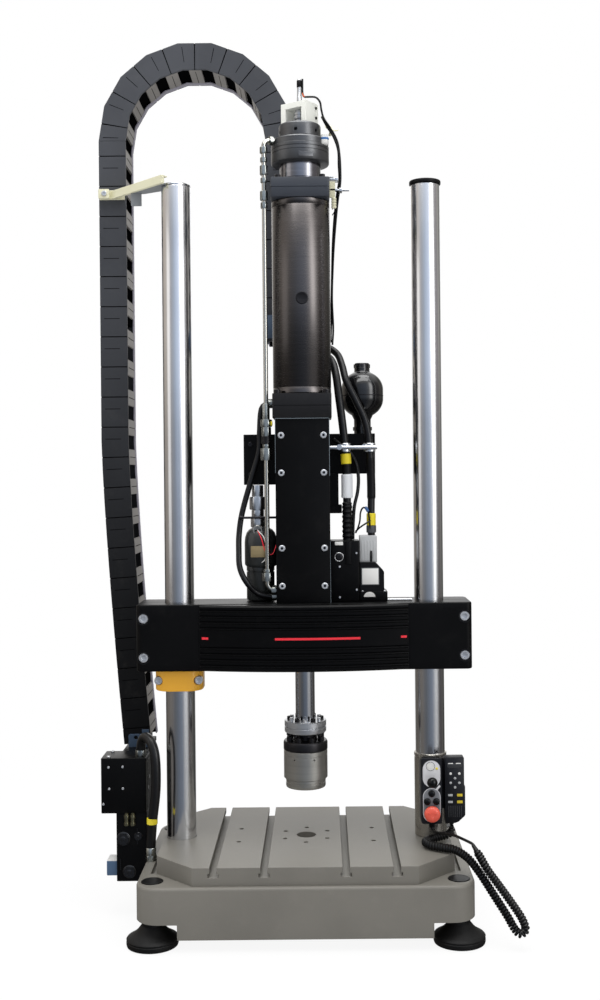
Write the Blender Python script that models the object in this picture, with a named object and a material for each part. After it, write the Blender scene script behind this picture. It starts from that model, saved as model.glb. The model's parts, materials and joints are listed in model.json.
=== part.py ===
# Table-top servo-hydraulic testing frame with an axial-torsion actuator on its crosshead.
# Metres, +Z up. Everything is built about the load axis: x to the right, y to the back, z from the floor.
# One empty then carries the load axis to its place beside the middle of the footprint.

import math

import bmesh
import bpy
from mathutils import Matrix, Vector

# Clearances between pieces
SEAT = 0.0003
RUNNING = 0.0003

# Place of the load axis from the middle of the footprint
LOAD_AXIS_X = 0.0455

# Base casting
BASE_LENGTH = 0.650
BASE_WIDTH = 0.430
BASE_CORNER = 0.045
BASE_UNDERSIDE = 0.022
BASE_EDGE = 0.006
RIM_TOP = 0.122
TABLE_LENGTH = 0.584
TABLE_WIDTH = 0.410
TABLE_CHAMFER = 0.077
TABLE_RISE = 0.035
TABLE_EDGE = 0.0015
TROUGH_WIDTH = 0.012
TROUGH_DEPTH = 0.010
SLOT_OFFSETS = (-0.175, -0.078, 0.078, 0.175)
SLOT_THROAT = 0.014
SLOT_TEE = 0.021
SLOT_TEE_HEIGHT = 0.0075
SLOT_DEPTH = 0.019
TABLE_BORE = 0.039
TABLE_BORE_DEPTH = 0.050
BOLT_CIRCLE = 0.100
TAPPED_HOLE = 0.009
TAPPED_DEPTH = 0.020
PAIR_HOLE_X = 0.137
PAIR_HOLE_Y = 0.044

# Feet and the plugs over their studs
FOOT_FROM_END = 0.030
FOOT_FROM_SIDE = 0.043
FOOT_X = BASE_LENGTH / 2 - FOOT_FROM_END
FOOT_Y = BASE_WIDTH / 2 - FOOT_FROM_SIDE
FOOT_DIAMETER = 0.100
FOOT_NECK = 0.042
FOOT_HEIGHT = 0.052
FOOT_STUD = 0.020
FOOT_STUD_REACH = 0.048
FOOT_POCKET_X = 0.082
FOOT_POCKET_Y = 0.095
PLUG_DIAMETER = 0.042
PLUG_THICKNESS = 0.008
PLUG_RECESS = 0.004

# Columns
COLUMN_DIAMETER = 0.060
COLUMN_SPACING = 0.515
COLUMN_HEIGHT = 1.340
COLUMN_SOCKET = 0.095
COLUMN_LEAD_IN = 0.002
CAP_DIAMETER = 0.065
CAP_THICKNESS = 0.008

# Crosshead
CROSSHEAD_BOTTOM = 0.5055
CROSSHEAD_LENGTH = 0.680
CROSSHEAD_WIDTH = 0.115
CROSSHEAD_HEIGHT = 0.135
CROSSHEAD_CORNER = 0.012
CROSSHEAD_EDGE = 0.003
ROD_OPENING = 0.064
FASCIA_HALF = 0.211
FASCIA_PROUD = 0.004
FASCIA_BULGE = 0.026
FASCIA_EDGE = 0.004
FASCIA_STEPS = 6
FLUTE_PITCH = 0.0118
FLUTE_WIDTH = 0.0056
FLUTE_DEPTH = 0.0032
FLUTES_EACH_SIDE = 4
FLUTE_FROM_MIDDLE = 0.0200
CLAMP_SLIT = 0.003
CLAMP_BOLT_X = 0.325
CLAMP_BOLT_RISE = 0.0395
CLAMP_HEAD = 0.020
CLAMP_HEAD_LENGTH = 0.012
CLAMP_SHANK = 0.012
CLAMP_SHANK_LENGTH = 0.085
COUNTERBORE_DEPTH = 0.014

# Stop collar under the crosshead on the left column
COLLAR_HEIGHT = 0.043
COLLAR_WIDTH = 0.098
COLLAR_DEPTH = 0.086
COLLAR_CORNER = 0.032
COLLAR_SPLIT = 0.002
COLLAR_BOLT = 0.014
COLLAR_BOLT_OFFSET = 0.041

# Actuator stack on the crosshead
PEDESTAL_WIDTH = 0.110
PEDESTAL_HEIGHT = 0.375
PEDESTAL_WALL = 0.014
PEDESTAL_COVER = 0.010
FLANGE_WIDTH = 0.120
FLANGE_CORNER = 0.004
LOWER_FLANGE_HEIGHT = 0.050
UPPER_FLANGE_HEIGHT = 0.040
FLANGE_SEAM = 0.0015
TUBE_DIAMETER = 0.120
TUBE_BORE = 0.080
TUBE_LENGTH = 0.396
NECK_DIAMETER = 0.080
NECK_HEIGHT = 0.027
ROTARY_DIAMETER = 0.120
ROTARY_HEIGHT = 0.046
ROTARY_CHAMBER = 0.092
ROTARY_FLOOR = 0.010
ROTARY_STOP_ANGLE = 42.0
ROTARY_COVER_DIAMETER = 0.082
ROTARY_COVER_HEIGHT = 0.045
ROTARY_COVER_TOP = 0.012
TOMMY_HOLE = 0.007
TOMMY_HOLE_DEPTH = 0.010

# Rotor, rod and load train
ROTOR_HUB = 0.056
ROTOR_VANE_ANGLE = 44.0
ROTOR_SOCKET = 0.045
SPLINE_DIAMETER = 0.024
SPLINE_DEPTH = 0.0028
SPLINE_COUNT = 6
SPLINE_FOOT_BELOW = 0.100
ROD_TOP_BELOW = 0.0155
ROD_DIAMETER = 0.040
ROD_SOCKET_DEPTH = 0.150
PISTON_LENGTH = 0.060
PISTON_PLACE = 0.198
ROD_VISIBLE = 0.1100
ROD_END_SEAT = 0.011
COUPLING_DIAMETER = 0.086
COUPLING_PLATE = 0.0115
COUPLING_GROOVE = 0.002
ADAPTER_NECK = 0.048
ADAPTER_NECK_HEIGHT = 0.016
ADAPTER_FLANGE = 0.091
ADAPTER_FLANGE_HEIGHT = 0.019
LOAD_CELL_DIAMETER = 0.090
LOAD_CELL_HEIGHT = 0.058
LOAD_CELL_STEP = 0.082
LOAD_CELL_STEP_HEIGHT = 0.019
LOAD_CELL_BORE = 0.030
LOAD_CELL_BORE_DEPTH = 0.024

# Transducer and its bracket on the rotary cover
BRACKET_WIDTH = 0.055
BRACKET_DEPTH = 0.040
BRACKET_HEIGHT = 0.052
BRACKET_WALL = 0.010
BRACKET_TURN = -28.0
TRANSDUCER_DIAMETER = 0.0105
TRANSDUCER_HEAD = 0.024
TRANSDUCER_TOP = 0.099

# Hydraulics carried by the crosshead
MANIFOLD_LEFT = -0.126
MANIFOLD_RIGHT = 0.152
MANIFOLD_LOW = 0.240
MANIFOLD_HIGH = 0.3465
MANIFOLD_DEPTH = 0.044
ACCUMULATOR_DIAMETER = 0.090
ACCUMULATOR_X = 0.1265
ACCUMULATOR_BODY = 0.100
ACCUMULATOR_NECK = 0.030
ACCUMULATOR_NECK_HEIGHT = 0.034
VALVE_LENGTH = 0.0585
VALVE_DEPTH = 0.064
VALVE_HEIGHT = 0.1245
VALVE_PORT = 0.018
BOOT_DIAMETER = 0.022
BOOT_HEIGHT = 0.078
BOOT_SHIFT = 0.006
SERVO_BASE_LENGTH = 0.057
SERVO_BASE_HEIGHT = 0.020
SERVO_COVER_LENGTH = 0.050
SERVO_COVER_HEIGHT = 0.060
SERVO_DEPTH = 0.056
SERVO_PLUG_LENGTH = 0.036
SERVO_PLUG_HEIGHT = 0.054
PLUG_HOSE_SHIFT = 0.008
FILTER_HEAD_LENGTH = 0.068
FILTER_HEAD_HEIGHT = 0.078
FILTER_HEAD_DEPTH = 0.064
FILTER_BOWL = 0.044
FILTER_BOWL_HEIGHT = 0.074
PIPE_DIAMETER = 0.013
PIPE_X = -0.0735
PIPE_Y = -0.036
PIPE_BEND = 0.014
PIPE_FOOT_RISE = 0.026
PIPE_NUT = 0.020
PIPE_NUT_HEIGHT = 0.018
HOSE_DIAMETER = 0.014
RETURN_HOSE_DIAMETER = 0.012

# Energy chain
CHAIN_X = -0.407
CHAIN_FRONT = 0.107
CHAIN_BACK = 0.215
CHAIN_THICKNESS = 0.058
CHAIN_RADIUS = 0.180
CHAIN_ARC_CENTRE = 1.629
CHAIN_PITCH = 0.065
CHAIN_FIXED_LINKS = 20
CHAIN_LEG_LINKS = 7
CHAIN_HIDDEN_LINKS = 6
CHAIN_PLATE = 0.006
CHAIN_BAR = 0.0045
CHAIN_HEAD = 0.040
CHAIN_SEAM = 0.002
CHAIN_TAIL_SINK = 0.0018
CHAIN_DRIFT = 0.043
CHAIN_DRIFT_FROM = 0.975
CHAIN_GUIDE_HEIGHT = 0.050
CHAIN_GUIDE_WALL = 0.006
CHAIN_GUIDE_GAP = 0.001
GUIDE_ARM_LOW = 0.010
GUIDE_ARM_HIGH = 0.040
CHAIN_GUIDE_PLACE = 0.555
STAY_HEIGHT = 0.018
STAY_THICKNESS = 0.008
STAY_DISC = 0.066

# Hydraulic block on the left of the base
SIDE_BLOCK_LENGTH = 0.0625
SIDE_BLOCK_LOW = 0.074
SIDE_BLOCK_HIGH = 0.2135
SIDE_BLOCK_DEPTH = 0.062
SIDE_BOX_LENGTH = 0.0925
SIDE_BOX_HIGH = 0.3175
SIDE_BOX_DEPTH = 0.068
SIDE_PLUG = 0.024

# Operator panel, handset and their sleeve on the right column
SLEEVE_DIAMETER = 0.070
SLEEVE_HEIGHT = 0.178
PANEL_X = 0.252
PANEL_WIDTH = 0.041
PANEL_HEIGHT = 0.132
PANEL_DEPTH = 0.049
PANEL_LOW = 0.201
PANEL_SEAT_Y = -0.036
PANEL_CORNER = 0.004
PILL_WIDTH = 0.035
PILL_PROUD = 0.0008
UPPER_PILL_LOW = 0.275
UPPER_PILL_HIGH = 0.328
LOWER_PILL_LOW = 0.205
LOWER_PILL_HIGH = 0.273
KNOB_Z = 0.288
KNOB_BALL = 0.021
KNOB_NECK = 0.010
KNOB_REACH = 0.008
CONTROL_HOLE_DEPTH = 0.014
BUTTON_DIAMETER = 0.0134
BUTTON_PROUD = 0.005
BUTTON_TRAVEL = 0.0025
BUTTON_PLACES = {
    "button_upper": (0.0, 0.263),
    "button_left": (-0.009, 0.2455),
    "button_right": (0.009, 0.2455),
}
STOP_Z = 0.2235
STOP_DIAMETER = 0.032
STOP_STEM = 0.016
STOP_HEIGHT = 0.013
STOP_STANDOFF = 0.006
HANDSET_X = 0.300
HANDSET_WIDTH = 0.040
HANDSET_LENGTH = 0.134
HANDSET_THICKNESS = 0.025
HANDSET_TOP = 0.336
HANDSET_SLANT = 0.014
HANDSET_SEAT_Y = -0.045
HANDSET_GLAND = 0.009
HANDSET_GLAND_LENGTH = 0.014
LEAD_DIAMETER = 0.0055
CURL_DIAMETER = 0.017

# Facets on round pieces
FINE = 24
ROUND = 16
SMALL = 12
TINY = 8
# Share of a bore's radius left between the flats of its facets
FACET_SHARE = math.cos(math.pi / FINE)

# Heights worked out from the sizes above
TABLE_TOP = RIM_TOP + TABLE_RISE
COLUMN_X = COLUMN_SPACING / 2
COLUMN_FOOT = TABLE_TOP - COLUMN_SOCKET
COLUMN_TOP = TABLE_TOP + COLUMN_HEIGHT
CROSSHEAD_TOP = CROSSHEAD_BOTTOM + CROSSHEAD_HEIGHT
CROSSHEAD_FRONT = -CROSSHEAD_WIDTH / 2
PEDESTAL_FOOT = CROSSHEAD_TOP + SEAT
PEDESTAL_TOP = PEDESTAL_FOOT + PEDESTAL_HEIGHT
LOWER_FLANGE_FOOT = PEDESTAL_TOP + SEAT
TUBE_FOOT = LOWER_FLANGE_FOOT + LOWER_FLANGE_HEIGHT + SEAT
TUBE_TOP = TUBE_FOOT + TUBE_LENGTH
UPPER_FLANGE_FOOT = TUBE_TOP + SEAT
NECK_FOOT = UPPER_FLANGE_FOOT + UPPER_FLANGE_HEIGHT + SEAT
ROTARY_FOOT = NECK_FOOT + NECK_HEIGHT + SEAT
COVER_FOOT = ROTARY_FOOT + ROTARY_HEIGHT + SEAT
COVER_TOP = COVER_FOOT + ROTARY_COVER_HEIGHT
PEDESTAL_SIDE = PEDESTAL_WIDTH / 2 + SEAT
SERVO_SIDE = PEDESTAL_SIDE + VALVE_LENGTH + SEAT
ROD_BORE = ROD_DIAMETER + 2 * RUNNING
COLUMN_BORE = COLUMN_DIAMETER + 2 * RUNNING
COUPLING_TOP = CROSSHEAD_BOTTOM - ROD_VISIBLE
ADAPTER_TOP = COUPLING_TOP - 2 * COUPLING_PLATE - COUPLING_GROOVE - SEAT
LOAD_CELL_TOP = ADAPTER_TOP - ADAPTER_NECK_HEIGHT - ADAPTER_FLANGE_HEIGHT - SEAT
CHAIN_MIDDLE_Y = (CHAIN_FRONT + CHAIN_BACK) / 2
CHAIN_RIGHT_X = CHAIN_X + 2 * CHAIN_RADIUS
CHAIN_RUN_TOP = CHAIN_ARC_CENTRE - 0.004
CHAIN_RUN_FOOT = CHAIN_RUN_TOP - CHAIN_FIXED_LINKS * CHAIN_PITCH
PANEL_FRONT = PANEL_SEAT_Y - SEAT - PANEL_DEPTH


for old in list(bpy.data.objects):
    bpy.data.objects.remove(old)

# One empty for each moving group, on its joint's axis
GROUP_PLACES = {}
GROUPS = {}


def add_group(name, place, carrier=None):
    empty = bpy.data.objects.new(name, None)
    bpy.context.collection.objects.link(empty)
    empty.empty_display_size = 0.05
    GROUP_PLACES[name] = Vector(place)
    GROUPS[name] = empty
    if carrier:
        empty.parent = GROUPS[carrier]
        empty.location = Vector(place) - GROUP_PLACES[carrier]
    else:
        empty.location = Vector(place)
    return empty


add_group("load_axis", (0, 0, 0)).location = (LOAD_AXIS_X, 0, 0)
add_group("collar_slide", (-COLUMN_X, 0, CROSSHEAD_BOTTOM), "load_axis")
add_group("crosshead_slide", (0, 0, CROSSHEAD_BOTTOM), "load_axis")
add_group("chain_slide", (CHAIN_X + CHAIN_RADIUS, CHAIN_MIDDLE_Y, CHAIN_ARC_CENTRE), "load_axis")
add_group("rotor_turn", (0, 0, ROTARY_FOOT), "crosshead_slide")
add_group("rod_slide", (0, 0, COUPLING_TOP), "rotor_turn")

# Colour, roughness and metallic value of each finish
FINISHES = {
    "grey_paint": ((0.36, 0.34, 0.31), 0.50, 0.0),
    "black_rubber": ((0.015, 0.015, 0.015), 0.80, 0.0),
    "black_plastic": ((0.022, 0.022, 0.025), 0.45, 0.0),
    "chrome": ((0.62, 0.63, 0.65), 0.12, 1.0),
    "black_paint": ((0.025, 0.026, 0.030), 0.38, 0.0),
    "black_steel": ((0.040, 0.040, 0.045), 0.40, 0.6),
    "yellow_paint": ((0.72, 0.40, 0.04), 0.40, 0.0),
    "gunmetal": ((0.17, 0.155, 0.145), 0.35, 0.9),
    "bright_steel": ((0.55, 0.55, 0.56), 0.25, 1.0),
    "warm_grey_steel": ((0.24, 0.23, 0.215), 0.38, 0.8),
    "chain_plastic": ((0.055, 0.060, 0.075), 0.50, 0.0),
    "cream_paint": ((0.66, 0.64, 0.52), 0.50, 0.0),
    "blue_grey_paint": ((0.22, 0.26, 0.33), 0.50, 0.0),
    "red_plastic": ((0.80, 0.07, 0.05), 0.35, 0.0),
    "hose_rubber": ((0.020, 0.020, 0.022), 0.60, 0.0),
}


def give_finish(piece, finish):
    colour, roughness, metallic = FINISHES[finish]
    material = bpy.data.materials.new(piece.name + "_" + finish)
    material.use_nodes = True
    shader = material.node_tree.nodes["Principled BSDF"]
    shader.inputs["Base Color"].default_value = (*colour, 1.0)
    shader.inputs["Roughness"].default_value = roughness
    shader.inputs["Metallic"].default_value = metallic
    piece.data.materials.clear()
    piece.data.materials.append(material)


def place(piece, group, point=(0, 0, 0)):
    # point is measured from the load axis at floor level
    piece.parent = GROUPS[group]
    piece.location = Vector(point) - GROUP_PLACES[group]
    return piece


def to_object(shape, name, finish=None):
    bmesh.ops.recalc_face_normals(shape, faces=shape.faces)
    mesh = bpy.data.meshes.new(name)
    shape.to_mesh(mesh)
    shape.free()
    piece = bpy.data.objects.new(name, mesh)
    bpy.context.collection.objects.link(piece)
    if finish:
        give_finish(piece, finish)
    return piece


def smooth(piece, angle=35.0):
    piece.data.shade_smooth()
    piece.data.set_sharp_from_angle(angle=math.radians(angle))
    return piece


def combine(piece, shape, operation):
    # shape is a bmesh of closed solids clear of each other, in the piece's own space
    tool = to_object(shape, piece.name + "_tool")
    modifier = piece.modifiers.new("combine", "BOOLEAN")
    modifier.operation = operation
    modifier.solver = "EXACT"
    modifier.object = tool
    bpy.context.view_layer.update()
    graph = bpy.context.evaluated_depsgraph_get()
    result = bpy.data.meshes.new_from_object(piece.evaluated_get(graph))
    materials = list(piece.data.materials)
    piece.modifiers.clear()
    piece.data = result
    piece.data.materials.clear()
    for material in materials:
        piece.data.materials.append(material)
    bpy.data.objects.remove(tool)


def cut(piece, shape):
    combine(piece, shape, "DIFFERENCE")


def fuse(piece, shape):
    combine(piece, shape, "UNION")


# Shapes added to a bmesh

def add_loft(shape, rings, closed=False):
    # Rings of equal length joined in turn; the ends are capped unless the loft closes on itself
    loops = [[shape.verts.new(point) for point in ring] for ring in rings]
    count = len(loops[0])
    pairs = list(zip(loops, loops[1:]))
    if closed:
        pairs.append((loops[-1], loops[0]))
    for lower, upper in pairs:
        for i in range(count):
            j = (i + 1) % count
            shape.faces.new((lower[i], lower[j], upper[j], upper[i]))
    if not closed:
        shape.faces.new(loops[0])
        shape.faces.new(loops[-1])


def add_box(shape, low, high, turn=None):
    turn = turn or Matrix()
    rings = []
    for z in (low[2], high[2]):
        corners = ((low[0], low[1]), (high[0], low[1]), (high[0], high[1]), (low[0], high[1]))
        rings.append([turn @ Vector((x, y, z)) for x, y in corners])
    add_loft(shape, rings)


def add_turned(shape, profile, sides, frame=None, bored=False):
    # A profile of (radius, height) points turned about Z; a bored one closes on itself round its hole
    frame = frame or Matrix()
    rings = []
    for radius, height in profile:
        angles = [2 * math.pi * i / sides for i in range(sides)]
        rings.append([frame @ Vector((radius * math.cos(a), radius * math.sin(a), height)) for a in angles])
    add_loft(shape, rings, closed=bored)


def add_rod(shape, diameter, low, high, sides, frame=None):
    add_turned(shape, [(diameter / 2, low), (diameter / 2, high)], sides, frame)


def add_outline(shape, outline, low, high, frame=None):
    frame = frame or Matrix()
    add_loft(shape, [[frame @ Vector((x, y, z)) for x, y in outline] for z in (low, high)])


def rounded_rectangle(length, width, radius, steps=4, inset=0.0):
    half_x, half_y = length / 2 - inset, width / 2 - inset
    radius = max(radius - inset, 0.0005)
    points = []
    corners = ((half_x - radius, half_y - radius), (radius - half_x, half_y - radius),
               (radius - half_x, radius - half_y), (half_x - radius, radius - half_y))
    for quarter, (cx, cy) in enumerate(corners):
        for i in range(steps + 1):
            angle = math.pi / 2 * (quarter + i / steps)
            points.append((cx + radius * math.cos(angle), cy + radius * math.sin(angle)))
    return points


def chamfered_rectangle(length, width, chamfer, inset=0.0):
    half_x, half_y = length / 2 - inset, width / 2 - inset
    cut_back = chamfer - inset * (2 - math.sqrt(2))
    near_x, near_y = half_x - cut_back, half_y - cut_back
    return [(half_x, -near_y), (half_x, near_y), (near_x, half_y), (-near_x, half_y),
            (-half_x, near_y), (-half_x, -near_y), (-near_x, -half_y), (near_x, -half_y)]


def edged_levels(low, high, edge):
    # Heights and insets of a plate whose two rims are broken by a chamfer
    return [(edge, low), (0.0, low + edge), (0.0, high - edge), (edge, high)]


def add_edged_plate(shape, length, width, corner, low, high, edge, steps=3, frame=None):
    frame = frame or Matrix()
    rings = []
    for inset, z in edged_levels(low, high, edge):
        outline = rounded_rectangle(length, width, corner, steps, inset)
        rings.append([frame @ Vector((x, y, z)) for x, y in outline])
    add_loft(shape, rings)


def along_y(x, y, z):
    # A frame whose Z axis points to the back
    return Matrix.Translation((x, y, z)) @ Matrix.Rotation(-math.pi / 2, 4, "X")


def along_x(x, y, z):
    return Matrix.Translation((x, y, z)) @ Matrix.Rotation(math.pi / 2, 4, "Y")


def at(x, y, z=0.0):
    return Matrix.Translation((x, y, z))


def smooth_route(points, spacing):
    # A Catmull-Rom curve through the route's points, read at even steps
    knots = [Vector(p) for p in points]
    knots = [2 * knots[0] - knots[1]] + knots + [2 * knots[-1] - knots[-2]]
    fine = []
    for a, b, c, d in zip(knots, knots[1:], knots[2:], knots[3:]):
        for i in range(24):
            t = i / 24
            fine.append(0.5 * (2 * b + (c - a) * t + (2 * a - 5 * b + 4 * c - d) * t * t
                               + (3 * b - a - 3 * c + d) * t * t * t))
    fine.append(knots[-2])
    total = sum((q - p).length for p, q in zip(fine, fine[1:]))
    count = max(2, round(total / spacing))
    route, walked, goal = [fine[0]], 0.0, total / count
    for p, q in zip(fine, fine[1:]):
        step = (q - p).length
        while step > 0 and walked + step >= goal * len(route) and len(route) < count:
            route.append(p.lerp(q, (goal * len(route) - walked) / step))
        walked += step
    route.append(fine[-1])
    return route


def tube_along(name, points, diameter, finish, resolution=2, spacing=2.5):
    curve = bpy.data.curves.new(name, "CURVE")
    curve.dimensions = "3D"
    curve.bevel_depth = diameter / 2
    curve.bevel_resolution = resolution
    curve.use_fill_caps = True
    # A short straight at each end keeps the cap square to the face it meets
    route = smooth_route(points, spacing * diameter)
    first, last = Vector(points[0]), Vector(points[-1])
    route.insert(1, first + (Vector(points[1]) - first).normalized() * 0.3 * diameter)
    route.insert(-1, last + (Vector(points[-2]) - last).normalized() * 0.3 * diameter)
    spline = curve.splines.new("POLY")
    spline.points.add(len(route) - 1)
    for knot, point in zip(spline.points, route):
        knot.co = (*point, 1.0)
    piece = bpy.data.objects.new(name, curve)
    bpy.context.collection.objects.link(piece)
    give_finish(piece, finish)
    return piece


# Base casting with its T-slot table

def build_base():
    body = bmesh.new()
    levels = [(BASE_EDGE, BASE_UNDERSIDE), (0.0, BASE_UNDERSIDE + BASE_EDGE), (0.0, RIM_TOP - BASE_EDGE),
              (BASE_EDGE * 0.3, RIM_TOP - BASE_EDGE * 0.3), (BASE_EDGE, RIM_TOP)]
    add_loft(body, [[Vector((x, y, z)) for x, y in rounded_rectangle(BASE_LENGTH, BASE_WIDTH, BASE_CORNER, 4, inset)]
                    for inset, z in levels])
    base = to_object(body, "base_casting", "grey_paint")

    table = bmesh.new()
    levels = [(0.0, RIM_TOP - TROUGH_DEPTH), (0.0, TABLE_TOP - TABLE_EDGE), (TABLE_EDGE, TABLE_TOP)]
    add_loft(table, [[Vector((x, y, z)) for x, y in chamfered_rectangle(TABLE_LENGTH, TABLE_WIDTH, TABLE_CHAMFER, inset)]
                     for inset, z in levels])
    fuse(base, table)

    above = TABLE_TOP + 0.010
    holes = bmesh.new()
    tee_floor = TABLE_TOP - SLOT_DEPTH
    half_throat, half_tee = SLOT_THROAT / 2, SLOT_TEE / 2
    for x in SLOT_OFFSETS:
        section = [(x - half_tee, tee_floor), (x + half_tee, tee_floor),
                   (x + half_tee, tee_floor + SLOT_TEE_HEIGHT), (x + half_throat, tee_floor + SLOT_TEE_HEIGHT),
                   (x + half_throat, above), (x - half_throat, above),
                   (x - half_throat, tee_floor + SLOT_TEE_HEIGHT), (x - half_tee, tee_floor + SLOT_TEE_HEIGHT)]
        add_loft(holes, [[Vector((px, y, pz)) for px, pz in section] for y in (-BASE_WIDTH, BASE_WIDTH)])
    add_rod(holes, TABLE_BORE, TABLE_TOP - TABLE_BORE_DEPTH, above, ROUND)
    for i in range(6):
        angle = math.radians(30 + 60 * i)
        x, y = BOLT_CIRCLE / 2 * math.cos(angle), BOLT_CIRCLE / 2 * math.sin(angle)
        add_rod(holes, TAPPED_HOLE, TABLE_TOP - TAPPED_DEPTH, above, TINY, at(x, y))
    for x in (-PAIR_HOLE_X, PAIR_HOLE_X):
        for y in (-PAIR_HOLE_Y, PAIR_HOLE_Y):
            add_rod(holes, TAPPED_HOLE, TABLE_TOP - TAPPED_DEPTH, above, TINY, at(x, y))
    for side in (-1, 1):
        add_rod(holes, COLUMN_BORE, COLUMN_FOOT - SEAT, above, FINE, at(side * COLUMN_X, 0))
        trough_x = side * (TABLE_LENGTH / 2 + TROUGH_WIDTH / 2)
        reach = TABLE_WIDTH / 2 - TABLE_CHAMFER
        add_box(holes, (trough_x - TROUGH_WIDTH / 2, -reach, RIM_TOP - TROUGH_DEPTH),
                (trough_x + TROUGH_WIDTH / 2, reach, RIM_TOP + 0.010))
    for sx in (-1, 1):
        for sy in (-1, 1):
            add_rod(holes, PLUG_DIAMETER + 2 * SEAT, RIM_TOP - PLUG_RECESS, RIM_TOP + 0.010, ROUND,
                    at(sx * FOOT_X, sy * FOOT_Y))
            low = (sx * (BASE_LENGTH / 2 - FOOT_POCKET_X), sy * (BASE_WIDTH / 2 - FOOT_POCKET_Y))
            high = (sx * BASE_LENGTH, sy * BASE_WIDTH)
            add_box(holes, (min(low[0], high[0]), min(low[1], high[1]), -0.010),
                    (max(low[0], high[0]), max(low[1], high[1]), FOOT_HEIGHT + SEAT))
    cut(base, holes)

    studs = bmesh.new()
    for sx in (-1, 1):
        for sy in (-1, 1):
            add_rod(studs, FOOT_STUD + 2 * SEAT, FOOT_HEIGHT - 0.010, FOOT_HEIGHT + FOOT_STUD_REACH + SEAT, ROUND,
                    at(sx * FOOT_X, sy * FOOT_Y))
    cut(base, studs)
    smooth(base)
    place(base, "load_axis")


def build_feet():
    pad, neck = FOOT_DIAMETER / 2, FOOT_NECK / 2
    profile = [(pad - 0.004, 0.0), (pad, 0.005), (pad - 0.002, 0.019), (pad - 0.012, 0.030),
               (neck, 0.038), (neck, FOOT_HEIGHT),
               (FOOT_STUD / 2, FOOT_HEIGHT), (FOOT_STUD / 2, FOOT_HEIGHT + FOOT_STUD_REACH)]
    plug = PLUG_DIAMETER / 2
    plug_profile = [(plug, 0.0), (plug, PLUG_THICKNESS - 0.0015), (plug - 0.0015, PLUG_THICKNESS)]
    for depth, sy in (("front", -1), ("rear", 1)):
        for side, sx in (("left", -1), ("right", 1)):
            shape = bmesh.new()
            add_turned(shape, profile, ROUND)
            foot = to_object(shape, f"foot_{depth}_{side}", "black_rubber")
            place(smooth(foot), "load_axis", (sx * FOOT_X, sy * FOOT_Y, 0.0))
            shape = bmesh.new()
            add_turned(shape, plug_profile, ROUND)
            cap = to_object(shape, f"foot_plug_{depth}_{side}", "black_plastic")
            place(smooth(cap), "load_axis", (sx * FOOT_X, sy * FOOT_Y, RIM_TOP - PLUG_RECESS + SEAT))


def build_columns():
    radius = COLUMN_DIAMETER / 2
    profile = [(radius - COLUMN_LEAD_IN, COLUMN_FOOT), (radius, COLUMN_FOOT + COLUMN_LEAD_IN),
               (radius, COLUMN_TOP - COLUMN_LEAD_IN), (radius - COLUMN_LEAD_IN, COLUMN_TOP)]
    for side, sx in (("left", -1), ("right", 1)):
        shape = bmesh.new()
        add_turned(shape, profile, FINE)
        column = to_object(shape, "column_" + side, "chrome")
        place(smooth(column), "load_axis", (sx * COLUMN_X, 0, 0))

    shape = bmesh.new()
    cap = CAP_DIAMETER / 2
    add_turned(shape, [(cap, 0.0), (cap, CAP_THICKNESS - 0.002), (cap - 0.002, CAP_THICKNESS)], ROUND)
    place(smooth(to_object(shape, "column_cap", "black_plastic")), "load_axis", (COLUMN_X, 0, COLUMN_TOP + SEAT))


def build_stop_collar():
    shape = bmesh.new()
    add_edged_plate(shape, COLLAR_WIDTH, COLLAR_DEPTH, COLLAR_CORNER, 0.0, COLLAR_HEIGHT, 0.003, 5)
    collar = to_object(shape, "stop_collar", "yellow_paint")
    shape = bmesh.new()
    add_rod(shape, COLUMN_BORE, -0.010, COLLAR_HEIGHT + 0.010, FINE)
    cut(collar, shape)
    shape = bmesh.new()
    for side in (-1, 1):
        add_box(shape, (side * COLLAR_WIDTH / 2 - 0.025, -COLLAR_SPLIT / 2, -0.010),
                (side * COLLAR_WIDTH / 2 + 0.025, COLLAR_SPLIT / 2, COLLAR_HEIGHT + 0.010))
    cut(collar, shape)
    shape = bmesh.new()
    for side in (-1, 1):
        front = along_y(side * COLLAR_BOLT_OFFSET, 0, COLLAR_HEIGHT / 2)
        add_turned(shape, [(0.0030, -COLLAR_DEPTH / 2 + 0.016), (COLLAR_BOLT / 2, -COLLAR_DEPTH / 2 + 0.016),
                           (COLLAR_BOLT / 2, -COLLAR_DEPTH / 2 + 0.004), (0.0030, -COLLAR_DEPTH / 2 + 0.004),
                           (0.0029, -COLLAR_DEPTH / 2 + 0.008)], SMALL, front)
        add_rod(shape, 0.0055, -COLLAR_DEPTH / 2 + 0.018, 0.020, TINY, front)
    fuse(collar, shape)
    place(smooth(collar), "collar_slide", (-COLUMN_X, 0, CROSSHEAD_BOTTOM - SEAT - COLLAR_HEIGHT))


# Crosshead with its fluted front

def fascia_stations():
    # Depths of the fluted front from bottom to top: flat lands between the flutes
    half = CROSSHEAD_HEIGHT / 2
    stations = [(-half + 0.001, FASCIA_EDGE), (-half + 0.001 + FASCIA_EDGE, 0.0)]
    middles = []
    for i in range(FLUTES_EACH_SIDE):
        middles += [FLUTE_FROM_MIDDLE + i * FLUTE_PITCH, -FLUTE_FROM_MIDDLE - i * FLUTE_PITCH]
    for middle in sorted(middles):
        for share, depth in ((-0.5, 0.0), (0.0, 1.0), (0.5, 0.0)):
            stations.append((middle + share * FLUTE_WIDTH, depth * FLUTE_DEPTH))
    stations += [(half - 0.001 - FASCIA_EDGE, 0.0), (half - 0.001, FASCIA_EDGE)]
    return stations


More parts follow.
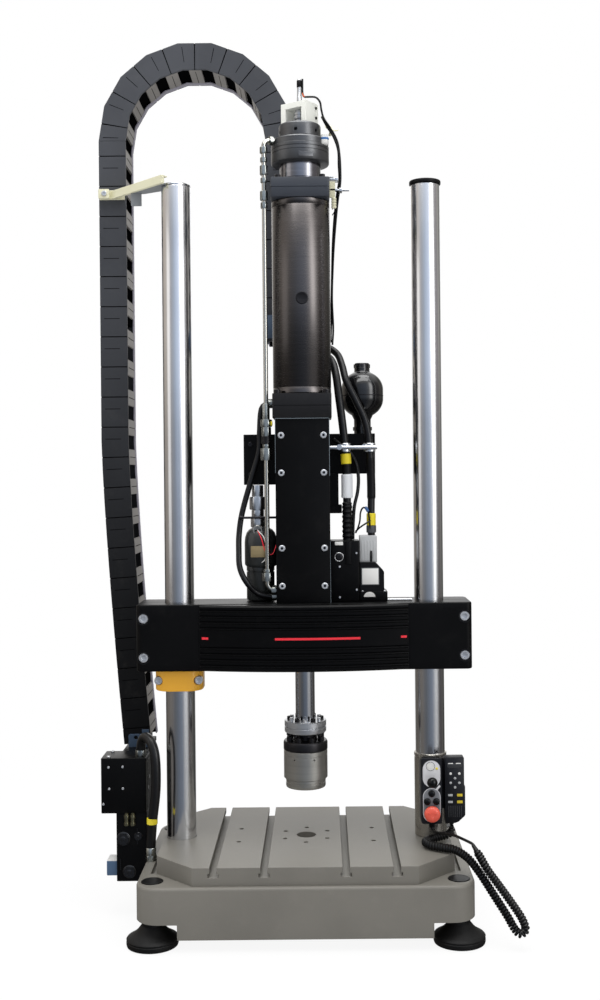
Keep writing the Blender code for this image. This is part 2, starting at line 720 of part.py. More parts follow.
def build_crosshead():
    shape = bmesh.new()
    add_edged_plate(shape, CROSSHEAD_LENGTH, CROSSHEAD_WIDTH, CROSSHEAD_CORNER,
                    CROSSHEAD_BOTTOM, CROSSHEAD_TOP, CROSSHEAD_EDGE, 4)
    crosshead = to_object(shape, "crosshead", "black_paint")

    middle = (CROSSHEAD_BOTTOM + CROSSHEAD_TOP) / 2
    stations = fascia_stations()
    rings = []
    for i in range(FASCIA_STEPS + 1):
        across = -1 + 2 * i / FASCIA_STEPS
        x = across * FASCIA_HALF
        front = CROSSHEAD_FRONT - FASCIA_PROUD - FASCIA_BULGE * (1 - across * across)
        ring = [Vector((x, front + depth, middle + height)) for height, depth in stations]
        ring += [Vector((x, CROSSHEAD_FRONT + 0.020, middle + stations[-1][0])),
                 Vector((x, CROSSHEAD_FRONT + 0.020, middle + stations[0][0]))]
        rings.append(ring)
    fascia = bmesh.new()
    add_loft(fascia, rings)
    fuse(crosshead, fascia)

    holes = bmesh.new()
    low, high = CROSSHEAD_BOTTOM - 0.010, CROSSHEAD_TOP + 0.010
    for side in (-1, 1):
        add_rod(holes, COLUMN_BORE, low, high, FINE, at(side * COLUMN_X, 0))
    add_rod(holes, ROD_OPENING, low, high, ROUND)
    cut(crosshead, holes)
    slits = bmesh.new()
    for side in (-1, 1):
        inner = side * (COLUMN_X + COLUMN_DIAMETER / 2 - 0.004)
        outer = side * (CROSSHEAD_LENGTH / 2 + 0.010)
        add_box(slits, (min(inner, outer), -CLAMP_SLIT / 2, low), (max(inner, outer), CLAMP_SLIT / 2, high))
    cut(crosshead, slits)
    bolts = bmesh.new()
    for side in (-1, 1):
        for rise in (-CLAMP_BOLT_RISE, CLAMP_BOLT_RISE):
            frame = along_y(side * CLAMP_BOLT_X, CROSSHEAD_FRONT, middle + rise)
            counter = CLAMP_HEAD / 2 + 0.0008
            shank = CLAMP_SHANK / 2 + SEAT
            add_turned(bolts, [(counter, -0.010), (counter, COUNTERBORE_DEPTH), (shank, COUNTERBORE_DEPTH),
                               (shank, COUNTERBORE_DEPTH + CLAMP_SHANK_LENGTH + SEAT)], SMALL, frame)
    cut(crosshead, bolts)
    smooth(crosshead)
    place(crosshead, "crosshead_slide")

    for side_name, side in (("left", -1), ("right", 1)):
        for rise_name, rise in (("lower", -CLAMP_BOLT_RISE), ("upper", CLAMP_BOLT_RISE)):
            shape = bmesh.new()
            head, shank = CLAMP_HEAD / 2, CLAMP_SHANK / 2
            foot = COUNTERBORE_DEPTH - SEAT
            add_turned(shape, [(head * 0.48, foot - CLAMP_HEAD_LENGTH + 0.006),
                               (head * 0.50, foot - CLAMP_HEAD_LENGTH), (head - 0.001, foot - CLAMP_HEAD_LENGTH),
                               (head, foot - CLAMP_HEAD_LENGTH + 0.001), (head, foot), (shank, foot),
                               (shank, foot + CLAMP_SHANK_LENGTH)], SMALL, along_y(0, 0, 0))
            bolt = to_object(shape, f"clamp_bolt_{side_name}_{rise_name}", "black_steel")
            place(smooth(bolt), "crosshead_slide", (side * CLAMP_BOLT_X, CROSSHEAD_FRONT, middle + rise))


# Actuator stack

def build_pedestal():
    half, wall = PEDESTAL_WIDTH / 2, PEDESTAL_WALL
    front = -half + PEDESTAL_COVER
    section = [(-half, front), (-half + wall, front), (-half + wall, half - wall), (half - wall, half - wall),
               (half - wall, front), (half, front), (half, half), (-half, half)]
    shape = bmesh.new()
    add_outline(shape, section, 0.0, PEDESTAL_HEIGHT)
    housing = to_object(shape, "pedestal_housing", "black_paint")
    place(housing, "crosshead_slide", (0, 0, PEDESTAL_FOOT))

    shape = bmesh.new()
    cover_frame = along_y(0, 0, 0)
    add_edged_plate(shape, PEDESTAL_WIDTH, PEDESTAL_HEIGHT, 0.002, 0.0, PEDESTAL_COVER, 0.0012, 1,
                    cover_frame @ Matrix.Translation((0, -PEDESTAL_HEIGHT / 2, 0)))
    cover = to_object(shape, "pedestal_cover", "black_paint")
    place(smooth(cover), "crosshead_slide", (0, -half - SEAT, PEDESTAL_FOOT))


def add_flange_pair(shape, height):
    seam = height / 2
    levels = [(0.001, 0.0), (0.0, 0.001), (0.0, seam - FLANGE_SEAM), (0.001, seam), (0.0, seam + FLANGE_SEAM),
              (0.0, height - 0.001), (0.001, height)]
    rings = []
    for inset, z in levels:
        outline = rounded_rectangle(FLANGE_WIDTH, FLANGE_WIDTH, FLANGE_CORNER, 2, inset)
        rings.append([Vector((x, y, z)) for x, y in outline])
    add_loft(shape, rings)


def build_flanges():
    for name, foot, height in (("lower_flange", LOWER_FLANGE_FOOT, LOWER_FLANGE_HEIGHT),
                               ("upper_flange", UPPER_FLANGE_FOOT, UPPER_FLANGE_HEIGHT)):
        shape = bmesh.new()
        add_flange_pair(shape, height)
        flange = to_object(shape, name, "black_steel")
        shape = bmesh.new()
        add_rod(shape, ROD_BORE, -0.010, height + 0.010, FINE)
        cut(flange, shape)
        place(smooth(flange), "crosshead_slide", (0, 0, foot))


def build_cylinder():
    outer, inner = TUBE_DIAMETER / 2, TUBE_BORE / 2
    shape = bmesh.new()
    add_turned(shape, [(inner, 0.0), (outer - 0.001, 0.0), (outer, 0.001), (outer, TUBE_LENGTH - 0.001),
                       (outer - 0.001, TUBE_LENGTH), (inner, TUBE_LENGTH)], FINE, bored=True)
    place(smooth(to_object(shape, "cylinder_tube", "gunmetal")), "crosshead_slide", (0, 0, TUBE_FOOT))

    shape = bmesh.new()
    outer, inner = NECK_DIAMETER / 2, ROD_BORE / 2
    add_turned(shape, [(inner, 0.0), (outer, 0.0), (outer, NECK_HEIGHT - 0.006), (outer - 0.002, NECK_HEIGHT - 0.004),
                       (outer - 0.002, NECK_HEIGHT), (inner, NECK_HEIGHT)], FINE, bored=True)
    place(smooth(to_object(shape, "bearing_neck", "bright_steel")), "crosshead_slide", (0, 0, NECK_FOOT))


def sector(inner, outer, middle, spread, steps):
    # Outline of a ring sector, angles in degrees
    points = []
    for radius, order in ((outer, 1), (inner, -1)):
        for i in range(steps + 1):
            angle = math.radians(middle + order * spread * (i / steps - 0.5))
            points.append((radius * math.cos(angle), radius * math.sin(angle)))
    return points


def build_rotary_actuator():
    outer, chamber, bore = ROTARY_DIAMETER / 2, ROTARY_CHAMBER / 2, ROD_BORE / 2
    shape = bmesh.new()
    seam = ROTARY_HEIGHT * 0.78
    add_turned(shape, [(bore, 0.0), (outer - 0.003, 0.0), (outer, 0.003), (outer, seam - 0.001),
                       (outer - 0.0012, seam), (outer, seam + 0.001), (outer, ROTARY_HEIGHT - 0.001),
                       (outer - 0.001, ROTARY_HEIGHT), (chamber, ROTARY_HEIGHT), (chamber, ROTARY_FLOOR),
                       (bore, ROTARY_FLOOR)], FINE, bored=True)
    housing = to_object(shape, "rotary_housing", "gunmetal")
    stop = bmesh.new()
    add_outline(stop, sector(ROTOR_HUB / 2 + RUNNING, chamber + 0.002, 180, ROTARY_STOP_ANGLE, 5),
                ROTARY_FLOOR - 0.002, ROTARY_HEIGHT - 0.001)
    fuse(housing, stop)
    ear = bmesh.new()
    add_box(ear, (-outer + 0.003, 0.004, ROTARY_HEIGHT - 0.004),
            (-ROTARY_CHAMBER / 2 - 0.0045, 0.026, ROTARY_HEIGHT + 0.024))
    fuse(housing, ear)
    place(smooth(housing), "crosshead_slide", (0, 0, ROTARY_FOOT))

    outer = ROTARY_COVER_DIAMETER / 2
    lip = ROTARY_CHAMBER / 2 + 0.004
    roof = ROTARY_COVER_HEIGHT - ROTARY_COVER_TOP
    inner = ROTOR_HUB / 2 + RUNNING
    shape = bmesh.new()
    add_turned(shape, [(inner, 0.0), (lip, 0.0), (lip, 0.006), (outer, 0.006),
                       (outer, ROTARY_COVER_HEIGHT - 0.0015), (outer - 0.0015, ROTARY_COVER_HEIGHT),
                       (0.006, ROTARY_COVER_HEIGHT), (0.006, roof), (inner, roof)], FINE, bored=True)
    cover = to_object(shape, "rotary_cover", "gunmetal")
    holes = bmesh.new()
    for i in range(6):
        frame = Matrix.Rotation(math.radians(20 + 60 * i), 4, "Z") @ along_x(0, 0, ROTARY_COVER_HEIGHT * 0.62)
        add_rod(holes, TOMMY_HOLE, outer - TOMMY_HOLE_DEPTH, outer + 0.010, TINY, frame)
    cut(cover, holes)
    place(smooth(cover), "crosshead_slide", (0, 0, COVER_FOOT))


def splined_outline(clearance=0.0):
    # A round with equal raised splines; grown by a clearance it cuts the rod's socket
    tip = SPLINE_DIAMETER / 2 + clearance
    root = tip - SPLINE_DEPTH
    points = []
    for i in range(SPLINE_COUNT):
        for radius, share in ((root, 0.0), (root, 0.48), (tip, 0.56), (tip, 0.94)):
            angle = 2 * math.pi * (i + share) / SPLINE_COUNT
            points.append((radius * math.cos(angle), radius * math.sin(angle)))
    return points


def build_rotor():
    # A vane round a hub; the hub is open below for the rod's top and carries the splined shaft inside it
    hub = ROTOR_HUB / 2
    foot = ROTARY_FLOOR + RUNNING
    top = ROTARY_HEIGHT + SEAT + ROTARY_COVER_HEIGHT - ROTARY_COVER_TOP - RUNNING
    vane_top = ROTARY_HEIGHT - RUNNING
    shape = bmesh.new()
    add_turned(shape, [(ROD_BORE / 2, foot), (hub, foot), (hub, top), (0.002, top), (0.002, ROTOR_SOCKET),
                       (ROD_BORE / 2, ROTOR_SOCKET)], ROUND, bored=True)
    rotor = to_object(shape, "vane_rotor", "bright_steel")
    reach = ROTARY_CHAMBER / 2 * FACET_SHARE - RUNNING
    vane = bmesh.new()
    add_outline(vane, sector(hub - 0.003, reach, 0, ROTOR_VANE_ANGLE, 5), foot, vane_top)
    fuse(rotor, vane)
    shaft = bmesh.new()
    add_outline(shaft, splined_outline(), -SPLINE_FOOT_BELOW, top - 0.004)
    fuse(rotor, shaft)
    place(rotor, "rotor_turn", (0, 0, ROTARY_FOOT))


def build_load_train():
    rod, piston = ROD_DIAMETER / 2, TUBE_BORE / 2 * FACET_SHARE - RUNNING
    low = COUPLING_TOP - ROD_END_SEAT
    high = ROTARY_FOOT - ROD_TOP_BELOW
    piston_low = TUBE_FOOT + PISTON_PLACE - PISTON_LENGTH / 2
    piston_high = piston_low + PISTON_LENGTH
    shape = bmesh.new()
    add_turned(shape, [(rod - 0.001, low), (rod, low + 0.001), (rod, piston_low), (piston, piston_low),
                       (piston, piston_high), (rod, piston_high), (rod, high)], ROUND)
    piston_rod = to_object(shape, "piston_rod", "chrome")
    socket = bmesh.new()
    add_outline(socket, splined_outline(RUNNING), high - ROD_SOCKET_DEPTH, high + 0.010)
    cut(piston_rod, socket)
    place(smooth(piston_rod), "rod_slide")

    radius = COUPLING_DIAMETER / 2
    bore = ROD_BORE / 2
    groove_low, groove_high = COUPLING_PLATE, COUPLING_PLATE + COUPLING_GROOVE
    top = 2 * COUPLING_PLATE + COUPLING_GROOVE
    floor = top - ROD_END_SEAT - SEAT
    shape = bmesh.new()
    add_turned(shape, [(radius - 0.004, 0.0), (radius, 0.003), (radius, groove_low), (radius - 0.004, groove_low),
                       (radius - 0.004, groove_high), (radius, groove_high), (radius, top - 0.001),
                       (radius - 0.001, top), (bore, top), (bore, floor)], FINE)
    coupling = to_object(shape, "rod_coupling", "bright_steel")
    place(smooth(coupling), "rod_slide", (0, 0, COUPLING_TOP - top))

    flange, neck = ADAPTER_FLANGE / 2, ADAPTER_NECK / 2
    height = ADAPTER_FLANGE_HEIGHT + ADAPTER_NECK_HEIGHT
    shape = bmesh.new()
    add_turned(shape, [(flange - 0.0005, 0.0), (flange, 0.001), (flange, ADAPTER_FLANGE_HEIGHT - 0.002),
                       (flange - 0.002, ADAPTER_FLANGE_HEIGHT), (neck, ADAPTER_FLANGE_HEIGHT), (neck, height)], FINE)
    adapter = to_object(shape, "load_cell_adapter", "black_steel")
    place(smooth(adapter), "rod_slide", (0, 0, ADAPTER_TOP - height))

    body, step, bore = LOAD_CELL_DIAMETER / 2, LOAD_CELL_STEP / 2, LOAD_CELL_BORE / 2
    height = LOAD_CELL_HEIGHT + LOAD_CELL_STEP_HEIGHT
    shape = bmesh.new()
    add_turned(shape, [(bore, LOAD_CELL_BORE_DEPTH), (bore, 0.0), (step - 0.003, 0.0), (step, 0.003),
                       (step, LOAD_CELL_STEP_HEIGHT - 0.008), (step - 0.0008, LOAD_CELL_STEP_HEIGHT - 0.006),
                       (step, LOAD_CELL_STEP_HEIGHT - 0.004), (step, LOAD_CELL_STEP_HEIGHT),
                       (body - 0.0012, LOAD_CELL_STEP_HEIGHT), (body, LOAD_CELL_STEP_HEIGHT + 0.0012),
                       (body, height)], FINE)
    cell = to_object(shape, "load_cell", "warm_grey_steel")
    place(smooth(cell), "rod_slide", (0, 0, LOAD_CELL_TOP - height))


def build_transducer():
    half_x, half_y, wall = BRACKET_WIDTH / 2, BRACKET_DEPTH / 2, BRACKET_WALL
    arch = [(-half_x, 0.0), (-half_x + wall, 0.0), (-half_x + wall, BRACKET_HEIGHT - wall),
            (half_x - wall, BRACKET_HEIGHT - wall), (half_x - wall, 0.0), (half_x, 0.0),
            (half_x, BRACKET_HEIGHT), (-half_x, BRACKET_HEIGHT)]
    shape = bmesh.new()
    add_loft(shape, [[Vector((x, y, z)) for x, z in arch] for y in (-half_y, half_y)])
    bracket = to_object(shape, "sensor_bracket", "cream_paint")
    hole = bmesh.new()
    add_rod(hole, TRANSDUCER_DIAMETER + 2 * SEAT, BRACKET_HEIGHT - wall - 0.010, BRACKET_HEIGHT + 0.010, SMALL)
    cut(bracket, hole)
    bracket.rotation_euler.z = math.radians(BRACKET_TURN)
    place(bracket, "crosshead_slide", (0, 0, COVER_TOP + SEAT))

    stem, head = TRANSDUCER_DIAMETER / 2, TRANSDUCER_HEAD / 2
    ceiling = BRACKET_HEIGHT - wall - SEAT
    shape = bmesh.new()
    add_turned(shape, [(head, SEAT), (head, 0.006), (head - 0.004, 0.006), (head - 0.004, 0.014), (head, 0.014),
                       (head, 0.026), (head - 0.003, 0.026), (head - 0.003, ceiling), (stem, ceiling),
                       (stem, TRANSDUCER_TOP - 0.002), (stem - 0.002, TRANSDUCER_TOP)], SMALL)
    transducer = to_object(shape, "position_transducer", "bright_steel")
    place(smooth(transducer), "crosshead_slide", (0, 0, COVER_TOP))


# Hydraulics carried by the crosshead

def build_manifold():
    back = PEDESTAL_SIDE
    shape = bmesh.new()
    length = MANIFOLD_RIGHT - MANIFOLD_LEFT
    height = MANIFOLD_HIGH - MANIFOLD_LOW
    frame = along_y((MANIFOLD_LEFT + MANIFOLD_RIGHT) / 2, back, (MANIFOLD_LOW + MANIFOLD_HIGH) / 2)
    add_edged_plate(shape, length, height, 0.004, 0.0, MANIFOLD_DEPTH, 0.0015, 2, frame)
    manifold = to_object(shape, "valve_manifold", "black_paint")
    place(smooth(manifold), "crosshead_slide", (0, 0, CROSSHEAD_TOP))

    radius, neck = ACCUMULATOR_DIAMETER / 2, ACCUMULATOR_NECK / 2
    body = ACCUMULATOR_NECK_HEIGHT
    top = body + ACCUMULATOR_BODY
    shape = bmesh.new()
    add_turned(shape, [(neck, 0.0), (neck, body - 0.004), (neck + 0.008, body), (radius - 0.010, body + 0.004),
                       (radius - 0.002, body + 0.012), (radius, body + 0.020), (radius, top - 0.020),
                       (radius - 0.003, top - 0.010), (radius - 0.012, top - 0.003), (neck + 0.004, top),
                       (neck + 0.001, top + 0.001), (neck + 0.001, top + 0.014), (neck - 0.002, top + 0.016)], ROUND)
    accumulator = to_object(shape, "accumulator", "black_paint")
    place(smooth(accumulator), "crosshead_slide",
          (ACCUMULATOR_X, back + MANIFOLD_DEPTH / 2, CROSSHEAD_TOP + MANIFOLD_HIGH + SEAT))


def build_valves():
    middle = PEDESTAL_SIDE + VALVE_LENGTH / 2
    shape = bmesh.new()
    add_edged_plate(shape, VALVE_LENGTH, VALVE_DEPTH, 0.003, 0.0, VALVE_HEIGHT, 0.0015, 2)
    valve = to_object(shape, "valve_block", "black_paint")
    details = bmesh.new()
    radius = BOOT_DIAMETER / 2
    rings = [(radius, VALVE_HEIGHT - 0.002)]
    for i in range(8):
        height = VALVE_HEIGHT + BOOT_HEIGHT * (i + 0.5) / 8
        rings.append((radius - (0.002 if i % 2 == 0 else 0.0), height))
    rings.append((radius - 0.003, VALVE_HEIGHT + BOOT_HEIGHT))
    add_turned(details, rings, SMALL, at(BOOT_SHIFT, 0))
    port = VALVE_PORT / 2
    add_turned(details, [(port, 0.003), (port, -0.003), (port - 0.002, -0.004), (port * 0.55, -0.004),
                         (port * 0.50, -0.001)], SMALL, along_y(-0.010, -VALVE_DEPTH / 2, VALVE_HEIGHT * 0.74))
    fuse(valve, details)
    place(smooth(valve), "crosshead_slide", (middle, 0, PEDESTAL_FOOT))

    shape = bmesh.new()
    add_edged_plate(shape, SERVO_BASE_LENGTH, SERVO_DEPTH, 0.002, 0.0, SERVO_BASE_HEIGHT, 0.001, 2)
    servo = to_object(shape, "servo_valve", "black_paint")
    cover_shift = (SERVO_COVER_LENGTH - SERVO_BASE_LENGTH) / 2
    cover = bmesh.new()
    add_edged_plate(cover, SERVO_COVER_LENGTH, SERVO_DEPTH - 0.008, 0.006, SERVO_BASE_HEIGHT - 0.002,
                    SERVO_BASE_HEIGHT + SERVO_COVER_HEIGHT, 0.002, 3, at(cover_shift, 0))
    fuse(servo, cover)
    plug = bmesh.new()
    plug_foot = SERVO_BASE_HEIGHT + SERVO_COVER_HEIGHT
    plug_shift = (SERVO_PLUG_LENGTH - SERVO_BASE_LENGTH) / 2
    add_edged_plate(plug, SERVO_PLUG_LENGTH, SERVO_DEPTH - 0.018, 0.003, plug_foot - 0.002,
                    plug_foot + SERVO_PLUG_HEIGHT, 0.002, 2, at(plug_shift, 0))
    fuse(servo, plug)
    place(smooth(servo), "crosshead_slide", (SERVO_SIDE + SERVO_BASE_LENGTH / 2, 0, PEDESTAL_FOOT))


def build_filter():
    shape = bmesh.new()
    add_edged_plate(shape, FILTER_HEAD_LENGTH, FILTER_HEAD_DEPTH, 0.006, FILTER_BOWL_HEIGHT,
                    FILTER_BOWL_HEIGHT + FILTER_HEAD_HEIGHT, 0.002, 3)
    pressure_filter = to_object(shape, "pressure_filter", "warm_grey_steel")
    bowl = FILTER_BOWL / 2
    shift = -(FILTER_HEAD_LENGTH / 2 - bowl)
    details = bmesh.new()
    add_turned(details, [(bowl - 0.004, 0.0), (bowl, 0.005), (bowl, FILTER_BOWL_HEIGHT - 0.014),
                         (bowl - 0.002, FILTER_BOWL_HEIGHT - 0.010), (bowl - 0.002, FILTER_BOWL_HEIGHT + 0.004)],
               ROUND, at(shift, 0))
    top = FILTER_BOWL_HEIGHT + FILTER_HEAD_HEIGHT
    add_turned(details, [(0.012, top - 0.002), (0.012, top + 0.010), (0.008, top + 0.012), (0.008, top + 0.026),
                         (0.013, top + 0.028), (0.013, top + 0.044)], 6, at(0.006, 0.008))
    fuse(pressure_filter, details)
    place(smooth(pressure_filter), "crosshead_slide",
          (-PEDESTAL_SIDE - FILTER_HEAD_LENGTH / 2, 0.012, PEDESTAL_FOOT))


def rounded_route(corners, radius, steps=4):
    # A line through the corners with each bend drawn as an arc
    points = [Vector(p) for p in corners]
    route = [points[0]]
    for before, corner, after in zip(points, points[1:], points[2:]):
        back, ahead = (before - corner).normalized(), (after - corner).normalized()
        bend = math.pi - back.angle(ahead)
        reach = radius * math.tan(bend / 2)
        start, centre = corner + back * reach, corner + (back + ahead).normalized() * radius / math.cos(bend / 2)
        for i in range(steps + 1):
            angle = bend * i / steps
            out = (start - centre).normalized()
            route.append(centre + radius * (math.cos(angle) * out - math.sin(angle) * back))
    route.append(points[-1])
    return route


def add_bent_rod(shape, route, diameter, sides):
    rings = []
    side = Vector((0.6, -0.8, 0.1))
    last = len(route) - 1
    for i, centre in enumerate(route):
        along = (route[min(i + 1, last)] - route[max(i - 1, 0)]).normalized()
        side = (side - side.dot(along) * along).normalized()
        other = along.cross(side)
        ring = []
        for j in range(sides):
            phase = 2 * math.pi * j / sides
            ring.append(centre + diameter / 2 * (math.cos(phase) * side + math.sin(phase) * other))
        rings.append(ring)
    add_loft(shape, rings)


def build_pipes():
    # Pressure pipe from the pedestal's side up to the rotary actuator's
    down_to = CROSSHEAD_TOP + PIPE_FOOT_RISE
    up_to = ROTARY_FOOT + ROTARY_HEIGHT / 2
    outwards = Vector((PIPE_X, PIPE_Y, 0)).normalized()
    meets = outwards * (ROTARY_DIAMETER / 2 + 2 * SEAT)
    corners = [(meets.x, meets.y, up_to), (PIPE_X, PIPE_Y, up_to), (PIPE_X, PIPE_Y, down_to),
               (-PEDESTAL_SIDE, PIPE_Y, down_to)]
    shape = bmesh.new()
    add_bent_rod(shape, rounded_route(corners, PIPE_BEND), PIPE_DIAMETER, 8)
    pipe = to_object(shape, "pressure_pipe", "bright_steel")
    nuts = bmesh.new()
    for z in (up_to - 0.040, up_to - 0.092, LOWER_FLANGE_FOOT + 0.010, LOWER_FLANGE_FOOT - 0.085, down_to + 0.060):
        add_rod(nuts, PIPE_NUT, z, z + PIPE_NUT_HEIGHT, 6, at(PIPE_X, PIPE_Y))
    fuse(pipe, nuts)
    place(smooth(pipe), "crosshead_slide")


def build_hoses():
    # Each route runs between the faces its two ends stop at
    shelf = LOWER_FLANGE_FOOT + LOWER_FLANGE_HEIGHT
    flange_side = -FLANGE_WIDTH / 2 - SEAT
    route = [(flange_side, 0.026, shelf - 0.016), (-0.072, 0.026, shelf - 0.016), (-0.086, 0.025, shelf - 0.028),
             (-0.090, 0.022, 0.990), (-0.0915, 0.020, 0.950), (-0.108, 0.016, 0.892), (-0.127, 0.010, 0.824),
             (-0.1335, 0.004, 0.780), (-0.1335, -0.010, 0.745), (-0.131, -0.022, 0.712), (-0.118, -0.030, 0.684),
             (-0.098, -0.020, 0.660), (-0.074, -0.016, 0.652), (-PEDESTAL_SIDE, -0.016, 0.652)]
    hose = tube_along("return_hose", route, RETURN_HOSE_DIAMETER, "hose_rubber")
    place(hose, "crosshead_slide")

    arm_foot = CROSSHEAD_TOP + CHAIN_GUIDE_PLACE + GUIDE_ARM_LOW - SEAT
    boot_top = PEDESTAL_FOOT + VALVE_HEIGHT + BOOT_HEIGHT + SEAT
    boot_x = PEDESTAL_SIDE + VALVE_LENGTH / 2 + BOOT_SHIFT
    route = [(-0.004, 0.083, arm_foot), (-0.004, 0.083, arm_foot - 0.016), (0.008, 0.082, 1.170),
             (0.036, 0.074, 1.158), (0.060, 0.048, 1.143), (0.070, 0.022, 1.110), (0.076, 0.006, 1.060),
             (0.082, 0.000, 1.010), (0.087, 0.000, 0.960), (boot_x, 0.0, 0.900), (boot_x, 0.0, boot_top)]
    hose = tube_along("hose_front", route, HOSE_DIAMETER, "hose_rubber")
    place(hose, "crosshead_slide")

    plug_top = PEDESTAL_FOOT + SERVO_BASE_HEIGHT + SERVO_COVER_HEIGHT + SERVO_PLUG_HEIGHT + SEAT
    plug_x = SERVO_SIDE + SERVO_PLUG_LENGTH / 2 + PLUG_HOSE_SHIFT
    route = [(0.018, 0.084, arm_foot), (0.018, 0.084, arm_foot - 0.012), (0.030, 0.086, 1.183),
             (0.052, 0.082, 1.174), (0.074, 0.064, 1.156), (0.084, 0.038, 1.128), (0.092, 0.018, 1.094),
             (0.112, 0.010, 1.052), (0.130, 0.008, 1.010), (0.138, 0.006, 0.960), (0.141, 0.004, 0.880),
             (plug_x, 0.0, 0.820), (plug_x, 0.0, plug_top)]
    hose = tube_along("hose_rear", route, HOSE_DIAMETER, "hose_rubber")
    place(hose, "crosshead_slide")


# Energy chain

def chain_drift(z):
    # The standing run leans inwards below the bracket
    share = max(0.0, (CHAIN_DRIFT_FROM - z) / (CHAIN_DRIFT_FROM - CHAIN_RUN_FOOT))
    return CHAIN_DRIFT * share ** 1.3


def run_point(z):
    # Middle of the standing run at a height, and the direction across its thickness
    slope = (chain_drift(z - 0.001) - chain_drift(z + 0.001)) / 0.002
    across = Vector((1, 0, slope)).normalized()
    return Vector((CHAIN_X + chain_drift(z), 0, z)), across


def arc_point(travel):
    # The loop: up round the half circle, then straight down the right leg
    half_turn = math.pi * CHAIN_RADIUS
    if travel <= half_turn:
        angle = travel / CHAIN_RADIUS
        across = Vector((math.cos(angle), 0, -math.sin(angle)))
        centre = Vector((CHAIN_X + CHAIN_RADIUS, 0, CHAIN_ARC_CENTRE)) - CHAIN_RADIUS * across
        return centre, across
    drop = travel - half_turn
    return Vector((CHAIN_RIGHT_X, 0, CHAIN_ARC_CENTRE - drop)), Vector((-1, 0, 0))


def link_marks(count, pitch):
    # Distances along the chain with how far the side plates sink there, and whether cross bars start there
    marks = []
    for i in range(count):
        start = i * pitch
        marks += [(start, 0.0, True), (start + CHAIN_HEAD, 0.0, False),
                  (start + CHAIN_HEAD + CHAIN_SEAM, CHAIN_TAIL_SINK, False)]
    marks.append((count * pitch, 0.0, False))
    return marks


def add_chain(shape, where, marks):
    # Two side plates, each link's tail sunk behind the next one's head, tied by a bar on both faces of every link
    half, bar = CHAIN_THICKNESS / 2, CHAIN_THICKNESS / 2 - CHAIN_BAR
    sides = ((CHAIN_FRONT, CHAIN_FRONT + CHAIN_PLATE, 1), (CHAIN_BACK, CHAIN_BACK - CHAIN_PLATE, -1))
    plates = []
    for outer_y, inner_y, inward in sides:
        rings = []
        for travel, sink, _ in marks:
            centre, across = where(travel)
            section = [(-half, outer_y + inward * sink), (half, outer_y + inward * sink), (half, inner_y),
                       (bar, inner_y), (-bar, inner_y), (-half, inner_y)]
            rings.append([shape.verts.new(centre + reach * across + Vector((0, y, 0))) for reach, y in section])
        plates.append(rings)
        for (travel, sink, barred), lower, upper in zip(marks, rings, rings[1:]):
            for i in range(6):
                if not (barred and i in (2, 4)):
                    j = (i + 1) % 6
                    shape.faces.new((lower[i], lower[j], upper[j], upper[i]))
        shape.faces.new(rings[0])
        shape.faces.new(rings[-1])
    for k, (travel, sink, barred) in enumerate(marks):
        if barred:
            front_low, front_high = plates[0][k], plates[0][k + 1]
            back_low, back_high = plates[1][k], plates[1][k + 1]
            for i in (2, 4):
                around = ((front_low[i], back_low[i]), (front_low[i + 1], back_low[i + 1]),
                          (front_high[i + 1], back_high[i + 1]), (front_high[i], back_high[i]))
                for (a, b), (c, d) in zip(around, around[1:] + around[:1]):
                    shape.faces.new((a, b, d, c))


def build_chain():
    def standing(travel):
        return run_point(CHAIN_RUN_FOOT + travel)

    shape = bmesh.new()
    add_chain(shape, standing, link_marks(CHAIN_FIXED_LINKS, CHAIN_PITCH))
    place(to_object(shape, "chain_run_fixed", "chain_plastic"), "load_axis")

    half_turn = math.pi * CHAIN_RADIUS
    arc_links = round(half_turn / CHAIN_PITCH)
    arc_pitch = half_turn / arc_links
    shape = bmesh.new()
    add_chain(shape, arc_point, link_marks(arc_links + CHAIN_LEG_LINKS, arc_pitch))
    loop = to_object(shape, "chain_loop", "chain_plastic")
    # The leg that stays inside the standing run while the loop rises, with its head let into the first link
    inner = CHAIN_THICKNESS / 2 - CHAIN_BAR - RUNNING
    width = (CHAIN_BACK - CHAIN_FRONT) / 2 - CHAIN_PLATE - RUNNING
    foot = CHAIN_RUN_TOP - CHAIN_HIDDEN_LINKS * CHAIN_PITCH
    neck = CHAIN_ARC_CENTRE - 0.002
    head = CHAIN_ARC_CENTRE + 0.008
    rings = []
    for z, grow in ((foot, 0.0), (neck, 0.0), (neck, CHAIN_BAR * 0.6), (head, CHAIN_BAR * 0.6)):
        rings.append([Vector((CHAIN_X + sx * (inner + grow), CHAIN_MIDDLE_Y + sy * (width + grow), z))
                      for sx, sy in ((-1, -1), (1, -1), (1, 1), (-1, 1))])
    leg = bmesh.new()
    add_loft(leg, rings)
    fuse(loop, leg)
    place(loop, "chain_slide")


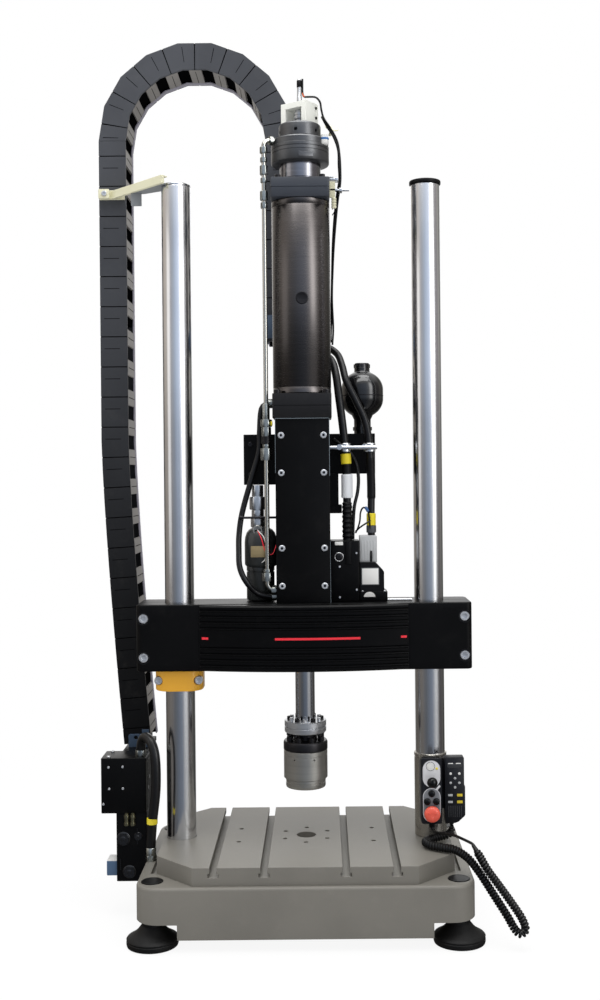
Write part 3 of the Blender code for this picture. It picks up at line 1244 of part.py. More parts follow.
def build_chain_brackets():
    # Stay from the left column's top to the front of the chain
    shape = bmesh.new()
    disc = STAY_DISC / 2
    add_turned(shape, [(disc, 0.0), (disc, 0.005), (disc - 0.001, 0.006)], ROUND)
    stay = to_object(shape, "chain_stay", "cream_paint")
    start = Vector((0.008, -0.020, 0))
    end = Vector((CHAIN_X + 0.004 + COLUMN_X, CHAIN_FRONT - 0.008, 0))
    along = end - start
    angle = math.atan2(along.y, along.x)
    bar = bmesh.new()
    frame = Matrix.Translation(start) @ Matrix.Rotation(angle, 4, "Z")
    add_box(bar, (-0.012, -STAY_THICKNESS / 2, 0.001), (along.length, STAY_THICKNESS / 2, STAY_HEIGHT), frame)
    fuse(stay, bar)
    foot = bmesh.new()
    half = CHAIN_THICKNESS / 2
    shift = CHAIN_X + COLUMN_X
    add_box(foot, (shift - half + 0.002, CHAIN_FRONT - SEAT - 0.006, 0.0),
            (shift + half - 0.002, CHAIN_FRONT - SEAT, STAY_HEIGHT + 0.002))
    fuse(stay, foot)
    place(smooth(stay), "load_axis", (-COLUMN_X, 0, COLUMN_TOP + SEAT))

    # Seat under the chain's fixed end, standing on the side block
    block_back = SIDE_BOX_DEPTH / 2 + SEAT
    centre_x = CHAIN_X + CHAIN_DRIFT
    shape = bmesh.new()
    deck = CHAIN_RUN_FOOT - SEAT - CHAIN_DRIFT * 0.1
    add_box(shape, (centre_x - 0.026, block_back, deck - 0.010), (centre_x + 0.026, CHAIN_BACK - 0.004, deck))
    clamp = to_object(shape, "chain_end_clamp", "blue_grey_paint")
    tongue = bmesh.new()
    add_box(tongue, (centre_x - 0.020, CHAIN_FRONT + CHAIN_PLATE + 0.001, deck - 0.002),
            (centre_x + 0.018, CHAIN_BACK - CHAIN_PLATE - 0.001, deck + 0.022))
    add_box(tongue, (centre_x - 0.026, block_back, deck - 0.045), (centre_x + 0.026, block_back + 0.008, deck - 0.008))
    fuse(clamp, tongue)
    place(clamp, "load_axis")

    # Guide round the chain's moving leg, carried by the actuator
    half_y = (CHAIN_BACK - CHAIN_FRONT) / 2
    gap, wall = CHAIN_GUIDE_GAP, CHAIN_GUIDE_WALL
    shape = bmesh.new()
    outer = rounded_rectangle(CHAIN_THICKNESS + 2 * (gap + wall), 2 * (half_y + gap + wall), 0.004, 2)
    add_outline(shape, outer, 0.0, CHAIN_GUIDE_HEIGHT)
    guide = to_object(shape, "chain_guide", "blue_grey_paint")
    arm = bmesh.new()
    tube_back = TUBE_DIAMETER / 2
    reach = -CHAIN_MIDDLE_Y + tube_back + 0.002
    add_box(arm, (0.004, reach, GUIDE_ARM_LOW), (-CHAIN_RIGHT_X + 0.030, -half_y - gap - wall / 2, GUIDE_ARM_HIGH))
    fuse(guide, arm)
    cuts = bmesh.new()
    half_x = CHAIN_THICKNESS / 2 + gap
    add_box(cuts, (-half_x, -half_y - gap, -0.010), (half_x, half_y + gap, CHAIN_GUIDE_HEIGHT + 0.010))
    add_rod(cuts, TUBE_DIAMETER + 2 * SEAT, -0.020, CHAIN_GUIDE_HEIGHT + 0.020, FINE, at(-CHAIN_RIGHT_X, -CHAIN_MIDDLE_Y))
    cut(guide, cuts)
    place(guide, "crosshead_slide", (CHAIN_RIGHT_X, CHAIN_MIDDLE_Y, CROSSHEAD_TOP + CHAIN_GUIDE_PLACE))


# Hydraulic block and hose on the left of the base

def build_side_block():
    right = -BASE_LENGTH / 2 - SEAT
    shape = bmesh.new()
    add_edged_plate(shape, SIDE_BLOCK_LENGTH, SIDE_BLOCK_DEPTH, 0.003, SIDE_BLOCK_LOW, SIDE_BLOCK_HIGH + 0.004,
                    0.0015, 2, at(right - SIDE_BLOCK_LENGTH / 2, 0))
    block = to_object(shape, "side_manifold", "black_paint")
    box = bmesh.new()
    add_edged_plate(box, SIDE_BOX_LENGTH, SIDE_BOX_DEPTH, 0.003, SIDE_BLOCK_HIGH, SIDE_BOX_HIGH, 0.0015, 2,
                    at(right - SIDE_BOX_LENGTH / 2, 0))
    fuse(block, box)
    plugs = bmesh.new()
    plug = SIDE_PLUG / 2
    for x, z in ((right - 0.048, SIDE_BLOCK_HIGH - 0.052), (right - 0.040, SIDE_BLOCK_LOW + 0.020)):
        add_turned(plugs, [(plug, -0.008), (plug, 0.004)], 6, along_y(x, -SIDE_BLOCK_DEPTH / 2, z))
    add_edged_plate(plugs, 0.024, 0.040, 0.003, 0.082, 0.122, 0.002, 2,
                    at(right - SIDE_BLOCK_LENGTH - 0.0105, 0))
    fuse(block, plugs)
    place(smooth(block), "load_axis")

    top = SIDE_BOX_HIGH + SEAT
    rim = RIM_TOP + SEAT
    start_x = right - 0.014
    end_x = -TABLE_LENGTH / 2 - TROUGH_WIDTH - 0.0105
    route = [(start_x, -0.010, top), (start_x, -0.010, top + 0.020), (start_x + 0.003, -0.015, top + 0.038),
             (start_x + 0.012, -0.028, top + 0.050), (start_x + 0.026, -0.046, top + 0.044),
             (start_x + 0.036, -0.056, top + 0.014), (start_x + 0.037, -0.058, 0.270),
             (end_x + 0.004, -0.054, 0.200), (end_x, -0.050, rim + 0.030), (end_x, -0.050, rim)]
    place(tube_along("side_hose", route, 0.018, "hose_rubber"), "load_axis")


# Operator panel, handset and cords

def build_panel():
    radius = SLEEVE_DIAMETER / 2
    shape = bmesh.new()
    add_turned(shape, [(COLUMN_BORE / 2, 0.0), (radius, 0.0), (radius, SLEEVE_HEIGHT - 0.004),
                       (radius - 0.003, SLEEVE_HEIGHT), (COLUMN_BORE / 2, SLEEVE_HEIGHT)], FINE, bored=True)
    sleeve = to_object(shape, "panel_sleeve", "warm_grey_steel")
    pads = bmesh.new()
    pad_low, pad_high = PANEL_LOW - TABLE_TOP + 0.010, PANEL_LOW - TABLE_TOP + PANEL_HEIGHT - 0.010
    shift = PANEL_X - COLUMN_X
    add_box(pads, (shift - 0.016, PANEL_SEAT_Y, pad_low), (shift + 0.016, -radius + 0.006, pad_high))
    fuse(sleeve, pads)
    hanger = bmesh.new()
    hand = HANDSET_X - COLUMN_X
    seat_y = HANDSET_SEAT_Y + SEAT
    add_box(hanger, (0.0156, seat_y + 0.0005, pad_low + 0.020), (0.030, -0.014, pad_high))
    fuse(sleeve, hanger)
    plate = bmesh.new()
    add_box(plate, (0.018, seat_y, pad_low + 0.010), (hand + 0.014, seat_y + 0.005, pad_high - 0.004))
    fuse(sleeve, plate)
    bore = bmesh.new()
    add_rod(bore, COLUMN_BORE, -0.010, SLEEVE_HEIGHT + 0.010, FINE)
    cut(sleeve, bore)
    place(smooth(sleeve), "load_axis", (COLUMN_X, 0, TABLE_TOP + SEAT))

    shape = bmesh.new()
    middle = PANEL_LOW + PANEL_HEIGHT / 2
    frame = along_y(PANEL_X, PANEL_FRONT, middle)
    add_edged_plate(shape, PANEL_WIDTH, PANEL_HEIGHT, PANEL_CORNER, 0.0, PANEL_DEPTH, 0.002, 3, frame)
    panel = to_object(shape, "panel_housing", "black_plastic")
    pills = bmesh.new()
    for low, high in ((UPPER_PILL_LOW, UPPER_PILL_HIGH), (LOWER_PILL_LOW, LOWER_PILL_HIGH)):
        pill = rounded_rectangle(PILL_WIDTH, high - low, PILL_WIDTH / 2 - 0.0002, 5)
        add_outline(pills, pill, -PILL_PROUD, 0.003, along_y(PANEL_X, PANEL_FRONT, (low + high) / 2))
    fuse(panel, pills)
    holes = bmesh.new()
    places = [(x, z, BUTTON_DIAMETER) for x, z in BUTTON_PLACES.values()]
    places += [(0.0, KNOB_Z, KNOB_NECK), (0.0, STOP_Z, STOP_STEM)]
    for x, z, diameter in places:
        add_rod(holes, diameter + 2 * RUNNING, -0.010, CONTROL_HOLE_DEPTH, SMALL, along_y(PANEL_X + x, PANEL_FRONT, z))
    cut(panel, holes)
    details = bmesh.new()
    add_turned(details, [(0.008, 0.001), (0.008, -0.003), (0.0065, -0.0045), (0.003, -0.005)], SMALL,
               along_y(PANEL_X - 0.003, PANEL_FRONT, 0.316))
    add_rod(details, 0.011, -0.012, 0.004, SMALL, at(PANEL_X + 0.002, PANEL_FRONT + 0.022, PANEL_LOW))
    fuse(panel, details)
    place(smooth(panel), "load_axis")


def build_controls():
    # Each control stands in its own hole; its group sits on the joint's axis at the panel's face
    face = PANEL_FRONT
    add_group("knob_turn", (PANEL_X, face, KNOB_Z), "load_axis")
    ball, neck = KNOB_BALL / 2, KNOB_NECK / 2
    profile = [(neck, CONTROL_HOLE_DEPTH - 0.003), (neck, -KNOB_REACH + 0.003)]
    middle = -KNOB_REACH - ball * 0.80
    for i in range(8):
        angle = math.radians(-48 + 130 * i / 7)
        profile.append((ball * math.cos(angle), middle - ball * math.sin(angle)))
    shape = bmesh.new()
    add_turned(shape, profile, ROUND, along_y(0, 0, 0))
    knob = to_object(shape, "mode_knob", "black_plastic")
    ridge = bmesh.new()
    add_box(ridge, (-0.0011, middle - ball - 0.0010, -0.002), (0.0011, middle - ball * 0.5, ball * 0.80))
    fuse(knob, ridge)
    place(smooth(knob), "knob_turn", (PANEL_X, face, KNOB_Z))

    radius = BUTTON_DIAMETER / 2
    for name, (x, z) in BUTTON_PLACES.items():
        group = name.replace("button", "press")
        add_group(group, (PANEL_X + x, face, z), "load_axis")
        shape = bmesh.new()
        add_turned(shape, [(radius, CONTROL_HOLE_DEPTH - BUTTON_TRAVEL - 0.001), (radius, -BUTTON_PROUD + 0.002),
                           (radius - 0.0009, -BUTTON_PROUD + 0.0006), (radius * 0.62, -BUTTON_PROUD - 0.0002),
                           (radius * 0.25, -BUTTON_PROUD - 0.0005)], SMALL, along_y(0, 0, 0))
        button = to_object(shape, name, "black_plastic")
        place(smooth(button), group, (PANEL_X + x, face, z))

    add_group("stop_press", (PANEL_X, face, STOP_Z), "load_axis")
    add_group("stop_twist", (PANEL_X, face, STOP_Z), "stop_press")
    stem = STOP_STEM / 2
    shape = bmesh.new()
    add_turned(shape, [(stem, CONTROL_HOLE_DEPTH - 0.0055), (stem, -STOP_STANDOFF + SEAT),
                       (stem - 0.004, -STOP_STANDOFF + SEAT), (stem - 0.004, -STOP_STANDOFF - 0.005)], SMALL,
               along_y(0, 0, 0))
    plunger = to_object(shape, "stop_plunger", "black_plastic")
    place(smooth(plunger), "stop_press", (PANEL_X, face, STOP_Z))
    head = STOP_DIAMETER / 2
    back, front = -STOP_STANDOFF, -STOP_STANDOFF - STOP_HEIGHT
    bore = stem - 0.004 + RUNNING
    shape = bmesh.new()
    add_turned(shape, [(bore, back - 0.0055), (bore, back), (head - 0.002, back), (head, back - 0.002),
                       (head, back - 0.006), (head - 0.002, front + 0.002), (head - 0.006, front + 0.0006),
                       (head * 0.3, front)], ROUND, along_y(0, 0, 0))
    cap = to_object(shape, "emergency_stop", "red_plastic")
    ribs = bmesh.new()
    for i in range(3):
        turn = Matrix.Rotation(math.radians(120 * i), 4, "Y")
        add_box(ribs, (-0.0014, front - 0.0008, 0.005), (0.0014, front + 0.003, head - 0.005), turn)
    fuse(cap, ribs)
    place(smooth(cap), "stop_twist", (PANEL_X, face, STOP_Z))


def build_handset():
    half, length = HANDSET_WIDTH / 2, HANDSET_LENGTH
    corner = 0.003
    front = [(-half, -length + corner), (-half + corner, -length), (half * 0.15, -length + 0.002),
             (half - 0.002, -length + HANDSET_SLANT), (half + 0.001, -length + HANDSET_SLANT + 0.004),
             (half + 0.001, -length * 0.44), (half - 0.0005, -length * 0.43), (half - 0.0005, -corner),
             (half - corner, 0.0), (-half + corner, 0.0), (-half, -corner)]
    middle = Vector((0.0, -length / 2))
    edge = 0.0025
    back, face = HANDSET_SEAT_Y, HANDSET_SEAT_Y - HANDSET_THICKNESS
    rings = []
    for y, shrink in ((back, edge), (back - edge, 0.0), (face + edge, 0.0), (face, edge)):
        ring = []
        for x, z in front:
            px = x - math.copysign(min(shrink, abs(x)), x)
            pz = z - math.copysign(shrink, z - middle.y)
            ring.append(Vector((px, y, pz)))
        rings.append(ring)
    shape = bmesh.new()
    add_loft(shape, rings)
    handset = to_object(shape, "handset", "black_plastic")
    gland = bmesh.new()
    add_turned(gland, [(HANDSET_GLAND / 2 - 0.0015, -length - HANDSET_GLAND_LENGTH + 0.004),
                       (HANDSET_GLAND / 2, -length + 0.012)], TINY, at(-0.006, (back + face) / 2))
    fuse(handset, gland)
    place(smooth(handset), "load_axis", (HANDSET_X, 0, HANDSET_TOP))


def build_cords():
    gland_foot = HANDSET_TOP - HANDSET_LENGTH - HANDSET_GLAND_LENGTH + 0.004 - SEAT
    gland_y = HANDSET_SEAT_Y - HANDSET_THICKNESS / 2
    curl = [(HANDSET_X - 0.006, gland_y, gland_foot), (0.2938, gland_y - 0.001, 0.180),
            (0.286, -0.060, 0.1725), (0.268, -0.064, 0.1690), (0.248, -0.074, 0.1675), (0.238, -0.092, 0.1672),
            (0.247, -0.110, 0.1670), (0.268, -0.124, 0.1668), (0.292, -0.140, 0.1665), (0.315, -0.161, 0.156),
            (0.334, -0.182, 0.135), (0.352, -0.200, 0.104), (0.377, -0.214, 0.064), (0.391, -0.219, 0.041),
            (0.405, -0.221, 0.0305), (0.418, -0.219, 0.039), (0.415, -0.215, 0.058), (0.403, -0.208, 0.080),
            (0.384, -0.202, 0.109), (0.358, -0.198, 0.143), (0.340, -0.184, 0.166), (0.326, -0.172, 0.180)]
    place(tube_along("curly_cord", curl, CURL_DIAMETER, "hose_rubber", 3, 1.2), "load_axis")
    lead_foot = PANEL_LOW - 0.012 - SEAT
    start = Vector(curl[-1])
    heading = (Vector(curl[-1]) - Vector(curl[-2])).normalized()
    first = start + heading * 0.0012
    lead = [tuple(first), tuple(first + heading * 0.008), (0.306, -0.148, 0.190), (0.290, -0.122, 0.190),
            (0.270, -0.096, 0.186), (0.258, -0.078, 0.183), (PANEL_X + 0.002, PANEL_FRONT + 0.019, 0.1835),
            (PANEL_X + 0.002, PANEL_FRONT + 0.022, lead_foot - 0.0015), (PANEL_X + 0.002, PANEL_FRONT + 0.022, lead_foot)]
    place(tube_along("handset_lead", lead, LEAD_DIAMETER, "hose_rubber"), "load_axis")


build_base()
build_feet()
build_columns()
build_stop_collar()
build_crosshead()
build_pedestal()
build_flanges()
build_cylinder()
build_rotary_actuator()
build_rotor()
build_load_train()
build_transducer()
build_manifold()
build_valves()
build_filter()
build_pipes()
build_hoses()
build_chain()
build_chain_brackets()
build_side_block()
build_panel()
build_controls()
build_handset()
build_cords()
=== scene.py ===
import json
import math

import bmesh
import bpy
import numpy as np
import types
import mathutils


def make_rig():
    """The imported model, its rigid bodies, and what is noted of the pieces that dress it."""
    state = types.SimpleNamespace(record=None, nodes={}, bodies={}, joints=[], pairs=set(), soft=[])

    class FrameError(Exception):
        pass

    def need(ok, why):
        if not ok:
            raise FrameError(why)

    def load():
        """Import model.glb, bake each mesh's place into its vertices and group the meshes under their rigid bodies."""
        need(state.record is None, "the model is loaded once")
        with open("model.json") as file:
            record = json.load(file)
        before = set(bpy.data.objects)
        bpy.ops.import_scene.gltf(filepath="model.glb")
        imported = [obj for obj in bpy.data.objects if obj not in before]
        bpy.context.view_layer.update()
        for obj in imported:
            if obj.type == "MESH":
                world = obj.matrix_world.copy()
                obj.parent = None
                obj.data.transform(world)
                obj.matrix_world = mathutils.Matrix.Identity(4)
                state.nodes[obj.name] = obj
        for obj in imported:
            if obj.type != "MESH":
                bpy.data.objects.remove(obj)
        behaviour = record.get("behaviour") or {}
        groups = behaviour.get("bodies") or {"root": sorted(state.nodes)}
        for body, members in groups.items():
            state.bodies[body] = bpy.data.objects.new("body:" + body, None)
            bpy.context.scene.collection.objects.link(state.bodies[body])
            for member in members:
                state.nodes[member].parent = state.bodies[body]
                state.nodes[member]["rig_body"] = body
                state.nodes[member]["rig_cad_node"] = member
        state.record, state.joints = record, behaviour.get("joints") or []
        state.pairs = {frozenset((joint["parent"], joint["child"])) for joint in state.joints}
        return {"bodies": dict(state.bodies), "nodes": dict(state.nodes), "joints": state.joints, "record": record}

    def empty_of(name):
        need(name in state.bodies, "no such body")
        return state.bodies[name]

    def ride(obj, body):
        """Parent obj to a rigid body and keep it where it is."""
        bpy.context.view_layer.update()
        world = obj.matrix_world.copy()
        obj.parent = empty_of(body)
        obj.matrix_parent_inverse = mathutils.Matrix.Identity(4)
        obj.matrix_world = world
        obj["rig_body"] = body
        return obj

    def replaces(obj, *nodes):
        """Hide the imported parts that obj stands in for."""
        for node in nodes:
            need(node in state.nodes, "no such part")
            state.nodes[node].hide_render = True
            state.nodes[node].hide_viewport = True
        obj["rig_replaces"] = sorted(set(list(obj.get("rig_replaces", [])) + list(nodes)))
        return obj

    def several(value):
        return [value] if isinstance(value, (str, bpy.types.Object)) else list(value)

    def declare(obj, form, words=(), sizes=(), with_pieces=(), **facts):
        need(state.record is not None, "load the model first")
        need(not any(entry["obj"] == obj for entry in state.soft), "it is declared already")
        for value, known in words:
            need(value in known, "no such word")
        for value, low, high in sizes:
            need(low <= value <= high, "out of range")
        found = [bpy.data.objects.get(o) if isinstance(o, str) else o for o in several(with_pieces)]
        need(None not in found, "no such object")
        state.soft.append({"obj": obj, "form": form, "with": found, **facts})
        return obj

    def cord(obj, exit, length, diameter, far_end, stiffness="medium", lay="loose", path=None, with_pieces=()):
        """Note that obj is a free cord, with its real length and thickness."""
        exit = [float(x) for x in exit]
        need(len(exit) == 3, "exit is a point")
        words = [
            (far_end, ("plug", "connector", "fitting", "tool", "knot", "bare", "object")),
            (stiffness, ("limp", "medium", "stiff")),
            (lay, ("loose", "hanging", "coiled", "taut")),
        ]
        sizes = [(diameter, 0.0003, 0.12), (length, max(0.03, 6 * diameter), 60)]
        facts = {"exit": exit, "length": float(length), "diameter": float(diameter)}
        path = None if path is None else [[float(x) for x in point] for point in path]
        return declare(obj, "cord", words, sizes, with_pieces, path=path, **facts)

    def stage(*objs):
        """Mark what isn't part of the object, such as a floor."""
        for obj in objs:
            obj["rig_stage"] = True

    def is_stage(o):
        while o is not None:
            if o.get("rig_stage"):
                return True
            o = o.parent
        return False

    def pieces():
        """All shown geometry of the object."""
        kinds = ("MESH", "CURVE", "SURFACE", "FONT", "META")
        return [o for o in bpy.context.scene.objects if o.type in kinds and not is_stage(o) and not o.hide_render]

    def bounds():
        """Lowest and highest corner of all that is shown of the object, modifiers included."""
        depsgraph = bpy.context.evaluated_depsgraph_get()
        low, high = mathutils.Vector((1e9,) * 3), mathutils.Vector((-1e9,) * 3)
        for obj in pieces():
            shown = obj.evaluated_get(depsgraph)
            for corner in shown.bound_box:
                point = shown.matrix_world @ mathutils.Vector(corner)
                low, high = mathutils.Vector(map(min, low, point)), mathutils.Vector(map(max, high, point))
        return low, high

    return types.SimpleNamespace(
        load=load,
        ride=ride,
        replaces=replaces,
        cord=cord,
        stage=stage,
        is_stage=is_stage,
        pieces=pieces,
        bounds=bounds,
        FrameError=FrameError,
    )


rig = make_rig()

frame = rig.load()
cadBox = [list(corner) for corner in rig.bounds()]
print("frame loaded")

# The machine's shapes are in millimetres from the load axis at floor level; this is the axis in the scene, in metres
loadAxisX = 0.0455


# Places and directions

def move(x=0.0, y=0.0, z=0.0):
    # a shift as a 4 x 4 matrix
    m = np.eye(4)
    m[:3, 3] = x, y, z
    return m


def turn(axis, degrees):
    # rotation matrix about one of the three axes
    m = np.eye(4)
    a = math.radians(degrees)
    i, j = {"x": (1, 2), "y": (2, 0), "z": (0, 1)}[axis]
    m[i, i] = m[j, j] = math.cos(a)
    m[i, j], m[j, i] = -math.sin(a), math.sin(a)
    return m


def front(x, y, z):
    # a place whose local z comes towards the camera
    return move(x, y, z) @ turn("x", 90)


def toLeft(x, y, z):
    # the same with local z to the left
    return move(x, y, z) @ turn("y", -90)


def toRight(x, y, z):
    # the same with local z to the right
    return move(x, y, z) @ turn("y", 90)


def below(x, y, z):
    # the same with local z downwards
    return move(x, y, z) @ turn("x", 180)


# Grids of points

def latheGrid(profile, sides=64):
    # every (radius, height) of the profile carried round a full circle
    p = np.asarray(profile, float)
    a = np.linspace(0, 2 * np.pi, sides, endpoint=False)
    return np.stack([p[:, :1] * np.cos(a), p[:, :1] * np.sin(a), np.repeat(p[:, 1:], sides, 1)], -1)


def roundedOutline(length, width, corner, steps=6):
    # four quarter circles joined by straight sides, anticlockwise
    q = np.repeat(np.arange(4), steps + 1)
    a = np.tile(np.linspace(0, np.pi / 2, steps + 1), 4) + q * np.pi / 2
    sx, sy = np.array([1, -1, -1, 1])[q], np.array([1, 1, -1, -1])[q]
    return np.stack([sx * (length / 2 - corner) + corner * np.cos(a), sy * (width / 2 - corner) + corner * np.sin(a)],
        -1)


def stacked(rings):
    # outlines, each one laid flat at its own height
    return np.array([np.column_stack([outline, np.full(len(outline), z)]) for outline, z in rings])


def carriedBack(outline, depths):
    # an outline seen from the front, carried straight back through the depths
    o = np.asarray(outline, float)
    return np.array([np.column_stack([o[:, 0], np.full(len(o), y), o[:, 1]]) for y in depths])


def polarGrid(rings, a):
    # rings of (radius, height) round the angles a; a radius may change on its way round
    return np.stack([np.column_stack([r * np.cos(a), r * np.sin(a), np.full(len(a), z)]) for r, z in rings])


def blockGrid(length, width, low, high, corner, edge, steps, edgeSteps):
    # a rounded rectangle carried up, drawn in along a quarter circle at both rims
    a = np.linspace(0, np.pi / 2, edgeSteps + 1)
    inset = np.concatenate([edge * (1 - np.sin(a)), edge * (1 - np.cos(a))])
    height = np.concatenate([low + edge * (1 - np.cos(a)), high - edge * (1 - np.sin(a))])
    return stacked([(roundedOutline(length - 2 * i, width - 2 * i, max(corner - i, 0.2), steps), z)
        for i, z in zip(inset, height)])


def prismGrid(outline, low, high, edge):
    # an outline carried straight up; the rims are drawn towards its middle by the edge
    o = np.asarray(outline, float)
    middle = o.mean(0)
    away = o - middle
    inner = middle + away * (1 - edge / np.maximum(np.linalg.norm(away, axis=1, keepdims=True), 1e-6))
    return stacked([(inner, low), (o, low + edge), (o, high - edge), (inner, high)] if edge else [(o, low), (o, high)])


def smoothPath(points, count):
    # a Catmull-Rom curve through the points, read at equal distances
    p = np.asarray(points, float)
    p = np.vstack([2 * p[0] - p[1], p, 2 * p[-1] - p[-2]])
    t = np.linspace(0, 1, 24, endpoint=False)[:, None, None]
    a, b, c, d = p[:-3], p[1:-2], p[2:-1], p[3:]
    curve = 0.5 * (2 * b + (c - a) * t + (2 * a - 5 * b + 4 * c - d) * t ** 2 + (3 * b - a - 3 * c + d) * t ** 3)
    curve = np.vstack([curve.transpose(1, 0, 2).reshape(-1, 3), p[-2]])
    walked = np.concatenate([[0], np.cumsum(np.linalg.norm(np.diff(curve, axis=0), axis=1))])
    even = np.linspace(0, walked[-1], count)
    return np.stack([np.interp(even, walked, curve[:, k]) for k in range(3)], -1)


def pathFrames(path):
    # tangent of the path and two directions square to it, from one leaning direction
    t = np.gradient(path, axis=0)
    t /= np.linalg.norm(t, axis=1, keepdims=True)
    s = np.cross(t, (0.31, -0.87, 0.38))
    s /= np.linalg.norm(s, axis=1, keepdims=True)
    return t, s, np.cross(t, s)


def tubeGrid(path, radius, sides=16):
    # a circle carried along the path; the radius may change from point to point
    t, s, u = pathFrames(path)
    a = np.linspace(0, 2 * np.pi, sides, endpoint=False)
    r = np.broadcast_to(np.asarray(radius, float), (len(path),))[:, None, None]
    return path[:, None] + r * (np.cos(a)[:, None] * s[:, None] + np.sin(a)[:, None] * u[:, None])


def hoseGrid(points, diameter, spacing=6, sides=16):
    # a tube along the smoothed points with a ring at about every spacing
    length = np.linalg.norm(np.diff(np.asarray(points), axis=0), axis=1).sum()
    return tubeGrid(smoothPath(points, max(8, int(length / spacing))), diameter / 2, sides)


class Form:
    # grids gathered into one mesh, each with its own mark, which picks the material
    def __init__(self):
        self.points, self.faces, self.marks, self.count = [], [], [], 0

    def add(self, grid, mark=0, place=None, copies=None, ring=False):
        # rows are joined one to the next and each row to its start; the first and last are closed, or joined as a ring
        rows, cols = grid.shape[:2]
        flat = grid.reshape(-1, 3)
        if place is not None:
            flat = flat @ place[:3, :3].T + place[:3, 3]
        r, c = np.meshgrid(np.arange(rows if ring else rows - 1), np.arange(cols), indexing="ij")
        r2, c2 = (r + 1) % rows, (c + 1) % cols
        quads = np.stack([r * cols + c, r * cols + c2, r2 * cols + c2, r2 * cols + c], -1).reshape(-1, 4)
        for offset in (np.zeros((1, 3)) if copies is None else np.asarray(copies, float)):
            moved = flat + offset if offset.shape == (3,) else flat @ offset[:3, :3].T + offset[:3, 3]
            self.points.append(moved)
            self.faces += (quads + self.count).tolist()
            if not ring:
                self.faces.append((np.arange(cols)[::-1] + self.count).tolist())
                self.faces.append((np.arange(cols) + (rows - 1) * cols + self.count).tolist())
            self.marks += [mark] * (len(self.faces) - len(self.marks))
            self.count += rows * cols
        return self

    # shapes laid straight into the form
    def lathe(self, *shape, **where):
        return self.add(latheGrid(*shape), **where)

    def block(self, *shape, **where):
        return self.add(blockGrid(*shape), **where)

    def hexagon(self, *shape, **where):
        return self.add(hexProfile(*shape), **where)

    def screw(self, *shape, **where):
        return self.add(screwGrid(*shape), **where)

    def hose(self, *shape, **where):
        return self.add(hoseGrid(*shape), **where)

    def boxes(self, corners, mark=0):
        # corners is (n, 8, 3): the four corners of one end, then the four of the other, in the same order
        c = np.asarray(corners, float)
        six = np.array([(0, 3, 2, 1), (4, 5, 6, 7), (0, 1, 5, 4), (1, 2, 6, 5), (2, 3, 7, 6), (3, 0, 4, 7)])
        quads = (np.arange(len(c))[:, None, None] * 8 + six + self.count).reshape(-1, 4)
        self.points.append(c.reshape(-1, 3))
        self.faces += quads.tolist()
        self.marks += [mark] * len(quads)
        self.count += len(c) * 8
        return self


def makePiece(name, form, materials, body, *nodes, sharp=38):
    # the gathered grids as one object, its normals outwards, moved from the load axis to its place
    mesh = bpy.data.meshes.new(name)
    points = np.vstack(form.points) / 1000 + (loadAxisX, 0, 0)
    mesh.from_pydata(points.tolist(), [], form.faces)
    mesh.polygons.foreach_set("material_index", np.array(form.marks, np.int32))
    worked = bmesh.new()
    worked.from_mesh(mesh)
    bmesh.ops.remove_doubles(worked, verts=worked.verts, dist=1e-6)
    bmesh.ops.recalc_face_normals(worked, faces=worked.faces)
    worked.to_mesh(mesh)
    worked.free()
    mesh.shade_smooth()
    mesh.set_sharp_from_angle(angle=math.radians(sharp))
    piece = bpy.data.objects.new(name, mesh)
    bpy.context.scene.collection.objects.link(piece)
    for material in materials if isinstance(materials, list) else [materials]:
        mesh.materials.append(material)
    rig.ride(piece, body)
    if nodes:
        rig.replaces(piece, *nodes)
    return piece


# Shader maths

class Wire:
    # one socket of a material's tree; arithmetic on it adds Math nodes
    def __init__(self, tree, socket=None):
        self.tree, self.socket = tree, socket

    def node(self, kind, settings=None, values=None, output=0):
        # a new node with its settings and inputs; a Wire among the inputs becomes a link
        made = self.tree.nodes.new("ShaderNode" + kind)
        for key, value in (settings or {}).items():
            if key == "stops":
                ramp = made.color_ramp.elements
                while len(ramp) < len(value):
                    ramp.new(0.5)
                for element, (place, colour) in zip(ramp, value):
                    element.position, element.color = place, (*colour, 1.0)
            else:
                setattr(made, key, value)
        for key, value in (values or {}).items():
            if isinstance(value, Wire):
                self.tree.links.new(value.socket, made.inputs[key])
            else:
                made.inputs[key].default_value = value
        return Wire(self.tree, made.outputs[output])

    def sum(self, operation, first, second, third=None):
        # one Math node of two or three values
        values = {0: first, 1: second} if third is None else {0: first, 1: second, 2: third}
        return self.node("Math", {"operation": operation}, values)

    def __add__(self, other): return self.sum("ADD", self, other)
    def __radd__(self, other): return self.sum("ADD", other, self)
    def __sub__(self, other): return self.sum("SUBTRACT", self, other)
    def __rsub__(self, other): return self.sum("SUBTRACT", other, self)
    def __mul__(self, other): return self.sum("MULTIPLY", self, other)
    def __rmul__(self, other): return self.sum("MULTIPLY", other, self)
    def __truediv__(self, other): return self.sum("DIVIDE", self, other)
    def __pow__(self, other): return self.sum("POWER", self, other)

    def between(self, low, high):
        # 0 below low, 1 above high, smooth between them
        return self.node("MapRange", {"interpolation_type": "SMOOTHSTEP"},
            {"Value": self, "From Min": low, "From Max": high})

    def mix(self, low, high):
        # a colour from low to high by this value
        return self.node("Mix", {"data_type": "RGBA"}, {0: self, 6: low, 7: high}, 2)


def colour(red, green, blue):
    # linear colour of a display value from 0 to 255
    return tuple(((v / 255 + 0.055) / 1.055) ** 2.4 if v > 10 else v / 255 / 12.92 for v in (red, green, blue)) + (1.0,)


def newMaterial(name):
    # a material with its shader and the tree that its nodes go into
    material = bpy.data.materials.new(name)
    material.use_nodes = True
    shader = material.node_tree.nodes["Principled BSDF"]
    kit = Wire(material.node_tree)
    return material, shader, kit


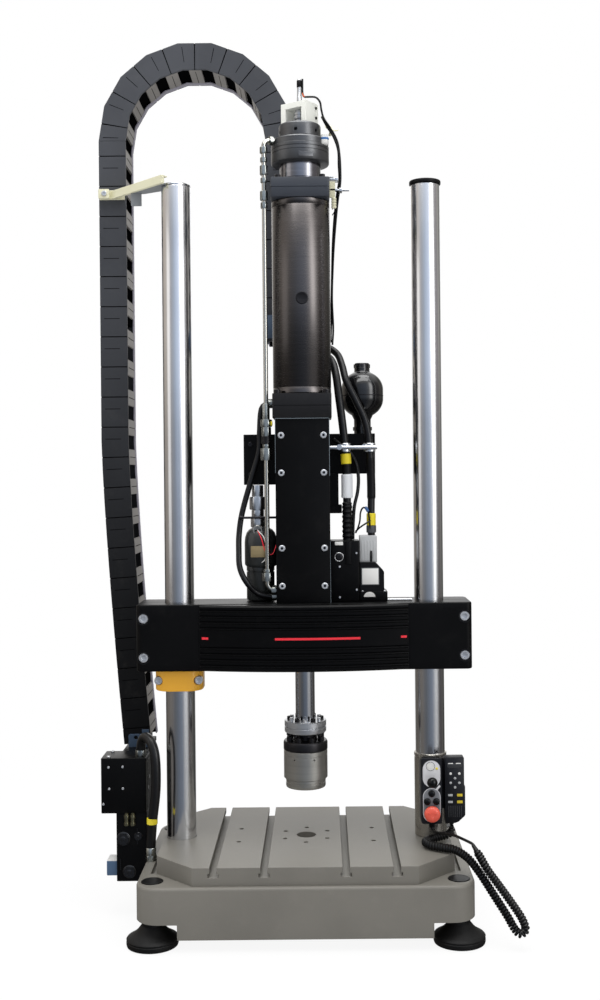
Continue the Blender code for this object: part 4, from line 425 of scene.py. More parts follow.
def wireTo(kit, shader, **sockets):
    # each named input of the shader gets a link or a plain value
    for name, value in sockets.items():
        target = shader.inputs[name.replace("_", " ")]
        if isinstance(value, Wire):
            kit.tree.links.new(value.socket, target)
        else:
            target.default_value = value


def objectPoint(kit, scale=(1, 1, 1)):
    # the place in the piece, stretched by the scale
    place = kit.node("TexCoord", output=3)
    return kit.node("Mapping", values={"Vector": place, "Scale": scale})


def noise(kit, point, scale, detail=3.0, roughness=0.5):
    return kit.node("TexNoise", values={"Vector": point, "Scale": scale, "Detail": detail, "Roughness": roughness})


def bump(kit, height, depth):
    # the height turned into a normal, its full range this many metres deep
    return kit.node("Bump", values={"Height": height, "Strength": 1.0, "Distance": depth})


def paint(name, tint, roughness=0.45, grain=900, depth=4e-5, mottle=0.1, dust=0.0, coat=0.0, specular=0.5, lower=None):
    # sprayed paint or moulded plastic: fine orange peel, slow changes of shade, a little dust;
    # lower is a darker colour that takes over towards the floor: painted shade
    material, shader, kit = newMaterial(name)
    tint, point = colour(*tint), objectPoint(kit)
    slow, fine = noise(kit, point, 7.0, 4.0), noise(kit, point, grain, 2.0)
    dark = tuple(v * (1 - mottle) for v in tint[:3]) + (1.0,)
    light = tuple(min(v * (1 + mottle), 1.0) for v in tint[:3]) + (1.0,)
    shade = slow.between(0.3, 0.7).mix(dark, light)
    if lower:
        # painted shade: the colour darkens to lower from 1.7 m down to 0.45 m above the floor
        rise = kit.node("SeparateXYZ", values={0: kit.node("TexCoord", output=3)}, output=2)
        shade = rise.between(0.45, 1.7).mix(colour(*lower), shade)
    if dust:
        cloud = noise(kit, point, 31.0, 6.0, 0.65).between(0.52, 0.8) * dust
        shade = cloud.mix(shade, colour(150, 145, 138))
    wireTo(kit, shader, Base_Color=shade, Roughness=roughness + (slow - 0.5) * 0.14 + (fine - 0.5) * 0.1,
        Normal=bump(kit, fine, depth), Coat_Weight=coat, Specular_IOR_Level=specular)
    return material


def metal(name, tint, roughness=0.25, stretch=(1, 1, 1), scale=60, streak=0.12, depth=1e-5, darker=0.12, metallic=1.0):
    # worked metal: streaks of shade and gloss drawn out along the way the tool ran
    material, shader, kit = newMaterial(name)
    tint = colour(*tint)
    lines = noise(kit, objectPoint(kit, stretch), scale, 5.0, 0.6)
    slow = noise(kit, objectPoint(kit), 9.0, 3.0)
    dark = tuple(v * (1 - darker) for v in tint[:3]) + (1.0,)
    shade = (lines * 0.6 + slow * 0.4).between(0.35, 0.65).mix(dark, tint)
    wireTo(kit, shader, Base_Color=shade, Metallic=metallic, Normal=bump(kit, lines, depth),
        Roughness=roughness + (lines - 0.5) * streak + (slow - 0.5) * 0.05)
    return material


lengthwise, turned = (1, 1, 0.012), (0.03, 0.03, 1)
basePaint = paint("castPaint", (118, 115, 108), 0.5, 420, 0.00018, 0.06, 0.1)
blackPaint = paint("satinBlackPaint", (10, 10, 11), 0.36, 1200, 3e-5, 0.15, 0.01, 0.0, 0.1)
fasciaPaint = paint("fasciaBlack", (8, 8, 9), 0.34, 1500, 2e-5, 0.12, 0.005, 0.0, 0.1)
blackPlastic = paint("blackPlastic", (14, 14, 16), 0.42, 1400, 3e-5, 0.12, 0.01, 0.0, 0.16)
# chain plates: the plastic's own colour, painted darker towards the floor as shade
chainPlastic = paint("chainPlastic", (72, 74, 79), 0.46, 700, 6e-5, 0.1, 0.03, 0.0, 0.14, (17, 17, 18))
chainBar = paint("chainBarPlastic", (134, 130, 126), 0.5, 700, 6e-5, 0.1, 0.05)
# painted light: a pale colour for the lit inner flange of the chain's back plate
chainLitRim = paint("chainLitRim", (146, 143, 156), 0.5, 700, 4e-5, 0.08, 0.02)
# painted shade: dark filler for the seams between links, the plates' short grooves and the inside seen through the
# openings
chainShade = paint("linkGapShade", (8, 8, 9), 0.9, 700, 4e-5, 0.1, 0.0, 0.0, 0.0)
rubber = paint("footRubber", (12, 12, 12), 0.55, 500, 0.0001, 0.2, 0.02, 0.0, 0.25)
hoseRubber = paint("hoseRubber", (14, 14, 16), 0.36, 900, 5e-5, 0.2, 0.01, 0.0, 0.35)
cordPlastic = paint("cordPlastic", (11, 11, 12), 0.32, 900, 3e-5, 0.2, 0.005, 0.0, 0.3)
yellowPaint = paint("collarPaint", (226, 165, 38), 0.34, 800, 4e-5, 0.07, 0.02, 0.2)
bracketWhite = paint("bracketWhite", (236, 237, 230), 0.42, 800, 4e-5, 0.04, 0.02)
creamPaint = paint("creamPaint", (222, 219, 190), 0.45, 800, 4e-5, 0.05, 0.05)
bluePaint = paint("blueGreyPaint", (62, 80, 102), 0.42, 800, 4e-5, 0.08, 0.06)
redPaint = paint("redLine", (236, 40, 56), 0.4, 900, 2e-5, 0.05)
redPlastic = paint("stopPlastic", (233, 92, 72), 0.3, 700, 2e-5, 0.06, 0.0, 0.4)
whitePaint = paint("whiteFace", (214, 214, 218), 0.4, 900, 2e-5, 0.04, 0.03)
labelWhite = paint("bareLabel", (226, 226, 224), 0.5, 900, 1e-5, 0.03, 0.05)
labelYellow = paint("yellowTag", (228, 208, 40), 0.45, 900, 1e-5, 0.05, 0.02)
keyYellow = paint("yellowKey", (214, 190, 40), 0.42, 900, 1e-5, 0.05)
keyGrey = paint("greyKey", (176, 178, 180), 0.42, 900, 1e-5, 0.05)
keyDark = paint("darkKey", (52, 53, 56), 0.45, 900, 1e-5, 0.08)
panelGrey = paint("panelGrey", (70, 72, 76), 0.42, 900, 2e-5, 0.06)
chrome = metal("chromedBar", (234, 235, 238), 0.19, lengthwise, 160, 0.05, 2e-6, 0.1)
rodChrome = metal("polishedRod", (206, 208, 212), 0.12, lengthwise, 260, 0.05, 2e-6, 0.1)
gunmetal = metal("anodisedTube", (100, 96, 95), 0.27, (0.04, 0.04, 1), 300, 0.1, 5e-6, 0.1)
darkSteel = metal("blackenedSteel", (46, 45, 47), 0.36, turned, 220, 0.12, 6e-6, 0.18, 0.8)
brightSteel = metal("turnedSteel", (200, 202, 205), 0.34, turned, 260, 0.12, 6e-6, 0.12, 0.8)
fittingSteel = metal("platedFitting", (184, 187, 182), 0.26, turned, 240, 0.12, 6e-6, 0.18)
screwSteel = metal("zincScrew", (226, 227, 229), 0.34, turned, 300, 0.1, 4e-6, 0.1, 0.75)
warmSteel = metal("blastedSteel", (178, 176, 170), 0.36, turned, 200, 0.12, 1e-5, 0.12, 0.85)
sleeveSteel = metal("sleeveSteel", (176, 172, 164), 0.26, lengthwise, 120, 0.12, 6e-6, 0.14, 0.85)
# one black paint in two copies: darker on the lower flange as painted shade, lighter and bluer on the upper as painted
# light
shadedFlangePaint = paint("shadedFlangeBlack", (28, 28, 30), 0.42, 900, 3e-5, 0.12, 0.02, 0.0, 0.2)
litFlangePaint = paint("litFlangeBlack", (50, 54, 62), 0.4, 900, 3e-5, 0.14, 0.04)
neckSteel = metal("groundNeck", (150, 150, 156), 0.2, turned, 260, 0.08, 4e-6, 0.2)
rotarySteel = metal("blackenedCast", (98, 99, 101), 0.34, turned, 200, 0.14, 1e-5, 0.16, 0.75)
filterPaint = paint("filterHead", (38, 40, 40), 0.3, 700, 3e-5, 0.14, 0.03, 0.1)
bareBrassPlate = metal("barePlate", (178, 158, 118), 0.4, turned, 240, 0.1, 4e-6, 0.12, 0.6)
pipeSteel = metal("drawnPipe", (196, 194, 186), 0.22, lengthwise, 240, 0.08, 4e-6, 0.16)
clampSteel = metal("clampSteel", (224, 226, 228), 0.28, turned, 240, 0.1, 4e-6, 0.14)
plugSteel = paint("plugSteel", (20, 20, 22), 0.22, 500, 2e-5, 0.1, 0.0, 0.3)
dullBrass = metal("dullBrass", (128, 124, 100), 0.32, turned, 240, 0.1, 4e-6, 0.16, 0.9)
glossBlack = paint("vesselPaint", (12, 12, 14), 0.16, 500, 2e-5, 0.12, 0.01, 0.4, 0.5)
sleeveWhite = paint("hoseSleeveWhite", (228, 231, 236), 0.5, 800, 4e-5, 0.06, 0.05)
plugGrey = paint("plugHousing", (176, 178, 180), 0.44, 800, 3e-5, 0.06, 0.04)
pillGrey = paint("pillGrey", (122, 124, 130), 0.42, 900, 2e-5, 0.05)
controlBlack = paint("controlBlack", (8, 8, 9), 0.22, 400, 1e-5, 0.1, 0.0, 0.0, 0.3)
stayGrey = paint("stayGrey", (126, 130, 134), 0.44, 800, 4e-5, 0.08, 0.05)
inletBlue = paint("inletPaint", (66, 92, 122), 0.4, 800, 4e-5, 0.1, 0.04)
dustyRubber = paint("dustyHose", (17, 17, 18), 0.3, 700, 6e-5, 0.16, 0.02, 0.0, 0.35)
# painted sheen: grey for the sheen on the side block's black right face
sideFaceSheen = paint("sideFaceSheen", (50, 50, 48), 0.6, 700, 6e-5, 0.16, 0.04, 0.0, 0.1)
panelPlastic = paint("panelPlastic", (26, 27, 32), 0.4, 900, 4e-5, 0.1, 0.02, 0.0, 0.2)
orangeWire = paint("orangeWire", (196, 84, 40), 0.4, 900, 1e-5, 0.05)
fittingBlue = paint("fittingBlue", (60, 108, 168), 0.4, 900, 1e-5, 0.05)
tieBlue = paint("tieBlue", (58, 96, 150), 0.4, 900, 1e-5, 0.05)
print("finishes made")

# Camera at the photograph's place, level;
# its frame moved a little so that the machine stands where the photograph has it

cameraDetails = {"place": (0.0372 + loadAxisX, -2.45, 0.9), "lens": 42.65, "leanDegrees": 0.55,
    "shift": (-0.021, -0.025)}
cameraData = bpy.data.cameras.new("studioCamera")
cameraData.lens, cameraData.sensor_width = cameraDetails["lens"], 36.0
cameraData.shift_x, cameraData.shift_y = cameraDetails["shift"]
camera = bpy.data.objects.new("studioCamera", cameraData)
camera.location = cameraDetails["place"]
camera.rotation_euler = (math.pi / 2, math.radians(cameraDetails["leanDegrees"]), 0)
bpy.context.scene.collection.objects.link(camera)
bpy.context.scene.camera = camera
bpy.context.scene.view_settings.view_transform = "Standard"


# Cords: the coiled one of the handset and its straight lead into the panel

def coilGrid(centreline, coilRadius, wireRadius, pitch, perTurn=14, sides=7):
    # a thin wire wound round the centreline: its middle circles the line once in every pitch
    walked = np.concatenate([[0], np.cumsum(np.linalg.norm(np.diff(centreline, axis=0), axis=1))])
    count = int(walked[-1] / pitch * perTurn)
    even = np.linspace(0, walked[-1], count)
    line = np.stack([np.interp(even, walked, centreline[:, k]) for k in range(3)], -1)
    t, s, u = pathFrames(line)
    phase = 2 * np.pi * even / pitch
    fade = np.minimum(1, np.minimum(even, walked[-1] - even) / 12)[:, None]     # both ends run into the middle
    wound = line + coilRadius * fade * (np.cos(phase)[:, None] * s + np.sin(phase)[:, None] * u)
    return tubeGrid(wound, wireRadius, sides)


cordDetails = {"curlDiameter": 17, "wireRadius": 2.9, "pitch": 5.8, "leadDiameter": 5.5,
    "curl": [(294, -57.5, 191.7), (293.8, -58.5, 180), (286, -60, 172.5), (268, -64, 169), (248, -74, 167.5),
    (238, -92, 167.2), (247, -110, 167), (268, -124, 166.8), (292, -140, 166.5), (315, -161, 156), (334, -182, 135),
    (355, -200, 104), (381, -214, 64), (393, -219, 43), (404, -221, 33), (414, -219, 41), (408, -215, 60),
    (392, -208, 84), (371, -202, 113), (347.5, -197, 145), (335, -184, 166), (326, -172, 180)],
    "lead": [(306, -148, 190), (290, -122, 190), (270, -96, 186), (258, -78, 183), (254, -66.3, 183.5),
    (254, -63.3, 187.2), (254, -63.3, 188.7)]}


def makeCords(d):
    # the coil fills the round that its solid holds; the lead goes on from its end
    curl = smoothPath(d["curl"], 260)
    form = Form().add(coilGrid(curl, d["curlDiameter"] / 2 - d["wireRadius"], d["wireRadius"], d["pitch"]))
    coiled = makePiece("curlyCord", form, cordPlastic, "frame", "curly_cord")
    end, before = np.array(d["curl"][-1]), np.array(d["curl"][-2])
    heading = (end - before) / np.linalg.norm(end - before)
    lead = [tuple(end + heading * 1.2), tuple(end + heading * 9.2)] + d["lead"]
    line = smoothPath(lead, 70)
    straight = makePiece("handsetLead", Form().add(tubeGrid(line, d["leadDiameter"] / 2, 14)), cordPlastic, "frame",
        "handset_lead")
    sleeve = smoothPath([tuple(end - heading * 10), tuple(end - heading * 2), tuple(end + heading * 7)], 12)
    collar = makePiece("leadSleeve", Form().add(tubeGrid(sleeve, np.linspace(5, 3.4, 12), 14)), cordPlastic, "frame")
    coiledPath, straightPath = (p / 1000 + (loadAxisX, 0, 0) for p in (curl, line))
    long = lambda p: float(np.linalg.norm(np.diff(p, axis=0), axis=1).sum())
    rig.cord(coiled, exit=tuple(coiledPath[0]), length=long(coiledPath), diameter=d["curlDiameter"] / 1000,
        far_end="fitting", stiffness="limp", lay="loose", path=coiledPath.tolist(), with_pieces=[collar])
    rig.cord(straight, exit=tuple(straightPath[0]), length=long(straightPath), diameter=d["leadDiameter"] / 1000,
        far_end="object", stiffness="limp", lay="loose", path=straightPath.tolist())
    print("cords made:", round(long(coiledPath), 3), "m coiled and", round(long(straightPath), 3), "m straight")


makeCords(cordDetails)


# Studio: an even pale room, a large soft lamp above, a weaker one from the front

studioDetails = {"ambient": 0.24, "skylight": 1.05, "overhead": 74.0, "frontFill": 4.0, "sideFill": 5.0,
    "floorGlow": 0.9}


def makeWorld(d):
    # the camera sees white; polished metal sees a pale room with a soft window, cards and a darker front
    world = bpy.data.worlds.new("studioWorld")
    bpy.context.scene.world = world
    world.use_nodes = True
    kit = Wire(world.node_tree)
    tree = world.node_tree
    direction = kit.node("TexCoord", output=0)
    x = kit.node("SeparateXYZ", values={0: direction}, output=0)
    y = kit.node("SeparateXYZ", values={0: direction}, output=1)
    z = kit.node("SeparateXYZ", values={0: direction}, output=2)
    around = kit.sum("ARCTAN2", x, y * -1.0) / (2 * math.pi) + 0.5          # 0.5 is straight at the camera
    bands = kit.node("ValToRGB", {"stops": [(0.0, (0.9, 0.9, 0.9)), (0.055, (0.6, 0.58, 0.56)),
        (0.095, (0.24, 0.23, 0.21)), (0.18, (0.26, 0.23, 0.2)), (0.235, (0.3, 0.27, 0.24)), (0.33, (0.3, 0.28, 0.26)),
        (0.37, (0.24, 0.24, 0.25)), (0.425, (0.21, 0.23, 0.26)), (0.475, (0.26, 0.3, 0.37)), (0.55, (0.36, 0.41, 0.5)),
        (0.59, (0.66, 0.69, 0.74)), (0.606, (0.9, 0.91, 0.93)), (0.668, (0.95, 0.95, 0.95)), (0.69, (0.42, 0.41, 0.4)),
        (0.706, (0.18, 0.17, 0.17)), (0.775, (0.15, 0.14, 0.14)), (0.825, (0.24, 0.23, 0.21)),
        (0.86, (0.09, 0.09, 0.085)), (0.93, (0.16, 0.16, 0.15)), (0.955, (0.6, 0.6, 0.6)), (1.0, (0.9, 0.9, 0.9))]},
        {0: around})
    lift = z.between(-0.24, 0.24) * 1.45 + 0.42
    window = around.between(0.6, 0.618) * (1.0 - around.between(0.646, 0.668)) * z.between(-0.16, 0.14) * 3.2
    room = kit.node("VectorMath", {"operation": "MULTIPLY_ADD"}, {0: bands, 1: lift, 2: window})
    above = z.between(0.45, 0.8)
    seen = above.mix(room, (1.0, 1.0, 1.0, 1))
    isCamera = kit.node("LightPath", output=0)
    isGlossy = kit.node("LightPath", output=3)
    isThrough = kit.node("LightPath", output=7)
    soft = z.between(0.05, 0.9).mix((d["ambient"],) * 3 + (1,), (d["skylight"],) * 3 + (1,))
    lit = (isGlossy + isThrough).mix(soft, seen)
    shown = isCamera.mix(lit, (1, 1, 1, 1))
    tree.links.new(shown.socket, tree.nodes["Background"].inputs["Color"])


def addLamp(name, place, towards, size, power):
    # a rectangular lamp turned towards a point
    lamp = bpy.data.lights.new(name, "AREA")
    lamp.shape, lamp.size, lamp.size_y, lamp.energy = "RECTANGLE", size[0], size[1], power
    held = bpy.data.objects.new(name, lamp)
    held.location = place
    aim = np.array(towards, float) - np.array(place, float)
    aim /= np.linalg.norm(aim)
    held.rotation_euler = (math.acos(-aim[2]), 0, math.atan2(aim[1], aim[0]) - math.pi / 2)
    held.visible_glossy = name != "frontLamp"
    held.visible_camera = False
    bpy.context.scene.collection.objects.link(held)


def makeFloor(d):
    # a wide plain floor: it keeps the shadow near the machine and turns into the white of the room further out
    r = np.array([0.0, 0.5, 1.0, 2.0, 4.0, 12.0, 60.0])
    a = np.linspace(0, 2 * np.pi, 96, endpoint=False)
    grid = np.stack([r[:, None] * np.cos(a), r[:, None] * np.sin(a), np.zeros((7, 96))], -1)
    mesh = bpy.data.meshes.new("studioFloor")
    rows, cols = np.meshgrid(np.arange(1, 6), np.arange(96), indexing="ij")
    quads = np.stack([rows * 96 + cols, (rows + 1) * 96 + cols, (rows + 1) * 96 + (cols + 1) % 96,
        rows * 96 + (cols + 1) % 96], -1)
    faces = quads.reshape(-1, 4).tolist() + [(np.arange(96) + 96).tolist()]
    mesh.from_pydata(grid.reshape(-1, 3).tolist(), [], faces)
    floor = bpy.data.objects.new("studioFloor", mesh)
    bpy.context.scene.collection.objects.link(floor)
    material, _, kit = newMaterial("studioFloor")
    place = kit.node("TexCoord", output=3)
    x, y = (kit.node("SeparateXYZ", values={0: place}, output=k) for k in (0, 1))
    far = ((x * x + y * y) ** 0.5).between(0.55, 1.6)
    glow = kit.node("Emission", values={0: (1, 1, 1, 1), 1: 1.0})
    plain = kit.node("BsdfDiffuse", values={0: (0.94, 0.94, 0.94, 1)})
    surface = kit.node("MixShader", values={0: far * (1 - d["floorGlow"]) + d["floorGlow"], 1: plain, 2: glow})
    kit.tree.links.new(surface.socket, kit.tree.nodes["Material Output"].inputs["Surface"])
    mesh.materials.append(material)
    floor.visible_glossy = False
    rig.stage(floor)


makeWorld(studioDetails)
makeFloor(studioDetails)
addLamp("overheadLamp", (0.1, -0.5, 3.6), (0.05, 0, 0.8), (2.6, 2.2), studioDetails["overhead"])
addLamp("frontLamp", (0.9, -3.4, 2.0), (0.05, 0, 0.8), (2.2, 1.8), studioDetails["frontFill"])
addLamp("leftLamp", (-2.8, -1.2, 1.6), (0.0, 0, 0.9), (1.4, 2.2), studioDetails["sideFill"])
print("studio made")


# Shared small shapes; first the columns' distance from the axis and the round openings for them

columnX, columnBore = 257.5, 30.3

def screwGrid(radius, height, socket=0.52):
    # a socket head: side, narrow chamfer, flat rim, then a six-sided well
    a, deep = np.linspace(0, 2 * np.pi, 30, endpoint=False), 0.55
    well = radius * socket / np.cos(a % (np.pi / 3) - np.pi / 6)
    edge = radius * 0.12
    rings = [(radius + 0 * a, 0), (radius + 0 * a, height - edge), (radius - edge + 0 * a, height), (well, height),
        (well, height * (1 - deep)), (well * 0.5, height * (0.97 - deep))]
    return polarGrid(rings, a)


def dome(radius, low, high, steps=6):
    # quarter ellipse from the rim up to the middle
    a = np.linspace(0, np.pi / 2, steps)
    return [(max(radius * math.cos(t), radius * 0.02), low + (high - low) * math.sin(t)) for t in a]


def ringed(cx, cy, radius, count, first=0.0):
    # places evenly round a circle
    a = np.radians(first) + 2 * np.pi * np.arange(count) / count
    return np.stack([cx + radius * np.cos(a), cy + radius * np.sin(a)], -1)


def corners(low, high):
    # the eight corners of a box between its lowest and its highest one
    x, y, z = np.array([low, high], float).T
    return np.array([(x[0], y[0], z[0]), (x[1], y[0], z[0]), (x[1], y[1], z[0]), (x[0], y[1], z[0]), (x[0], y[0], z[1]),
        (x[1], y[0], z[1]), (x[1], y[1], z[1]), (x[0], y[1], z[1])])


def carve(piece, cutters):
    # the cutters' forms taken out of the piece, and the result kept as its mesh
    mesh = bpy.data.meshes.new("cutter")
    mesh.from_pydata((np.vstack(cutters.points) / 1000 + (loadAxisX, 0, 0)).tolist(), [], cutters.faces)
    mesh.polygons.foreach_set("material_index", np.array(cutters.marks, np.int32))
    worked = bmesh.new()
    worked.from_mesh(mesh)
    bmesh.ops.recalc_face_normals(worked, faces=worked.faces)
    worked.to_mesh(mesh)
    worked.free()
    knife = bpy.data.objects.new("cutter", mesh)
    bpy.context.scene.collection.objects.link(knife)
    for material in piece.data.materials:
        mesh.materials.append(material)
    cut = piece.modifiers.new("cut", "BOOLEAN")
    cut.operation, cut.object, cut.solver, cut.use_self = "DIFFERENCE", knife, "EXACT", True
    bpy.context.view_layer.update()
    made = bpy.data.meshes.new_from_object(piece.evaluated_get(bpy.context.evaluated_depsgraph_get()))
    piece.modifiers.remove(cut)
    old, piece.data = piece.data, made
    bpy.data.meshes.remove(old)
    bpy.data.objects.remove(knife)
    made.name = piece.name
    made.shade_smooth()
    made.set_sharp_from_angle(angle=math.radians(38))
    return piece


def addEdges(piece, width, segments=2):
    # every edge sharper than 40 degrees rounded over this width
    rounding = piece.modifiers.new("edges", "BEVEL")
    rounding.width, rounding.segments, rounding.limit_method = width / 1000, segments, "ANGLE"
    rounding.angle_limit, rounding.harden_normals = math.radians(40), True
    return piece


# Base with its T-slot table, feet and plugs

baseDetails = {"length": 650, "width": 430, "corner": 45, "low": 22, "rim": 122, "edge": 6, "tableLength": 584,
    "tableWidth": 410, "chamfer": 77, "tableTop": 157, "troughWidth": 12, "slots": (-175, -78, 78, 175), "throat": 14,
    "tee": 21, "teeHeight": 7.5, "slotDepth": 19, "bore": 39, "boltCircle": 100, "tapped": 9, "pair": (137, 44),
    "foot": (295, 172)}


def makeBase(d):
    # a rounded block; the table is a chamfered plate on it with T-shaped runs, bore and holes taken out
    form = Form().block(d["length"], d["width"], d["low"], d["rim"], d["corner"], d["edge"], 14, 5)
    block = makePiece("baseBlock", form, basePaint, "frame", "base_casting")
    cuts = Form()
    reach = d["tableWidth"] / 2 - d["chamfer"]
    inner, outer = d["tableLength"] / 2 + 0.3, d["tableLength"] / 2 + d["troughWidth"]
    fx, fy = d["foot"]
    cuts.boxes([corners((min(s * inner, s * outer), -reach, d["rim"] - 10), (max(s * inner, s * outer), reach, 200))
        for s in (-1, 1)])
    cuts.boxes([corners((min(sx * 243, sx * 400), min(sy * 120, sy * 300), -10),
        (max(sx * 243, sx * 400), max(sy * 120, sy * 300), 52.3)) for sx in (-1, 1) for sy in (-1, 1)])
    places = [move(sx * fx, sy * fy) for sx in (-1, 1) for sy in (-1, 1)]
    cuts.lathe([(21.3, d["rim"] - 4), (21.3, d["rim"] + 10)], 48, copies=places)
    cuts.lathe([(d["bore"] / 2 - 0.1, d["tableTop"] - 50), (d["bore"] / 2 - 0.1, 200)], 48)
    carve(block, cuts)
    addEdges(block, 0.7, 1)

    half, wide, c = d["tableLength"] / 2, d["tableWidth"] / 2, d["chamfer"]
    outline = np.array([(half, -wide + c), (half, wide - c), (half - c, wide), (-half + c, wide), (-half, wide - c),
        (-half, -wide + c), (-half + c, -wide), (half - c, -wide)])
    table = makePiece("baseTable", Form().add(prismGrid(outline, d["rim"] - 9.8, d["tableTop"], 0)), basePaint, "frame",
        "base_casting")
    floor = d["tableTop"] - d["slotDepth"]
    t, w, top = d["throat"] / 2, d["tee"] / 2, d["tableTop"] + 10
    tee = np.array([(-w, floor), (w, floor), (w, floor + d["teeHeight"]), (t, floor + d["teeHeight"]), (t, top),
        (-t, top), (-t, floor + d["teeHeight"]), (-w, floor + d["teeHeight"])])
    cuts = Form()
    for x in d["slots"]:
        cuts.add(carriedBack(tee + (x, 0), (-300, 300)))
    cuts.lathe([(d["bore"] / 2, 100), (d["bore"] / 2, top)], 64)
    holes = list(ringed(0, 0, d["boltCircle"] / 2, 6, 30)) + [(sx * d["pair"][0], sy * d["pair"][1]) for sx in (-1, 1)
        for sy in (-1, 1)]
    cuts.lathe([(d["tapped"] / 2, d["tableTop"] - 20), (d["tapped"] / 2, top)], 20,
        copies=[move(x, y) for x, y in holes])
    for side in (-1, 1):
        cuts.lathe([(columnBore, 100), (columnBore, top)], 96, place=move(side * columnX))
    carve(table, cuts)
    addEdges(table, 1, 2)


footDetails = {"radius": 50, "neck": 21, "height": 52, "stud": 10, "plug": 21}


def makeFeet(d):
    # a low rubber bell with a groove, its stud, and the plug over it in the rim
    r, fx, fy = d["radius"], *baseDetails["foot"]
    profile = [(r - 5, 0), (r - 1, 1.5), (r, 5), (r, 10), (r - 1.2, 11.5), (r - 1.2, 13), (r, 14.5), (r - 1.6, 16.5),
        (r - 7, 19.5), (r - 14, 24), (r - 21, 30), (d["neck"] + 2, 37.5), (d["neck"], 40), (d["neck"], d["height"] - 1),
        (d["neck"] - 1, d["height"]), (d["stud"], d["height"]), (d["stud"], 100)]
    p = d["plug"]
    cap = [(p, 0), (p, 3.6), (p - 0.5, 4.6), (p - 2, 5)] + dome(p - 4, 4.6, 4.8, 4)
    for depth, sy in (("front", -1), ("rear", 1)):
        for side, sx in (("left", -1), ("right", 1)):
            title = depth.capitalize() + side.capitalize()
            place = move(sx * fx, sy * fy)
            makePiece("foot" + title, Form().lathe(profile, 72, place=place), rubber, "frame", f"foot_{depth}_{side}")
            makePiece("plug" + title, Form().lathe(cap, 48, place=place @ move(0, 0, 118.3)), blackPlastic, "frame",
                f"foot_plug_{depth}_{side}")


makeBase(baseDetails)
makeFeet(footDetails)
print("base and feet made")


# Columns, the right one's cap, and the yellow stop collar

columnDetails = {"radius": 30, "x": columnX, "foot": 62, "top": 1497, "capRadius": 32.5, "capTop": 1505.3}


def makeColumns(d):
    # a straight bar, drawn in over a short lead at both ends
    r = d["radius"]
    bar = [(r - 2, d["foot"]), (r, d["foot"] + 2), (r, 600), (r, 1000), (r, d["top"] - 2.2), (r - 0.6, d["top"] - 0.7),
        (r - 2, d["top"])]
    for side, sx in (("Left", -1), ("Right", 1)):
        makePiece("column" + side, Form().lathe(bar, 96, place=move(sx * d["x"])), chrome, "frame",
            "column_" + side.lower())
    c = d["capRadius"]
    cap = [(c - 0.5, d["top"] + 0.3), (c, d["top"] + 1), (c, d["capTop"] - 2), (c - 0.8, d["capTop"] - 0.5),
        (c - 2, d["capTop"]), (4, d["capTop"]), (3.5, d["capTop"] - 0.8)]
    makePiece("columnCap", Form().lathe(cap, 64, place=move(d["x"])), blackPlastic, "frame", "column_cap")


collarDetails = {"width": 98, "depth": 86, "corner": 32, "low": 462.2, "height": 43, "split": 2, "boltOffset": 41,
    "bolt": 7}


def makeCollar(d):
    # a rounded plate parted through its middle, drawn together by two bolts in spotfaces
    x, half = -columnDetails["x"], d["depth"] / 2
    form = Form().block(d["width"], d["depth"], d["low"], d["low"] + d["height"], d["corner"], 3, 12, 4, place=move(x))
    piece = makePiece("stopCollar", form, [yellowPaint, darkSteel], "stop_collar", "stop_collar")
    cuts = Form().lathe([(columnBore, 400), (columnBore, 600)], 96, place=move(x))
    cuts.boxes([corners((x + s * 49 - 25, -d["split"] / 2, 400), (x + s * 49 + 25, d["split"] / 2, 600))
        for s in (-1, 1)], 1)
    middle = d["low"] + d["height"] / 2
    spots = [front(x + s * d["boltOffset"], -half + 19, middle) for s in (-1, 1)]
    cuts.lathe([(9.5, 0), (9.5, 40)], 40, copies=spots)
    carve(piece, cuts)
    bolts = Form().screw(d["bolt"] + 1.5, 11, copies=spots)
    makePiece("collarBolts", bolts, screwSteel, "stop_collar")


makeColumns(columnDetails)
makeCollar(collarDetails)
print("columns and collar made")


# Energy chain: straight links end to end, each one's tail sunk behind the next one's head

chainDetails = {"x": -407, "front": 107, "back": 215, "half": 29, "radius": 180, "centre": 1629, "pitch": 65,
    "standing": 20, "arc": 9, "leg": 7, "hidden": 6, "plate": 6, "bar": 4.5, "drift": 43, "driftFrom": 975}


def standingLine(z, d):
    # the standing run leans inwards below its bracket; returns middle and the direction across
    foot = d["centre"] - 4 - d["standing"] * d["pitch"]
    share = np.clip((d["driftFrom"] - z) / (d["driftFrom"] - foot), 0, None)
    drift = d["drift"] * share ** 1.3
    slope = d["drift"] * 1.3 * share ** 0.3 / (d["driftFrom"] - foot)
    middle = np.stack([d["x"] + drift, 0 * z, z], -1)
    across = np.stack([0 * z + 1, 0 * z, slope], -1)
    return middle, across / np.linalg.norm(across, axis=-1, keepdims=True)


def loopLine(travel, d):
    # half a circle over the top, then straight down the moving leg
    turnLength = np.pi * d["radius"]
    a = np.clip(travel, 0, turnLength) / d["radius"]
    across = np.stack([np.cos(a), 0 * a, -np.sin(a)], -1)
    middle = np.array((d["x"] + d["radius"], 0, d["centre"])) - d["radius"] * across
    middle[..., 2] -= np.clip(travel - turnLength, 0, None)
    return middle, across


